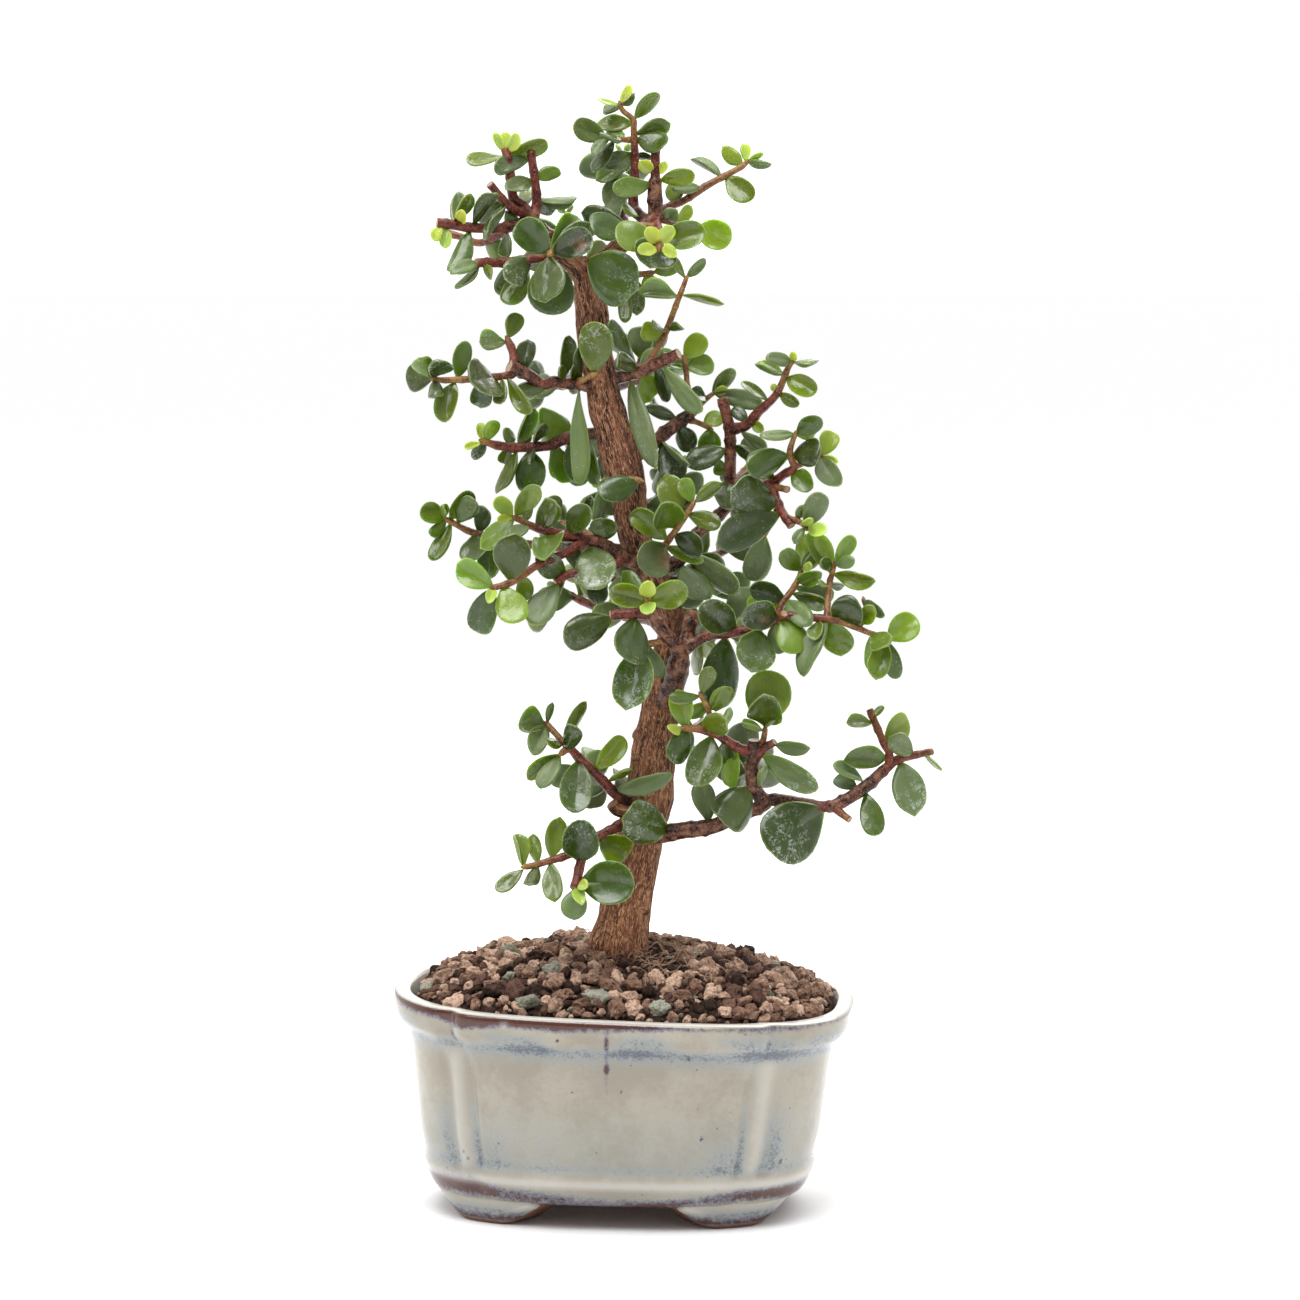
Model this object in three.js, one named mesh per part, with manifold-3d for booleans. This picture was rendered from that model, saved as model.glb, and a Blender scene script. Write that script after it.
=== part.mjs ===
// A dwarf jade bonsai (Portulacaria afra) in a lobed, glazed pot of about 15 cm: pot, drain meshes, soil,
// trunk and the leafy sprays that leave the trunk. Millimetres, +Z up, the table at z = 0, the pot's long
// axis along X.
import * as THREE from "three";
import { mergeVertices } from "three/addons/utils/BufferGeometryUtils.js";
import Module from "manifold-3d";

const wasm = await Module();
wasm.setup();

// ---------------------------------------------------------------- driving dimensions
const POT_HALF_LENGTH = 76.5; // at the lip's outer edge
const POT_LENGTH_OVER_DEPTH = 19; // half length less half depth, the same at every height
const POT_HEIGHT = 72; // middle of the rim, above the table
const RIM_SLOPE = -0.028; // the hand-made rim runs lower towards +X
const POT_LEAN = 0.028; // and the wall leans towards +X, by this a millimetre of height
const FOOT_HEIGHT = 8.3;
const FLOOR_TOP = 15;
const CORNER_POWER = 2.9; // the plan is a superellipse of this power
const DRAIN_HOLE_X = 32;
const DRAIN_HOLE_RADIUS = 6.5;
const MESH_SIDE = 21;
const GAP = 0.3; // between neighbouring pieces

// The tree is laid out on its front elevation, as an eye in front of the pot sees it: u to the right, v up
// and w away from the eye, all from the point that the eye looks at.
const EYE_DISTANCE = 1390;
const EYE_TILT = THREE.MathUtils.degToRad(5.5); // the eye looks down by this
const TREE_TURN = THREE.MathUtils.degToRad(5.5); // the tree's front is turned this far towards +X
const LOOK_AT_HEIGHT = 187.3;
const POT_CENTRE_U = -8.3; // the pot's middle on the elevation
// What stands out to the front by more than FRONT_FREE stands out further than its w says.
const FRONT_FREE = 4;
const FRONT_SPREAD = 1.4;

const SOIL_TOP = 90.8; // the heap's top, if the trunk weren't there
const SOIL_EDGE = 69.3; // where the heap meets the pot's wall
const GRAIN_COUNT = 20;

const ROOT_SINK = 0.43; // how deep a blade's pointed root lies under its stem's surface
// A leaf's outline, a side: shares of the length, each with its share of the half width.
const BROAD_LEAF = 9; // leaves from this width on have three stations a side, smaller ones two
const BROAD_STATIONS = [[0.22, 0.56], [0.58, 1], [0.97, 0.44]];
const SMALL_STATIONS = [[0.42, 0.97], [0.96, 0.46]];
const LEAF_BELLY = 0.5; // where a blade is thickest: flat above, it bulges below
// d old leaf, m grown leaf, b thin leaf that the light comes through, y young leaf, g leaf seen from below
const LEAF_AGE = {
  d: { thickness: 2, curl: 0.05, belly: -1 },
  m: { thickness: 1.9, curl: 0.07, belly: -1 },
  b: { thickness: 1.7, curl: 0.04, belly: -1 },
  y: { thickness: 1.4, curl: 0.1, belly: -1 },
  g: { thickness: 1.9, curl: -0.06, belly: 1 },
};
const PAIR_SPACING = 12.5; // along a shoot, between the pairs of leaves that a rule places
// A leaf that isn't clear is bent back or forward by these at its tip, and shortened to these shares.
const DEPTH_TRIES = [0, 3, -3, 6, -6, 9, -9, 13, -13];
const LENGTH_TRIES = [1, 0.88, 0.76];

// The trunk: rows of u, v, w and its width there, from the root in the soil up to the fork.
const TRUNK_PATH = [
  [-10.2, -118, 0, 12],
  [-10, -106, 0, 21],
  [-10, -98, 0, 19.6],
  [-8.7, -90, 0, 17.5],
  [-6.1, -75, 0, 16.5],
  [-3, -60, 0, 16],
  [-0.3, -50, 0, 15.8],
  [0.1, -42, 0, 15.2],
  [1, -34, 0, 14.8],
  [2.2, -24, 0, 12.6],
  [3.5, -13, 0, 10.6],
  [5, -5, 0, 9.2],
  [6.8, 3, 1, 8.6],
  [7, 9, 1, 8.6],
  [5.5, 16, 1, 9],
  [0.5, 25.5, 1, 10.2],
  [-3, 32, 1, 10.8],
  [-5.8, 40, 1, 10.7],
  [-6.9, 50, 0, 12],
  [-8.9, 60, 0, 12.8],
  [-11.5, 70, 0, 12.4],
  [-14.3, 80, -1, 11.8],
  [-16.5, 90, -1, 10.2],
  [-18.3, 100, -1, 10.6],
  [-19.4, 112, 0, 11],
  [-20.5, 121, 0, 10.4],
  [-21.3, 128, 0, 8],
];
// Shorter wood that is one with the trunk: the arms of the fork, knots and old cut stubs.
const TRUNK_STUBS = [
  [[-20.8, 122, 0, 8.6], [-24, 128, -1, 7.6], [-29.5, 132, -2, 7], [-33.5, 137, -3, 6.4]],
  [[-20.8, 122, 0, 8.2], [-18, 128, 1, 7.2], [-13.5, 131.5, 1, 6.6], [-6.5, 138, 1, 6.2],
    [-2.5, 141, 0, 6]],
  [[2, -26, -1, 8], [-3.4, -28.4, -3, 5.6], [-4.7, -29, -4, 3.6]],
  [[0, -54, -4, 6.4], [-10, -53.6, -6, 4.6], [-12.8, -51.2, -7, 4]],
  [[-8.5, -88, -4, 8], [-2.4, -86, -4, 6], [-0.9, -85, -4, 4]],
  [[1, -36, -3, 8], [-4.3, -37, -4, 5.2], [-5.7, -37.4, -4, 3.4]],
];
const SPRAYS = [
  { name: "spray_top_left", cutBy: ["trunk"],
    stems: [
      [[-33, 136, -3, 6], [-36.5, 140, -3, 5.6], [-40, 143.5, -4, 5]],
      [[-40, 143.5, -4, 4.2], [-42.3, 147.9, -5, 3.8], [-45.6, 151, -6, 3.4], [-46.6, 158.8, -6, 3.1],
        [-48.1, 167, -5, 3]],
      [[-39.5, 143.5, -4, 4.2], [-37.9, 148.3, -3, 3.4], [-38.1, 154.6, -3, 3], [-39.8, 166.2, -3, 2.8]],
      [[-42, 145.5, -5, 3.4], [-47.3, 148.3, -9, 2.8], [-53.5, 155.4, -12, 2.6]],
      [[-40, 143, -4, 4.4], [-48.5, 140.8, -8, 3.7], [-58.9, 140.8, -12, 3.5], [-71, 142.5, -14, 3.3]],
      [[-46, 141.3, -6, 3], [-56, 135.8, 2, 2.6], [-63.5, 137.9, 5, 2.5], [-70.8, 140, 7, 2.4]],
    ],
    leaves: [
      [-48.3, 166, -5, -61.5, 162.5, -8, 6.8, 30, "m"], [-47.8, 166.3, -5, -34, 169.2, -2, 6.5, 35, "m"],
      [-48.1, 166.8, -5, -52.5, 172.5, -6, 3.5, 20, "y"], [-48, 166.8, -5, -43.5, 172.5, -8, 4.5, 10, "y"],
      [-48.1, 167, -5, -48.3, 173, -3, 4, 0, "y"], [-39.8, 165, -3, -52, 159.8, -9, 5.5, 45, "d"],
      [-38.3, 157, -3, -48, 153.5, -10, 6.8, 10, "d"], [-38, 157, -3, -29.8, 159.8, 1, 5, 35, "m"],
      [-37.8, 148.6, -3, -24, 150, 1, 6.5, 65, "d"], [-38, 149, -2, -32.6, 146, 8, 6, 20, "d"],
      [-42.3, 148, -4, -40.8, 154.7, 6, 5, 10, "b"], [-59, 142, -12, -51.4, 152.8, -17, 6.5, 40, "d"],
      [-65.5, 142, -13, -59.3, 152, -15, 6.5, 40, "m"], [-65, 142, -12, -63, 152.5, -4, 5.5, 40, "d"],
      [-63, 142.5, -13, -62.5, 147.5, -17, 4.4, 0, "y"], [-60, 140.5, -12, -66, 125, -16, 7, 40, "m"],
      [-69.5, 141.5, -14, -72.5, 136, -16, 3.6, 10, "y"], [-67.9, 141, -14, -68, 133.5, -17, 4.6, 0, "y"],
      [-49.5, 147.8, -10, -55.3, 137, -17, 6, 50, "d"], [-50, 148.5, -10, -58.2, 143.5, -3, 6, 20, "d"],
      [-42, 143.5, -5, -48.8, 145.4, -9, 5, 40, "d"], [-47.5, 140, -8, -48.3, 130.6, -12, 6, 50, "d"],
      [-52, 138.3, -1, -51, 129.3, 6, 8, 10, "m"],
    ] },
  { name: "spray_fork_front", cutBy: ["trunk", "spray_top_left"],
    stems: [
      [[-31, 131.5, -4, 4], [-34, 131, -9, 3.4], [-47.7, 129.3, -12, 3.2], [-58, 129, -16, 3.2]],
      [[-33, 131.2, -8, 3.2], [-33.2, 132.2, -15, 2.6], [-33.4, 132, -25, 2]],
    ],
    leaves: [
      [-57.3, 128.5, -16, -65, 120.5, -19, 6, 55, "m"], [-57, 129, -16, -66.2, 126.4, -20, 5.5, 35, "g"],
      [-56, 128, -15, -53, 124, -20, 4, 30, "m"], [-34.6, 133.2, -20, -44.6, 142.4, -20, 11.7, 0, "d"],
      [-32.5, 134, -14, -24.6, 143.8, -7, 9.5, 0, "m"], [-32.3, 132.5, -18, -19, 137.8, -17, 10.5, 0, "d"],
      [-37.5, 130.4, -12, -48, 124, -17, 10, 0, "d"], [-34, 130.5, -22, -34.8, 116.2, -25, 12.4, 0, "d"],
      [-33, 131, -12, -32, 111.4, -11, 15.6, 0, "d"], [-43, 129, -12, -50.8, 118.3, -9, 8.5, 0, "d"],
      [-40, 129, -11, -48, 114.5, -12, 9, 10, "m"], [-32.4, 133.5, -16, -21.5, 141.5, -9, 8, 0, "d"],
    ] },
  { name: "spray_fork_middle", cutBy: ["trunk"],
    stems: [
      [[-21, 127, -3, 3.4], [-21.4, 129, -7, 2.6], [-21.7, 131, -10, 2.2]],
    ],
    leaves: [
      [-21.5, 130.8, -10, -4.4, 120.2, -14, 18, 0, "d"],
    ] },
  { name: "spray_fork_under", cutBy: ["trunk"],
    stems: [
      [[-19.5, 123, 3, 3.2], [-15, 126, 7, 2.8], [-6, 125, 8, 2.4], [2, 126, 8, 1.8]],
    ],
    leaves: [
      [-1, 125.5, 8, 0.6, 119.2, 9, 6.5, 0, "b"], [-5, 125, 8, -4.3, 111.4, 5, 5.6, 10, "d"],
      [-9, 125, 8, -7.7, 108.4, 3, 5, 20, "m"], [1.8, 126, 8, 10, 128, 9, 5.2, 10, "b"],
    ] },
  { name: "spray_top", cutBy: ["trunk"],
    stems: [
      [[-3, 141, 0, 5.8], [1.5, 143.5, 0, 5.6], [1.7, 148, 0, 5], [1.7, 156, 0, 4.6],
        [1.8, 157.5, 0, 3.3], [1.8, 166.9, 0, 3.1]],
      [[0, 142.5, 1, 4.2], [-4, 145.5, 3, 4], [-5.6, 149.6, 4, 3.5], [-5, 160.8, 3, 3],
        [-5.4, 173.3, 3, 2.2],
        [-5.6, 176.7, 3, 2], [-9.2, 180, 2, 1.8], [-10.4, 183, 1, 1.5]],
      [[-5.2, 170, 3, 2.2], [-10, 170.2, 0, 1.9], [-15, 171, -3, 1.6]],
      [[1.5, 143.5, -1, 3.6], [2.9, 140, -9, 2.8], [2.9, 137.5, -15, 2.5], [3.1, 133, -22, 2]],
      [[2.6, 141, -6, 2.4], [-4, 141.6, -7, 2], [-9, 141.5, -8, 1.8]],
      [[1.6, 144.5, 0, 3], [9, 142, 2, 2.2], [16, 140.8, 2, 1.8]],
      [[1.7, 146, 1, 3.4], [6.7, 147.9, 6, 2.7], [11.7, 150, 8, 2.5], [20, 155.4, 10, 2.4],
        [30, 160.8, 12, 2], [33.3, 163.6, 12, 1.4]],
    ],
    leaves: [
      [-10.3, 182.6, 1, -18, 183.3, -1, 3, 20, "y"], [-10.3, 182.8, 1, -6.5, 188.6, 0, 3.4, 20, "y"],
      [-9.8, 181.5, 1, -16.3, 180, 4, 5, 65, "d"], [-10, 182, 1, -5.4, 185.6, 3, 4.5, 60, "m"],
      [-5.6, 176.5, 3, 3, 186, 0, 7, 25, "m"], [-5.8, 176, 3, -18.5, 174.7, 7, 6.5, 40, "m"],
      [-14.8, 171, -3, -26.2, 174.8, -5, 8.8, 10, "m"], [-8, 170.2, 1, -16.5, 172, -10, 5, 55, "d"],
      [-9, 170.5, 1, -14, 175.6, 5, 6, 20, "m"], [-5, 171.5, 3, 6.2, 176.2, 5, 6, 55, "m"],
      [-5, 170.5, 3, 6.4, 168.8, -2, 8.2, 0, "d"], [-14, 170.8, -3, -18.9, 165, -7, 5.5, 20, "g"],
      [-12, 170.4, -1, -19.2, 159.6, -4, 6.5, 20, "d"], [-5, 166, 3, -14.8, 160.2, -6, 8, 0, "d"],
      [-5.2, 163, 4, -17.5, 156.5, 8, 6, 10, "m"], [-5.2, 158, 4, -15.6, 148.2, 8, 10.5, 0, "m"],
      [-4.6, 165, 3, 0.6, 163.5, 6, 4, 20, "d"], [-1, 145, 1, -9.7, 148.6, -4, 5, 30, "m"],
      [0, 157, -1, -12.9, 152.5, -6, 7, 25, "m"], [3, 157, -1, 15.2, 158.2, -5, 6, 30, "m"],
      [1, 158.6, -1, -3.7, 163.2, -4, 4.6, 0, "y"], [2.6, 158.5, -1, 6.2, 162.5, -3, 3.8, 0, "y"],
      [2.6, 136, -19, -1.4, 141.3, -22, 5.4, 0, "y"], [3.6, 136, -19, 7.9, 141.3, -22, 5.4, 0, "y"],
      [2.6, 134, -21, -4.6, 133.5, -25, 4.6, 0, "y"], [3.8, 133.6, -21, 9.8, 131.8, -25, 4.6, 0, "y"],
      [2.4, 137, -16, -12.2, 138.7, -18, 11, 0, "m"], [3.6, 137, -16, 18.7, 139.4, -18, 10.6, 0, "m"],
      [15.8, 140.8, 2, 27.6, 136.7, 0, 10.6, 0, "b"], [5.5, 143, -1, 9, 146.7, -4, 6, 10, "g"],
      [9, 142.4, 2, 14, 148.2, 4, 4.8, 10, "b"], [2.9, 137.5, -14, 0, 127.2, -18, 15.5, 0, "d"],
      [-7, 141.4, -8, -20.2, 141.2, -12, 10.6, 0, "d"], [-9, 141.5, -8, -22.5, 145.6, -2, 9, 0, "d"],
      [24.2, 157.7, 11, 13.8, 164, 15, 5.5, 60, "g"], [24.8, 157.7, 11, 34.9, 150.3, 8, 8, 20, "m"],
      [31, 161.8, 12, 24.1, 167.7, 14, 5.2, 20, "b"], [33, 163.3, 12, 30.4, 168.6, 14, 3.6, 50, "y"],
      [33.2, 163.4, 12, 40.5, 161.4, 9, 4, 45, "g"], [33.3, 163.6, 12, 38, 166, 10, 2.6, 20, "y"],
      [18.2, 154.3, 9, 7, 153.7, 5, 5, 35, "g"], [9, 149, 7, 7.5, 156.3, 13, 7, 0, "b"],
    ] },
  { name: "spray_left_upper", cutBy: ["trunk"],
    stems: [
      [[-18, 88.3, -2, 4.6], [-26, 88.7, -5, 4], [-31.8, 89.5, -8, 3.8], [-36, 88.6, -10, 3.7],
        [-41, 92, -12, 4], [-47, 94.5, -14, 4.8]],
      [[-45.5, 94.5, -13, 3.2], [-45.6, 98.7, -12, 2.8], [-48, 104.7, -11, 2.4]],
      [[-44.5, 93, -13, 3.2], [-48, 91.5, -14, 2.6], [-59.3, 90.3, -17, 2.3], [-70, 90, -19, 2],
        [-73.5, 90.8, -20, 1.6]],
      [[-25, 88.7, -5, 2.6], [-21.5, 90.5, -8.6, 2], [-17.6, 92.3, -9.5, 1.8]],
      [[-26, 88.7, -5, 3], [-30, 88, 7, 2.6], [-36, 88.5, 18, 2.2], [-41, 91.5, 28, 1.6]],
    ],
    grown: [[4, 11, 11]],
    leaves: [
      [-48, 104.3, -11, -57, 102, -14, 6, 50, "d"], [-48, 104.6, -11, -43.8, 112.5, -9, 5.5, 45, "m"],
      [-41.3, 93.3, -12, -40.8, 103.2, -10, 7.2, 0, "d"], [-49.8, 91.5, -14, -60, 89.5, -26, 14.8, 0, "d"],
      [-56, 90, -16, -56.5, 80.8, -12, 8, 0, "d"], [-49.5, 91, -15, -50, 81.4, -19, 5.5, 30, "m"],
      [-48.3, 91, -14, -39.5, 78.6, -18, 6.5, 25, "m"], [-64.3, 90.3, -18, -61, 102.8, -15, 7, 20, "m"],
      [-65, 90, -18, -69.4, 75.6, -21, 8.2, 10, "m"], [-72.5, 90.5, -19, -81.7, 91.6, -14, 10, 0, "d"],
      [-73, 91, -20, -77.2, 97.8, -24, 7, 10, "m"], [-71.5, 90.3, -19, -69.8, 96.7, -25, 8, 50, "d"],
      [-72, 90, -19, -72, 84.3, -24, 6, 10, "d"], [-31, 91, -8, -44.2, 86.2, -17, 6.6, 15, "d"],
      [-29.5, 89.3, -6, -26.8, 104.8, -3, 6.5, 25, "d"], [-31.5, 88.5, -7, -40.6, 83.7, -4, 5, 30, "m"],
      [-27.5, 89.2, -6, -30, 94.2, -10, 4.5, 20, "d"], [-24.5, 89.4, -5, -25.5, 94.7, -9, 4, 20, "d"],
      [-23.4, 87.5, -5, -23.2, 54.8, -9, 11, 55, "g"], [-22.2, 87.5, 0, -20.8, 68.8, 4, 7, 30, "d"],
      [-17.6, 92.2, -9, -18.2, 109.8, -11, 12, 0, "m"], [-22.6, 89.6, -4, -24.6, 105.2, 1, 6, 20, "d"],
    ] },
  { name: "spray_right_upper", cutBy: ["trunk"],
    stems: [
      [[-14, 90, -1, 4.8], [-10.8, 90.8, -2, 4.4], [-4.2, 92.4, -5, 4.2], [1.7, 95.3, -8, 4],
        [9.6, 98.8, -11, 3.6]],
      [[-0.5, 94.4, -7, 2.6], [0.6, 97.4, -6, 2.4], [5, 105.3, -4, 2.1], [8.8, 115.3, -2, 2],
        [11.7, 122.8, -1, 1.7], [12.5, 125, -1, 1.4]],
      [[-7, 91.6, -4, 3.4], [-4, 94, 8, 3], [-3, 97, 20, 2.4], [-4, 101, 31, 1.8]],
    ],
    grown: [[2, 13, 9]],
    leaves: [
      [-3.5, 93.5, -5, -13.4, 110.2, -9, 6.8, 30, "d"], [-3.8, 92, -7, -11.8, 97.4, -13, 6.8, 0, "d"],
      [-1.5, 93.4, -5, 1, 83.3, 6, 8.6, 0, "b"], [3.5, 96, -9, 15.3, 78.5, -14, 8.6, 55, "g"],
      [3, 95.5, -7, 5, 82.3, 0, 6.6, 20, "d"], [9.6, 118.4, -2, -3.5, 120, -4, 6, 40, "m"],
      [9.8, 118.3, -2, 24.4, 115.3, -5, 6, 45, "m"], [12.3, 124.6, -1, 7.5, 130.8, -3, 4, 30, "m"],
      [12.5, 124.6, -1, 18.4, 130.6, 1, 4.6, 30, "m"], [5.5, 106.6, -4, 0.6, 108.8, -9, 5, 45, "d"],
      [6, 106.8, -4, 10.7, 107.3, -9, 4.2, 45, "d"], [4.8, 104.8, -4, -3.5, 106.9, 1, 6.8, 0, "b"],
      [-8, 91, -5, 0.8, 62.4, -14, 10, 15, "g"],
    ] },
  { name: "spray_right_middle", cutBy: ["trunk"],
    stems: [
      [[-8, 63.5, 4, 5], [-1, 67, 6, 4.7], [4, 71.5, 7, 4.6], [11.7, 77.4, 8, 4.5], [14.6, 78.6, 8, 4.4]],
      [[12.6, 77, 8, 2.6], [15.6, 76, 10, 2], [21, 73.5, 12, 1.7]],
      [[13.6, 78, 7, 2.4], [12.5, 87, 4, 2], [12, 93.3, 2, 1.9], [11.2, 98.4, 1, 1.5]],
      [[13.8, 78.2, 8.5, 2.2], [18, 83, 11, 1.9], [22, 86.2, 12, 1.5]],
    ],
    leaves: [
      [20.5, 85, 12, 28.6, 93.7, 13, 6, 20, "m"], [19.5, 84.3, 11.5, 13.2, 86, 6, 6, 15, "d"],
      [21.8, 86, 12, 26.2, 87.4, 7, 3.6, 0, "y"], [22, 85.8, 12, 37.8, 82.1, 9, 6.6, 15, "g"],
      [17.5, 75.2, 11, 24.2, 78.8, 13, 6, 0, "b"], [3, 70.6, 6, 9.5, 56.2, 2, 9.2, 20, "d"],
      [3.4, 70.8, 4, 12.7, 61.6, -2, 6, 55, "g"], [9.8, 75.8, 9, 13.5, 65.6, 13, 8, 0, "d"],
      [20.8, 73.6, 12, 19.5, 65.6, 10, 9, 0, "m"], [11.3, 98, 1, 18.2, 105.2, 2, 8, 0, "b"],
      [12, 94.2, 2, 21.7, 95.5, 4, 7.8, 0, "b"], [11.4, 97.5, 1, 3.3, 99.6, 5, 4.5, 45, "b"],
      [12, 94, 2, 5.8, 95, 4, 4, 35, "b"], [10.4, 76.6, 8, -1.3, 81.4, 11, 5.6, 20, "d"],
    ] },
  { name: "spray_right", cutBy: ["trunk"],
    stems: [
      [[-1, 26.5, 3, 6], [8, 29, 5, 4.8], [11, 31.5, 6, 4.5], [14.5, 37.5, 7, 4.4], [20, 42.3, 8, 4.2],
        [25.5, 48, 9, 4.1],
        [26.6, 56, 9, 4], [26.8, 66, 8, 4], [26.5, 74, 7, 3.9], [24, 84, 6, 3.7]],
      [[26.5, 73.5, 7, 4], [32.2, 75, 4, 3.6], [36.3, 79.5, 1, 3.2], [42.2, 85.3, -2, 2.6],
        [46.3, 94.5, -4, 2], [48.4, 96.6, -4, 1.6]],
      [[26, 50, 9, 3.8], [33, 53, 3, 3.5], [40.5, 55.7, -4, 3.4], [44.7, 58.6, -8, 3],
        [48, 61, -10, 2.7], [46.6, 66, -11, 2.2], [48.8, 73.2, -13, 1.6]],
      [[40, 55.4, -3, 2.6], [42, 54.4, -6, 2.4], [45.7, 53.5, -10, 2.2]],
      [[47.4, 60.6, -9.6, 2.2], [55, 64, -8, 1.8], [58, 65, -8, 1.5]],
      [[40, 55.4, -5, 3.2], [41.7, 51.5, -7, 3], [43.8, 46.5, -9, 2.9], [47.2, 41.3, -11, 2.9]],
      [[45.3, 44.2, -10, 2.3], [50.5, 42.3, -11, 2], [52.4, 39.8, -12, 1.8]],
      [[43, 48, -8, 2], [39.5, 41, -5, 1.8], [38, 37.5, -5, 1.6]],
      [[26.3, 54, 9, 3], [29, 57, 20, 2.6], [32.5, 61, 30, 2.2], [36, 66, 40, 1.6]],
    ],
    grown: [[8, 12, 12]],
    leaves: [
      [45.2, 92, -3.6, 34.8, 95.2, -1, 5, 60, "m"], [48, 96.2, -4, 38.5, 97.5, -8, 5, 40, "g"],
      [48.4, 96.4, -4, 56.2, 96.7, -7, 5, 55, "g"], [48.3, 96.4, -4, 47.8, 100, -6, 2.8, 0, "y"],
      [44.8, 91, -3, 55.9, 85.8, -6, 7.8, 10, "m"], [42.6, 85.8, -2, 50.1, 81.6, -4, 4.6, 20, "m"],
      [42.5, 86, -2, 40.1, 88.7, -4, 2.6, 10, "y"], [40, 83, -1, 29.7, 89, -3, 5.4, 20, "m"],
      [33, 76, 4, 27.3, 81.2, 10, 5, 10, "d"], [33, 76, 3, 38.2, 73, 0, 4.2, 10, "b"],
      [28.5, 73.8, 6, 38.9, 67.1, 3, 5.8, 35, "g"], [27.2, 68, 7, 35.6, 64.6, 3, 5.5, 50, "d"],
      [26.5, 58.5, 8, 24, 47.6, 2, 10, 0, "d"], [26, 67.5, 7, 12.1, 61.8, 4, 8.4, 0, "d"],
      [26.3, 60.5, 9, 20.8, 60.8, 13, 5.6, 0, "b"], [46.8, 64.5, -11, 31.8, 60.2, -16, 10.2, 0, "d"],
      [47.2, 65, -11, 57.2, 66.6, -15, 10.4, 0, "d"], [48.4, 72, -13, 55.3, 72, -9, 4.6, 10, "b"],
      [46.4, 59.8, -9, 54.7, 53.8, -13, 8, 0, "m"], [48.5, 72.4, -13, 36.8, 71.5, -17, 5, 20, "g"],
      [48.8, 73, -13, 57.4, 77.4, -15, 7, 10, "m"], [57.8, 65, -8, 61.7, 73.2, -5, 7, 0, "b"],
      [58, 65, -8, 63.2, 63, -10, 2.6, 45, "y"], [57.5, 64.8, -8, 62.3, 54.6, -13, 7.5, 20, "g"],
      [41.5, 56.3, -5, 38.6, 59.7, -9, 3, 10, "m"], [42.6, 48.6, -9, 27.8, 53.2, -17, 14.5, 0, "d"],
      [53, 40.6, -12, 57.5, 52.7, -14, 9.2, 10, "g"], [48.5, 43.3, -11, 53.5, 48.7, -15, 4, 55, "m"],
      [52, 40.2, -12, 53.5, 44.7, -17, 4, 0, "y"], [52.5, 40, -12, 59.5, 39.3, -16, 5.2, 0, "y"],
      [51.5, 40.4, -12, 47.8, 35.6, -14, 3.6, 20, "g"], [43.6, 46, -10, 22, 35, -15, 12, 0, "d"],
      [38, 38, -5, 33.5, 22.6, -3, 9.8, 10, "g"], [9, 29.4, 4, 19.6, 17, -2, 9, 10, "g"],
      [12.4, 33, 5, 29.4, 19.6, 2, 9.6, 10, "g"],
    ] },
  { name: "spray_centre", cutBy: ["trunk"],
    stems: [
      [[-1.5, 28.5, -4, 3], [3.5, 33, -7, 2.5], [7, 37.8, -10, 2.2], [12, 44.8, -12, 2],
        [15.2, 50, -12, 1.6]],
    ],
    leaves: [
      [5.8, 37, -9, -6.4, 46.2, -9, 8.6, 0, "m"], [8, 40.4, -11, 3.2, 49.5, -17, 12, 0, "m"],
      [10.4, 43, -11.5, 5, 58.2, -9, 10, 0, "m"], [14.8, 49.3, -12, 10.4, 57.2, -11, 5.6, 10, "m"],
      [15.3, 49.6, -12, 23.7, 55.9, -12, 6, 20, "m"], [12.5, 45.2, -12, 23.9, 41.7, -15, 6.2, 10, "m"],
      [13.8, 47.8, -11, 8.8, 51.7, -6, 6, 20, "d"], [5.5, 36, -9, -1.8, 24.6, -16, 12.8, 0, "d"],
      [7.6, 38.6, -10, 18.2, 32.4, -13, 8.6, 10, "d"], [4.6, 34.5, -8, 18, 29.6, -7, 5, 10, "m"],
    ] },
  { name: "twig_front", cutBy: ["trunk"],
    stems: [
      [[-8, 56.5, -3, 2.6], [-5.5, 57, -9, 2.2], [-2, 56, -11, 1.9]],
    ],
    leaves: [
      [-2.2, 56, -11, -17.4, 52.4, -14, 9.6, 0, "d"],
    ] },
  { name: "spray_front", cutBy: ["trunk"],
    stems: [
      [[4, -19, -2, 7], [7.5, -13, -7, 7.7], [10, -3, -11, 7.4], [11, 1, -12, 6.6]],
      [[11, 0.4, -12, 5], [7.5, 2.7, -13, 4.7], [3.3, 7.7, -14, 4.5], [0.8, 11.4, -14.5, 4.3],
        [-1.5, 13.2, -15, 4.2]],
      [[0.5, 12, -14.5, 3.6], [-6, 12, -16, 3.4], [-13.3, 11.6, -17, 3.3]],
      [[11.3, 0, -12, 5], [12.6, 5, -11, 4.8], [14, 13, -10, 4.5]],
      [[-0.8, 12.5, -15, 2.8], [-0.8, 15, -20, 2.3], [-0.6, 17, -26, 1.8]],
      [[7, 3.4, -13, 2.4], [-1, 2, -14, 2.1], [-5, 1.5, -15, 1.9]],
    ],
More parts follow.
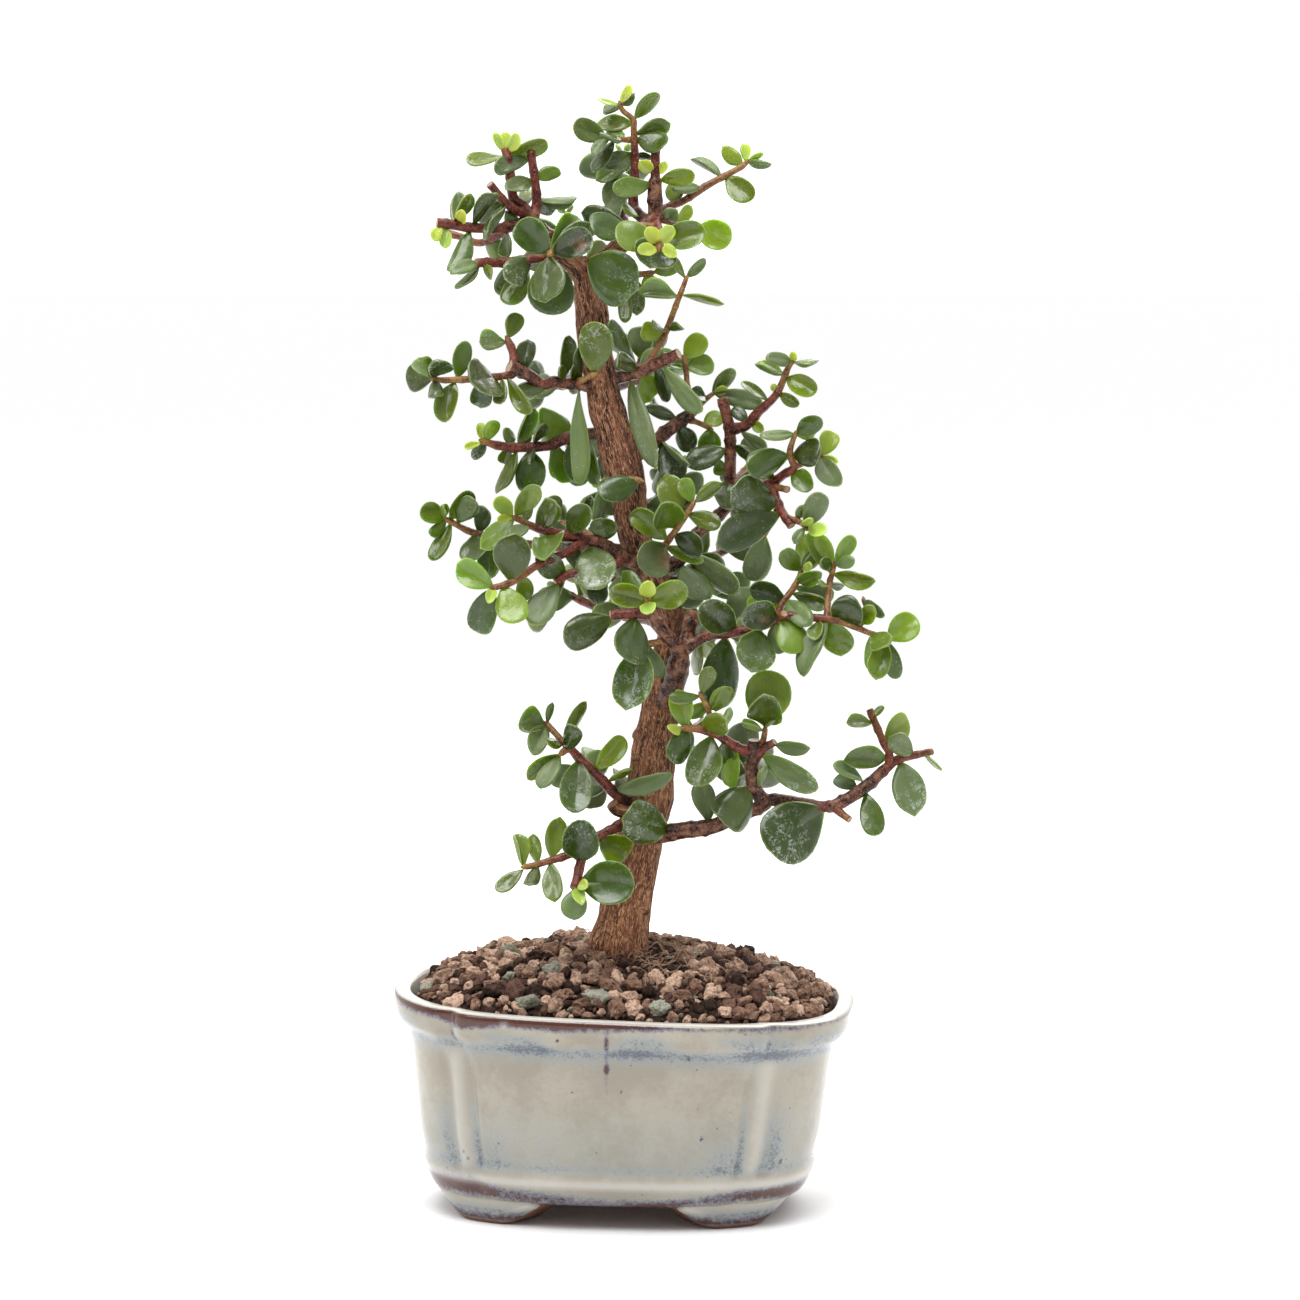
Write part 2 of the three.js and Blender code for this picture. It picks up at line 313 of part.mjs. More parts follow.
    leaves: [
      [-0.8, 16.8, -25, -1.5, 24, -29, 6.2, 0, "y"], [-0.6, 16.6, -25, -0.9, 11.1, -29, 5.8, 0, "y"],
      [-0.9, 16.4, -22, -14, 19.6, -24, 9, 0, "m"], [-0.3, 16.6, -22, 12.6, 21, -24, 10, 0, "m"],
      [-0.9, 15.6, -19, -9, 26.2, -14, 7, 0, "m"], [-13, 12, -17, -28.4, 2.6, -21, 12.2, 0, "d"],
      [-5, 12, -16, -7.2, -4.6, -22, 12.6, 0, "d"], [-4.8, 1.6, -15, -8, -19.8, -18, 14.6, 0, "d"],
      [-1, 2, -14, 3.6, -9.2, -11, 6.6, 10, "g"],
    ] },
  { name: "spray_right_low", cutBy: ["trunk", "spray_front"],
    stems: [
      [[11.5, 0.5, -12, 5], [15, 2.7, -12, 4.1], [20, 5, -12, 3.7], [28.3, 6, -12, 3.5],
        [37, 8, -12, 3.3], [44, 11, -13, 3.1],
        [56.3, 10.6, -15, 2.7], [62, 10, -16, 2.4], [70, 7, -17, 2.1], [80, 2.8, -19, 1.6]],
      [[43, 10.5, -13, 2.8], [44.8, 12.2, -16, 2.4]],
      [[42.6, 10.5, -13, 2.8], [43.8, 15, -10, 2.4], [48.4, 21.5, -8, 2.2], [51, 27.6, -8, 1.6]],
      [[59, 10.4, -15.5, 2.4], [59.7, 21, -12, 2], [60.9, 26.1, -11, 1.8], [61.8, 29.8, -11, 1.4]],
      [[69.5, 7.2, -17, 1.9], [72, 12, -15, 1.6], [71, 17.8, -14, 1.4]],
      [[20.5, 5.1, -11, 3], [27, 7, 2, 2.6], [33, 10, 14, 2.2], [38, 15, 26, 1.7]],
    ],
    grown: [[5, 13, 10]],
    leaves: [
      [30, 6.6, -13, 15.5, 15, -19, 12.2, 0, "d"], [25.4, 5.6, -13, 22, -19.6, -16, 14.2, 0, "d"],
      [42.3, 9.8, -14, 30.3, 11.5, -19, 11, 0, "d"], [44.5, 10.6, -14, 50, -1, -18, 11.4, 0, "b"],
      [37, 8, -13, 34, -6.9, -17, 13.6, 0, "d"], [42.5, 9.8, -12, 43, -1.4, -8, 8, 20, "g"],
      [59.3, 10.2, -15, 49.5, -8, -19, 9, 60, "g"], [61, 10, -15, 63.5, -1.7, -9, 10.6, 0, "m"],
      [56, 10.5, -15, 55, 2.8, -19, 6, 30, "m"], [58.8, 10.5, -16, 70.5, 13.5, -21, 12, 0, "d"],
      [71, 17.6, -14, 78.5, 11.3, -18, 5, 20, "g"], [70.5, 8.6, -17, 74.6, 15.2, -20, 6, 0, "b"],
      [73, 5.9, -18, 79.7, 1, -24, 8, 0, "m"], [79.4, 3.1, -19, 89.2, 11, -19, 10, 0, "b"],
      [74, 5.4, -17, 73.2, -6.5, -13, 4.6, 20, "b"], [78.6, 3.3, -19, 75.2, -9.8, -21, 8, 10, "m"],
      [79.6, 2.9, -19, 82.5, -9.7, -16, 6, 10, "m"], [50.6, 26.6, -8, 43.6, 33.5, -11, 6.6, 10, "m"],
      [50.9, 27.2, -8, 56.7, 32.7, -7, 6, 10, "m"], [50.8, 27, -9, 54.7, 29, -13, 3.2, 0, "y"],
      [48.8, 22.3, -9, 57.2, 25.5, -14, 6.6, 10, "m"], [51, 27.4, -7, 51.5, 39, -4, 5, 10, "b"],
      [45.7, 17.7, -10, 32.8, 21, -14, 7.6, 5, "d"], [46.6, 19, -9, 60, 15.4, -13, 5.8, 30, "m"],
      [48.2, 21.2, -9, 61.7, 18.4, -6, 5.6, 30, "g"], [45.4, 17.3, -10, 53.4, 8.6, -18, 7.4, 20, "g"],
      [44.6, 16.2, -9, 37.3, 17.6, -4, 6, 30, "g"], [44, 15.3, -9, 31.8, 15.5, -2, 6, 0, "b"],
      [61.6, 29.3, -11, 55.2, 38.6, -13, 6, 10, "b"], [61.8, 29.4, -11, 68.4, 38.2, -10, 6, 10, "b"],
      [60.7, 25, -11, 74.9, 22.6, -15, 5.8, 35, "m"], [61.6, 29, -11, 68.7, 30, -15, 3.6, 30, "g"],
      [61.2, 27.6, -11, 56.1, 29.4, -15, 4.8, 10, "m"], [59.8, 21.6, -12, 55.8, 22.8, -16, 3, 55, "m"],
      [59.9, 21.6, -12, 64.7, 21, -8, 3, 55, "m"], [60.6, 25, -11, 52.8, 39.5, -8, 5.6, 20, "b"],
      [18, 4.3, -11, 20.6, -1.4, -4, 6, 0, "b"], [17, 3.8, -11, 14.5, -8.2, -6, 5, 10, "b"],
    ] },
  { name: "spray_low_right", cutBy: ["trunk"],
    stems: [
      [[-1, -62.5, -4, 6.2], [10, -60.3, -7, 5.6], [20, -59, -8, 5.2], [26, -56.8, -8, 4.7],
        [37, -52.2, -8, 4.4], [40.6, -50, -8, 4.4],
        [50, -50.8, -9, 3.6], [57.9, -52.2, -10, 3.8], [63, -51.2, -10, 4.3], [71.7, -45.7, -8, 4.4],
        [78.9, -39.2, -5, 3.6],
        [83.2, -36.3, -3, 3], [94.1, -33.8, 2, 2.4]],
      [[61, -52.5, -10, 2.8], [66.6, -56.6, -13, 2.3]],
      [[79.5, -38.6, -5, 2.9], [79.7, -34.4, -5, 2.7], [77.6, -30.3, -4, 2.6], [73.2, -19.8, -2, 2.5]],
      [[38, -51, -8, 5], [35.5, -47, -9, 4.8], [34, -44, -10, 4.7], [34.3, -35.7, -11, 4.6],
        [34.6, -30, -12, 4]],
      [[34.6, -37.5, -11, 3.6], [36.8, -34, -12, 3.1], [41.6, -30.6, -14, 2.6]],
      [[34.3, -34.5, -11, 3.6], [28.3, -32, -13, 3.1], [23, -28.6, -14, 2.8], [16.7, -26.5, -15, 2.6],
        [10, -26, -16, 2]],
      [[36.4, -34.4, -12, 2.4], [38, -29, -12, 2.1], [38.5, -25, -12, 1.7]],
      [[20, -27.5, -14.6, 2.2], [19.6, -20.7, -16, 1.9], [16.3, -14, -16, 1.6]],
      [[34.2, -42, -10, 3], [32, -40, 4, 2.6], [30, -37, 17, 2.2], [28, -33, 28, 1.7]],
    ],
    grown: [[8, 13, 10]],
    leaves: [
      [74.8, -23.8, -3, 65.5, -24.4, -8, 4.6, 50, "m"], [74.6, -23, -3, 77.5, -18.1, -6, 3.6, 35, "m"],
      [78.3, -31.5, -4, 86.2, -22.8, 3, 9, 0, "b"], [89, -35, -1, 79.8, -29.2, -7, 8, 10, "g"],
      [79.5, -36, -6, 64.8, -37, -10, 8.6, 10, "m"], [73.5, -44.2, -9, 60.8, -37.9, -13, 6, 45, "g"],
      [70.5, -46.6, -9, 61.3, -42.4, -5, 6, 10, "g"], [91, -34.6, 0, 97.5, -40.6, -2, 3.6, 50, "m"],
      [83.8, -36.4, -4, 88, -54.2, -8, 11.8, 0, "g"], [71.8, -46.2, -9, 75.4, -62.5, -12, 8, 10, "m"],
      [60.8, -52.6, -12, 38.4, -66.5, -16, 21.5, 0, "d"], [40.8, -31.2, -14, 53.2, -33, -17, 5.8, 20, "g"],
      [36, -35, -13, 56.4, -46.2, -18, 11.6, 10, "g"], [34, -45, -12, 24.3, -58.2, -17, 15.8, 0, "d"],
      [28.6, -32.2, -12, 26, -45.5, -7, 6.8, 10, "b"], [20, -58.6, -7, 16.8, -43.6, -4, 9, 10, "g"],
      [36, -47.6, -10, 38.6, -38.3, -14, 4.6, 55, "g"], [10.4, -26, -16, 5.6, -26.6, -20, 4, 0, "y"],
      [17, -26.5, -16, 26.2, -23.2, -21, 8.6, 0, "m"], [13, -26.3, -15.6, 7, -37.6, -18, 8.6, 0, "d"],
      [21, -27.8, -15, 15.3, -46, -19, 12.2, 0, "d"], [24.6, -29.7, -13, 26, -38.2, -9, 7, 10, "d"],
      [22, -28, -13.6, 27.6, -19.3, -8, 5, 45, "b"], [38.4, -25.2, -12, 40.5, -6.8, -9, 16, 0, "b"],
      [38.4, -25.4, -12.4, 38, -14.3, -19, 13, 0, "m"], [38.3, -26, -12, 30.1, -24.5, -15, 4, 65, "m"],
      [38.5, -25.6, -12, 42.7, -22.9, -16, 3.6, 65, "m"], [16.5, -14.5, -16, 20.4, -5.4, -18, 4.8, 30, "m"],
      [16.4, -14.2, -16, 6.1, -15.9, -19, 5, 30, "m"], [12, -26, -15.5, 9, -13.3, -12, 8.6, 0, "b"],
      [19.2, -19.5, -15, 12.3, -20.6, -10, 6, 10, "m"], [19.5, -20.3, -16, 27.4, -12.4, -14, 7, 10, "m"],
      [8, -60.7, -9, -9.4, -56, -16, 15.8, 0, "d"],
    ] },
  { name: "spray_low_left", cutBy: ["trunk"],
    stems: [
      [[-3, -54, -3, 4.4], [-10.4, -49, -6, 3.8], [-16.3, -43, -8, 3.4], [-23.8, -35.7, -10, 3],
        [-27, -33, -10, 2.7], [-30.5, -35, -12, 2.1]],
      [[-26.6, -33.3, -10, 2.6], [-29.6, -30, -9, 2.3], [-33.8, -25.2, -7, 2], [-35, -23.8, -6, 1.7]],
      [[-12, -47.4, -6.6, 3], [-14, -45, 6, 2.6], [-18, -42, 17, 2.2], [-23, -40, 27, 1.7]],
    ],
    grown: [[2, 13, 10]],
    leaves: [
      [-35.2, -24.3, -6, -44, -24.6, -10, 9.2, 25, "m"], [-35, -23.8, -6, -32.5, -17.4, -8, 3.2, 20, "m"],
      [-28.7, -31, -10, -21.2, -17.2, -6, 6.6, 25, "m"],
      [-27.4, -33.6, -12, -24.4, -26.2, -17, 7.6, 0, "d"],
      [-34.6, -24.6, -7, -39.2, -34.7, -11, 7.2, 10, "g"], [-30.6, -35, -12, -40.5, -43.2, -9, 6, 20, "m"],
      [-30.5, -35, -12, -36.8, -46.2, -16, 7.6, 15, "g"], [-29, -31, -10, -34.2, -31, -15, 4.6, 10, "m"],
      [-18.6, -40.6, -9, -8.4, -28.8, -5, 8, 10, "b"], [-14.4, -45, -8, -6.3, -38.8, -10.6, 4.6, 45, "m"],
      [-12, -47.6, -8, 6.1, -42.7, -14, 6.6, 20, "g"], [-24, -35.8, -12, -25.8, -55.2, -16, 11.6, 0, "d"],
      [-11.8, -47.8, -8, -24.2, -57, -11, 7, 20, "g"],
    ] },
  { name: "spray_base_left", cutBy: ["trunk", "spray_low_left"],
    stems: [
      [[-5, -56, -5, 3.8], [-9.6, -58, -9, 3.6], [-13, -60, -11, 3.4], [-17, -62, -12, 3.2],
        [-22, -66, -14, 3], [-28.5, -68.7, -15, 2.7],
        [-38.9, -71.8, -17, 2.2], [-43, -72.4, -18, 1.8]],
      [[-21.5, -65.5, -14, 3.3], [-23.3, -71.6, -17, 3.2], [-25, -79.5, -20, 3.1]],
    ],
    leaves: [
      [-42.9, -72.4, -18, -44.8, -60.8, -15, 5.6, 55, "m"],
      [-43, -72.4, -18, -51.1, -81.2, -20, 5.6, 35, "m"],
      [-32.8, -70, -16, -30.3, -56, -14, 7.4, 10, "m"], [-37.5, -71.4, -16, -39.3, -61.8, -11, 5, 30, "m"],
      [-37, -71.4, -18, -40.5, -78.7, -24, 6, 20, "d"], [-33, -70, -17, -31.2, -84.2, -20, 6.6, 20, "m"],
      [-25, -78.6, -20, -25.5, -90.2, -22, 9, 10, "g"], [-24.9, -79.3, -20.5, -20.1, -78.8, -25, 4, 0, "y"],
      [-24.9, -79.4, -20.5, -22.7, -85, -25, 4.6, 0, "y"],
      [-23.3, -71.6, -18, -24, -56.6, -22, 13.6, 0, "d"],
      [-24.4, -77.3, -20, -4.6, -77.2, -22, 15.6, 0, "d"],
      [-17.4, -62.3, -12, -7.2, -68.8, -13, 12, 0, "m"],
    ] },
  { name: "spray_left_middle", cutBy: ["trunk"],
    stems: [
      [[-12.5, 72, 2, 4.2], [-20, 72, 5, 4], [-27.7, 70.7, 7, 3.8], [-33.9, 68.2, 8, 3.6],
        [-44.3, 67.5, 8, 3.2], [-50.6, 68.2, 7, 3], [-57, 70, 6, 2]],
      [[-27.7, 70.7, 7, 2.8], [-27, 68, 18, 2.4], [-24, 64, 28, 2], [-22, 62, 36, 1.5]],
    ],
    grown: [[1, 12, 10]],
    leaves: [
      [-56.7, 70, 6, -57, 76.2, 4, 3.8, 20, "y"], [-56.8, 69.9, 6, -62.2, 66.7, 3, 3.4, 20, "y"],
      [-55, 69.5, 6, -51.2, 76.8, 3, 5.4, 10, "b"], [-55, 69.3, 6, -59.8, 63.6, 9, 4.5, 35, "d"],
      [-43.9, 67.8, 8, -39, 80.4, 11, 5.5, 40, "m"], [-44.3, 67, 8, -50.2, 51.8, 5, 6.5, 35, "m"],
      [-40, 67.2, 7, -40, 52, 3, 11.2, 0, "d"], [-33, 69, 9, -31.8, 80.2, 13, 11.6, 0, "b"],
      [-38.8, 67.8, 6, -35.2, 75.8, 1, 5.5, 50, "d"], [-39, 67.6, 6, -40, 62.3, 1, 4, 45, "d"],
      [-33, 68.2, 9, -26.7, 56.4, 12, 7.6, 10, "b"], [-31.5, 69, 9, -29.5, 56.8, 15, 7, 10, "b"],
      [-27, 70.4, 7, -24.2, 55.8, 5, 7, 20, "d"], [-46.5, 68, 8, -47.5, 74.2, 12, 4.6, 10, "m"],
      [-41.5, 67.5, 9, -41.5, 73.7, 13, 5, 10, "m"], [-47.5, 67.5, 8, -48.8, 61.8, 12, 4.6, 10, "m"],
      [-21, 71.6, 5.5, -17.5, 54.8, 8, 6, 40, "m"],
    ] },
  { name: "spray_left_low", cutBy: ["trunk"],
    stems: [
      [[-4.2, 28.8, -2.6, 5], [-11.3, 32.3, -6, 4.4], [-15.4, 34.9, -7, 4.2], [-21.7, 36.9, -8, 3.6],
        [-34, 39.5, -10, 3.1], [-38, 40.7, -10, 2.7], [-46.4, 44.8, -11, 1.8]],
      [[-17.8, 35.6, -7, 2.6], [-19.2, 37.4, -4.5, 2.3], [-23.3, 40.3, -2, 2.1], [-30, 43, 1, 1.7]],
      [[-21, 36.7, -8, 3], [-30, 31.5, -14, 2.8], [-37.7, 28.2, -18, 2.6], [-46, 22.7, -21, 2.4],
        [-53.5, 20.4, -22, 2]],
      [[-8.5, 31, -5.5, 3.8], [-14, 27, -9, 3.4], [-20, 25.5, -12, 3.2], [-27, 25.3, -13, 3],
        [-31.5, 22.3, -14, 2.8]],
    ],
    leaves: [
      [-46.4, 45, -11, -52.5, 51.2, -15, 6, 0, "y"], [-46.4, 44.7, -11, -51.7, 43.4, -15, 2.8, 10, "y"],
      [-46, 44.3, -11, -56.4, 34.1, -9, 8.4, 10, "b"], [-45.2, 44.6, -11, -36.6, 55.2, -15, 7.2, 10, "m"],
      [-42, 43, -10, -40.7, 51.2, -3, 6, 30, "m"], [-38.2, 41, -10, -30, 51, -6, 7, 20, "d"],
      [-36, 40.5, -11, -31, 50.5, -18, 8, 0, "m"], [-40.5, 41.6, -11, -46.7, 37.3, -15, 6, 20, "g"],
      [-34, 40, -12, -35.2, 29.5, -20, 11.8, 0, "m"], [-28, 38.6, -10, -19.8, 48, -13, 9, 0, "d"],
      [-23.5, 40.6, -1, -19.5, 51.2, 2, 6, 20, "d"], [-15.8, 35.4, -6, -15, 44.5, -2, 9.8, 0, "m"],
      [-19.8, 36.2, -10, -16.4, 20, -18, 14.4, 0, "d"], [-17.3, 36.6, -5, -15, 57.4, 3, 6, 50, "g"],
      [-47, 22.4, -21, -45, 38.4, -25, 12.6, 0, "d"], [-53.2, 20.4, -22, -54, 15.3, -27, 4.2, 0, "y"],
      [-53.4, 20.6, -22, -64.2, 28.7, -20, 9.6, 0, "b"], [-52.6, 20.5, -21, -57.6, 5.5, -17, 10.6, 0, "d"],
      [-49, 21.7, -22, -43.5, 8.6, -25, 10.8, 0, "b"], [-43.5, 24.3, -20, -41, 17.3, -14, 6, 10, "m"],
      [-27, 25.4, -14, -38.2, 30.7, -17, 9, 0, "d"], [-31.3, 22.4, -14, -39.8, 8.6, -20, 8.5, 55, "g"],
      [-28, 25, -13, -39.6, 6.1, -12, 9, 15, "g"], [-30, 23.3, -13, -37.7, 32.7, -8, 5, 20, "m"],
      [-23.6, 25.4, -11, -28.6, 36.7, -7, 7, 10, "d"], [-20, 25.4, -12, -16, 15.3, -14, 7, 10, "d"],
    ] },
  { name: "spray_left_back", cutBy: ["trunk"],
    stems: [
      [[-3, 32, 4, 4.2], [-14, 34, 11, 3.8], [-28, 34, 17, 3.2], [-42, 35.5, 19, 2.8],
        [-49, 37.4, 18, 2.6], [-59.3, 39.2, 17, 2.4], [-69, 44.3, 15, 1.8]],
      [[-24, 34, 15.5, 2.8], [-27, 37, 26, 2.4], [-30, 41, 36, 1.8]],
    ],
    grown: [[1, 11, 8]],
    leaves: [
      [-68.9, 44, 15, -77, 47, 13, 8, 0, "m"], [-67, 43, 15, -59.2, 53, 11, 7.4, 10, "m"],
      [-64.3, 41.6, 15, -58.2, 51.2, 7, 7.6, 10, "m"], [-68.7, 44.2, 15, -69.3, 48.7, 11, 4, 60, "m"],
      [-68, 43.6, 15, -73.7, 37.8, 12, 4.2, 10, "m"], [-66.4, 42.7, 15, -72.8, 29.3, 12, 6.6, 15, "m"],
      [-57, 38.9, 17, -55, 48.2, 20, 7, 10, "d"], [-58.5, 39, 16, -59.5, 29.3, 10, 10, 0, "d"],
      [-52.5, 38, 17, -53.3, 23.1, 14, 8.6, 10, "m"],
    ] },
  { name: "spray_back_top", cutBy: ["trunk"],
    stems: [
      [[-21, 125, 2, 4.6], [-23, 128, 12, 3.8], [-26, 133, 21, 3], [-28, 139, 30, 2.4],
        [-28, 146, 37, 1.8]],
      [[-23, 128, 12, 3], [-32, 128, 19, 2.4], [-41, 130, 25, 1.8]],
    ],
    grown: [[0, 13, 10], [1, 13, 8]],
    leaves: [] },
  { name: "spray_back_crown", cutBy: ["trunk"],
    stems: [
      [[-10, 136, 2, 4.4], [-9, 141, 12, 3.6], [-9, 149, 20, 2.8], [-10, 158, 27, 2.2], [-9, 166, 31, 1.6]],
    ],
    grown: [[0, 13, 8]],
    leaves: [] },
  { name: "spray_back_upper", cutBy: ["trunk"],
    stems: [
      [[-16, 86, 2, 4.4], [-8, 89, 14, 3.6], [2, 92, 27, 2.8], [8, 96, 38, 1.9]],
    ],
    grown: [[0, 14, 10]],
    leaves: [] },
  { name: "spray_back_left", cutBy: ["trunk"],
    stems: [
      [[2, 10, 3, 4.4], [-10, 12, 15, 3.6], [-22, 16, 27, 2.8], [-31, 21, 38, 1.9]],
    ],
    grown: [[0, 14, 13]],
    leaves: [] },
  { name: "spray_back_right", cutBy: ["trunk"],
    stems: [
      [[4, 20, 3, 4.4], [14, 27, 14, 3.6], [26, 34, 26, 2.8], [35, 41, 37, 1.9]],
    ],
    grown: [[0, 14, 12]],
    leaves: [] },
  { name: "spray_back_middle", cutBy: ["trunk"],
    stems: [
      [[-6.5, 47, 3, 4.4], [-2, 48, 14, 3.8], [4, 51, 26, 3], [9, 56, 35, 2.4], [12, 62, 40, 1.8]],
      [[-2, 48, 14, 3], [-10, 50, 24, 2.4], [-16, 55, 34, 1.8]],
    ],
    grown: [[0, 12, 10], [1, 12, 8]],
    leaves: [] },
  { name: "spray_back_low", cutBy: ["trunk"],
    stems: [
      [[4, 17, 3, 4.6], [-2, 19, 14, 3.8], [-9, 22, 25, 3], [-17, 27, 35, 2.4], [-24, 33, 43, 1.8]],
      [[-2, 19, 14, 3], [7, 18, 24, 2.6], [15, 17, 34, 2.2], [22, 20, 43, 1.7]],
    ],
    grown: [[0, 12, 10], [1, 13, 10]],
    leaves: [] },
  { name: "spray_back_base", cutBy: ["trunk"],
    stems: [
      [[1, -30, 4, 4.4], [3, -29, 15, 3.6], [8, -27, 27, 2.8], [14, -26, 36, 2.2], [18, -23, 44, 1.7]],
    ],
    grown: [[0, 13, 10]],
    leaves: [] },
];

// ---------------------------------------------------------------- vectors, the elevation, seeded draws
const add = (a, b, s = 1) => [a[0] + b[0] * s, a[1] + b[1] * s, a[2] + b[2] * s];
const sub = (a, b) => add(a, b, -1);
const dot = (a, b) => a[0] * b[0] + a[1] * b[1] + a[2] * b[2];
const cross = (a, b) => [a[1] * b[2] - a[2] * b[1], a[2] * b[0] - a[0] * b[2], a[0] * b[1] - a[1] * b[0]];
const scale = (a, s) => [a[0] * s, a[1] * s, a[2] * s];
const length = (a) => Math.sqrt(dot(a, a));
const unit = (a) => scale(a, 1 / length(a));
const mix = (a, b, t) => add(scale(a, 1 - t), b, t);

const RIGHT = [Math.cos(TREE_TURN), Math.sin(TREE_TURN), 0];
const AWAY = [-RIGHT[1] * Math.cos(EYE_TILT), RIGHT[0] * Math.cos(EYE_TILT), -Math.sin(EYE_TILT)];
const UP = cross(RIGHT, AWAY);
const LOOK_AT = [-POT_CENTRE_U * RIGHT[0], -POT_CENTRE_U * RIGHT[1], LOOK_AT_HEIGHT];

// The point at u, v, w: on the sight line through u, v, at the depth w, spread to the front.
function fromFront([u, v, w]) {
  const depth = w < -FRONT_FREE ? -FRONT_FREE + (w + FRONT_FREE) * FRONT_SPREAD : w;
  const k = 1 + depth / EYE_DISTANCE;
  return add(add(add(LOOK_AT, RIGHT, u * k), UP, v * k), AWAY, depth);
}

// A linear congruential generator: the same draws on every run.
function drawsFrom(seed) {
  let state = seed;
  return () => {
    state = (state * 1103515245 + 12345) % 2147483648;
    return state / 2147483648;
  };
}

// ---------------------------------------------------------------- wood and leaves as numbers
// A row of a path, on the elevation, becomes a point with its radius.
const woodOf = (path) => path.map((row) => ({ at: fromFront(row), radius: row[3] / 2 }));

// The two directions across the wood at each of its points, turned as little as possible from point to point.
function framesOf(wood) {
  let across = null;
  return wood.map((_, i) => {
    const before = wood[Math.max(i - 1, 0)].at;
    const after = wood[Math.min(i + 1, wood.length - 1)].at;
    const along = unit(sub(after, before));
    const hint = across ?? (Math.abs(along[1]) < 0.9 ? [0, 1, 0] : [1, 0, 0]);
    across = unit(add(hint, along, -dot(hint, along)));
    return { across, other: cross(along, across) };
  });
}

const THICK_STEM = 4.5; // wide at the root: five sides, and four on what is thinner
const sidesOf = (path) => (path[0][3] < THICK_STEM ? 4 : 5);

const SPRAY_WOOD = new Map(SPRAYS.map((spray) => [spray.name, spray.stems.map((path) => {
  const wood = woodOf(path);
  return { wood, frames: framesOf(wood), sides: sidesOf(path) };
})]));

// Where a leaf with this tip leaves the stem that is nearest to `near`: a little under its flat sides.
function rootOn(node, near, tip) {
  let best = null;
  for (const { wood, frames, sides } of SPRAY_WOOD.get(node)) {
    for (let i = 1; i < wood.length; i++) {
      const [from, to] = [wood[i - 1], wood[i]];
      const span = sub(to.at, from.at);
      const end = i === wood.length - 1 ? Math.max(1 - (to.radius + 0.5) / length(span), 0) : 1;
      const t = Math.min(Math.max(dot(sub(near, from.at), span) / dot(span, span), 0), end);
      const at = add(from.at, span, t);
      const radius = from.radius + (to.radius - from.radius) * t;
      const gap = length(sub(near, at)) - radius;
      if (best && gap >= best.gap) continue;
      best = { gap, at, radius, along: unit(span), frame: frames[t < 0.5 ? i - 1 : i], sides };
    }
  }
  const out = unit(sub(tip, best.at));
  const facet = (2 * Math.PI) / best.sides;
  const angle = Math.atan2(dot(out, best.frame.other), dot(out, best.frame.across));
  const fromMiddle = angle - (Math.floor(angle / facet) + 0.5) * facet;
  const surface = (best.radius * Math.cos(facet / 2)) / Math.cos(fromMiddle);
  const slant = Math.max(length(cross(out, best.along)), 0.6);
  return add(best.at, out, Math.max(surface / slant - ROOT_SINK, 0));
}

// A leaf from its base to its tip on the elevation. At roll 0 its flat face looks at the eye as squarely as
// it can.
function leafBetween(node, [bu, bv, bw, tu, tv, tw, width, roll, age], bend, share) {
  const near = fromFront([bu, bv, bw]);
  const tip = mix(near, fromFront([tu, tv, tw + bend]), share);
  return leafOf(node, rootOn(node, near, tip), tip, width * share, scale(AWAY, -1), roll, age);
}

function leafOf(node, base, tip, width, facing, roll, age) {
  const axis = unit(sub(tip, base));
  const across = unit(cross(axis, facing));
  const square = cross(across, axis);
  const turn = (roll * Math.PI) / 180;
  const normal = add(scale(square, Math.cos(turn)), across, Math.sin(turn));
  const side = cross(axis, normal);
  return { node, base, axis, side, normal, length: length(sub(tip, base)), width, age };
}

const pointOn = (leaf, along, across, up) =>
  add(add(add(leaf.base, leaf.axis, along), leaf.side, across), leaf.normal, up);

// The right half of the outline, from the root to the blunt tip, as distances along and across the leaf.
function halfOutline(leaf) {
  const stations = leaf.width < BROAD_LEAF ? SMALL_STATIONS : BROAD_STATIONS;
  const rows = [[0, 0], ...stations];
  return rows.map(([s, share]) => [s * leaf.length, (share * leaf.width) / 2]);
}

function outlineOf(leaf) {
  const half = halfOutline(leaf);
  const left = half.slice(1).reverse().map(([a, b]) => [a, -b]);
  return [...half, ...left];
}

// Leaves in opposite pairs, each pair at right angles to the last, along a shoot from its root to its tip.
function grownLeaves(node, path, leafLength, start, draw) {
  const leaves = [];
  const points = woodOf(path);
  let walked = 0;
  let next = start;
  let quarter = 0;
  for (let i = 1; i < points.length; i++) {
    const from = points[i - 1].at;
    const step = length(sub(points[i].at, from));
    const along = unit(sub(points[i].at, from));
    const level = unit(cross(along, [0, 0, 1]));
    const other = cross(level, along);
    while (next <= walked + step) {
      const at = add(from, along, next - walked);
      const side = quarter % 2 ? other : level;
      for (const sign of [1, -1]) {
        const size = leafLength * (0.8 + 0.4 * draw());
        const out = add(scale(side, sign), along, 0.35 + 0.3 * draw());
        const lean = add(out, [draw() - 0.5, draw() - 0.5, draw() - 0.3], 0.5);
        const tip = add(at, unit(lean), size);
        leaves.push({ node, base: at, tip, width: size * (0.66 + 0.2 * draw()), facing: along });
      }
      next += PAIR_SPACING * (0.85 + 0.3 * draw());
      quarter++;
    }
    walked += step;
  }
  return leaves;
}

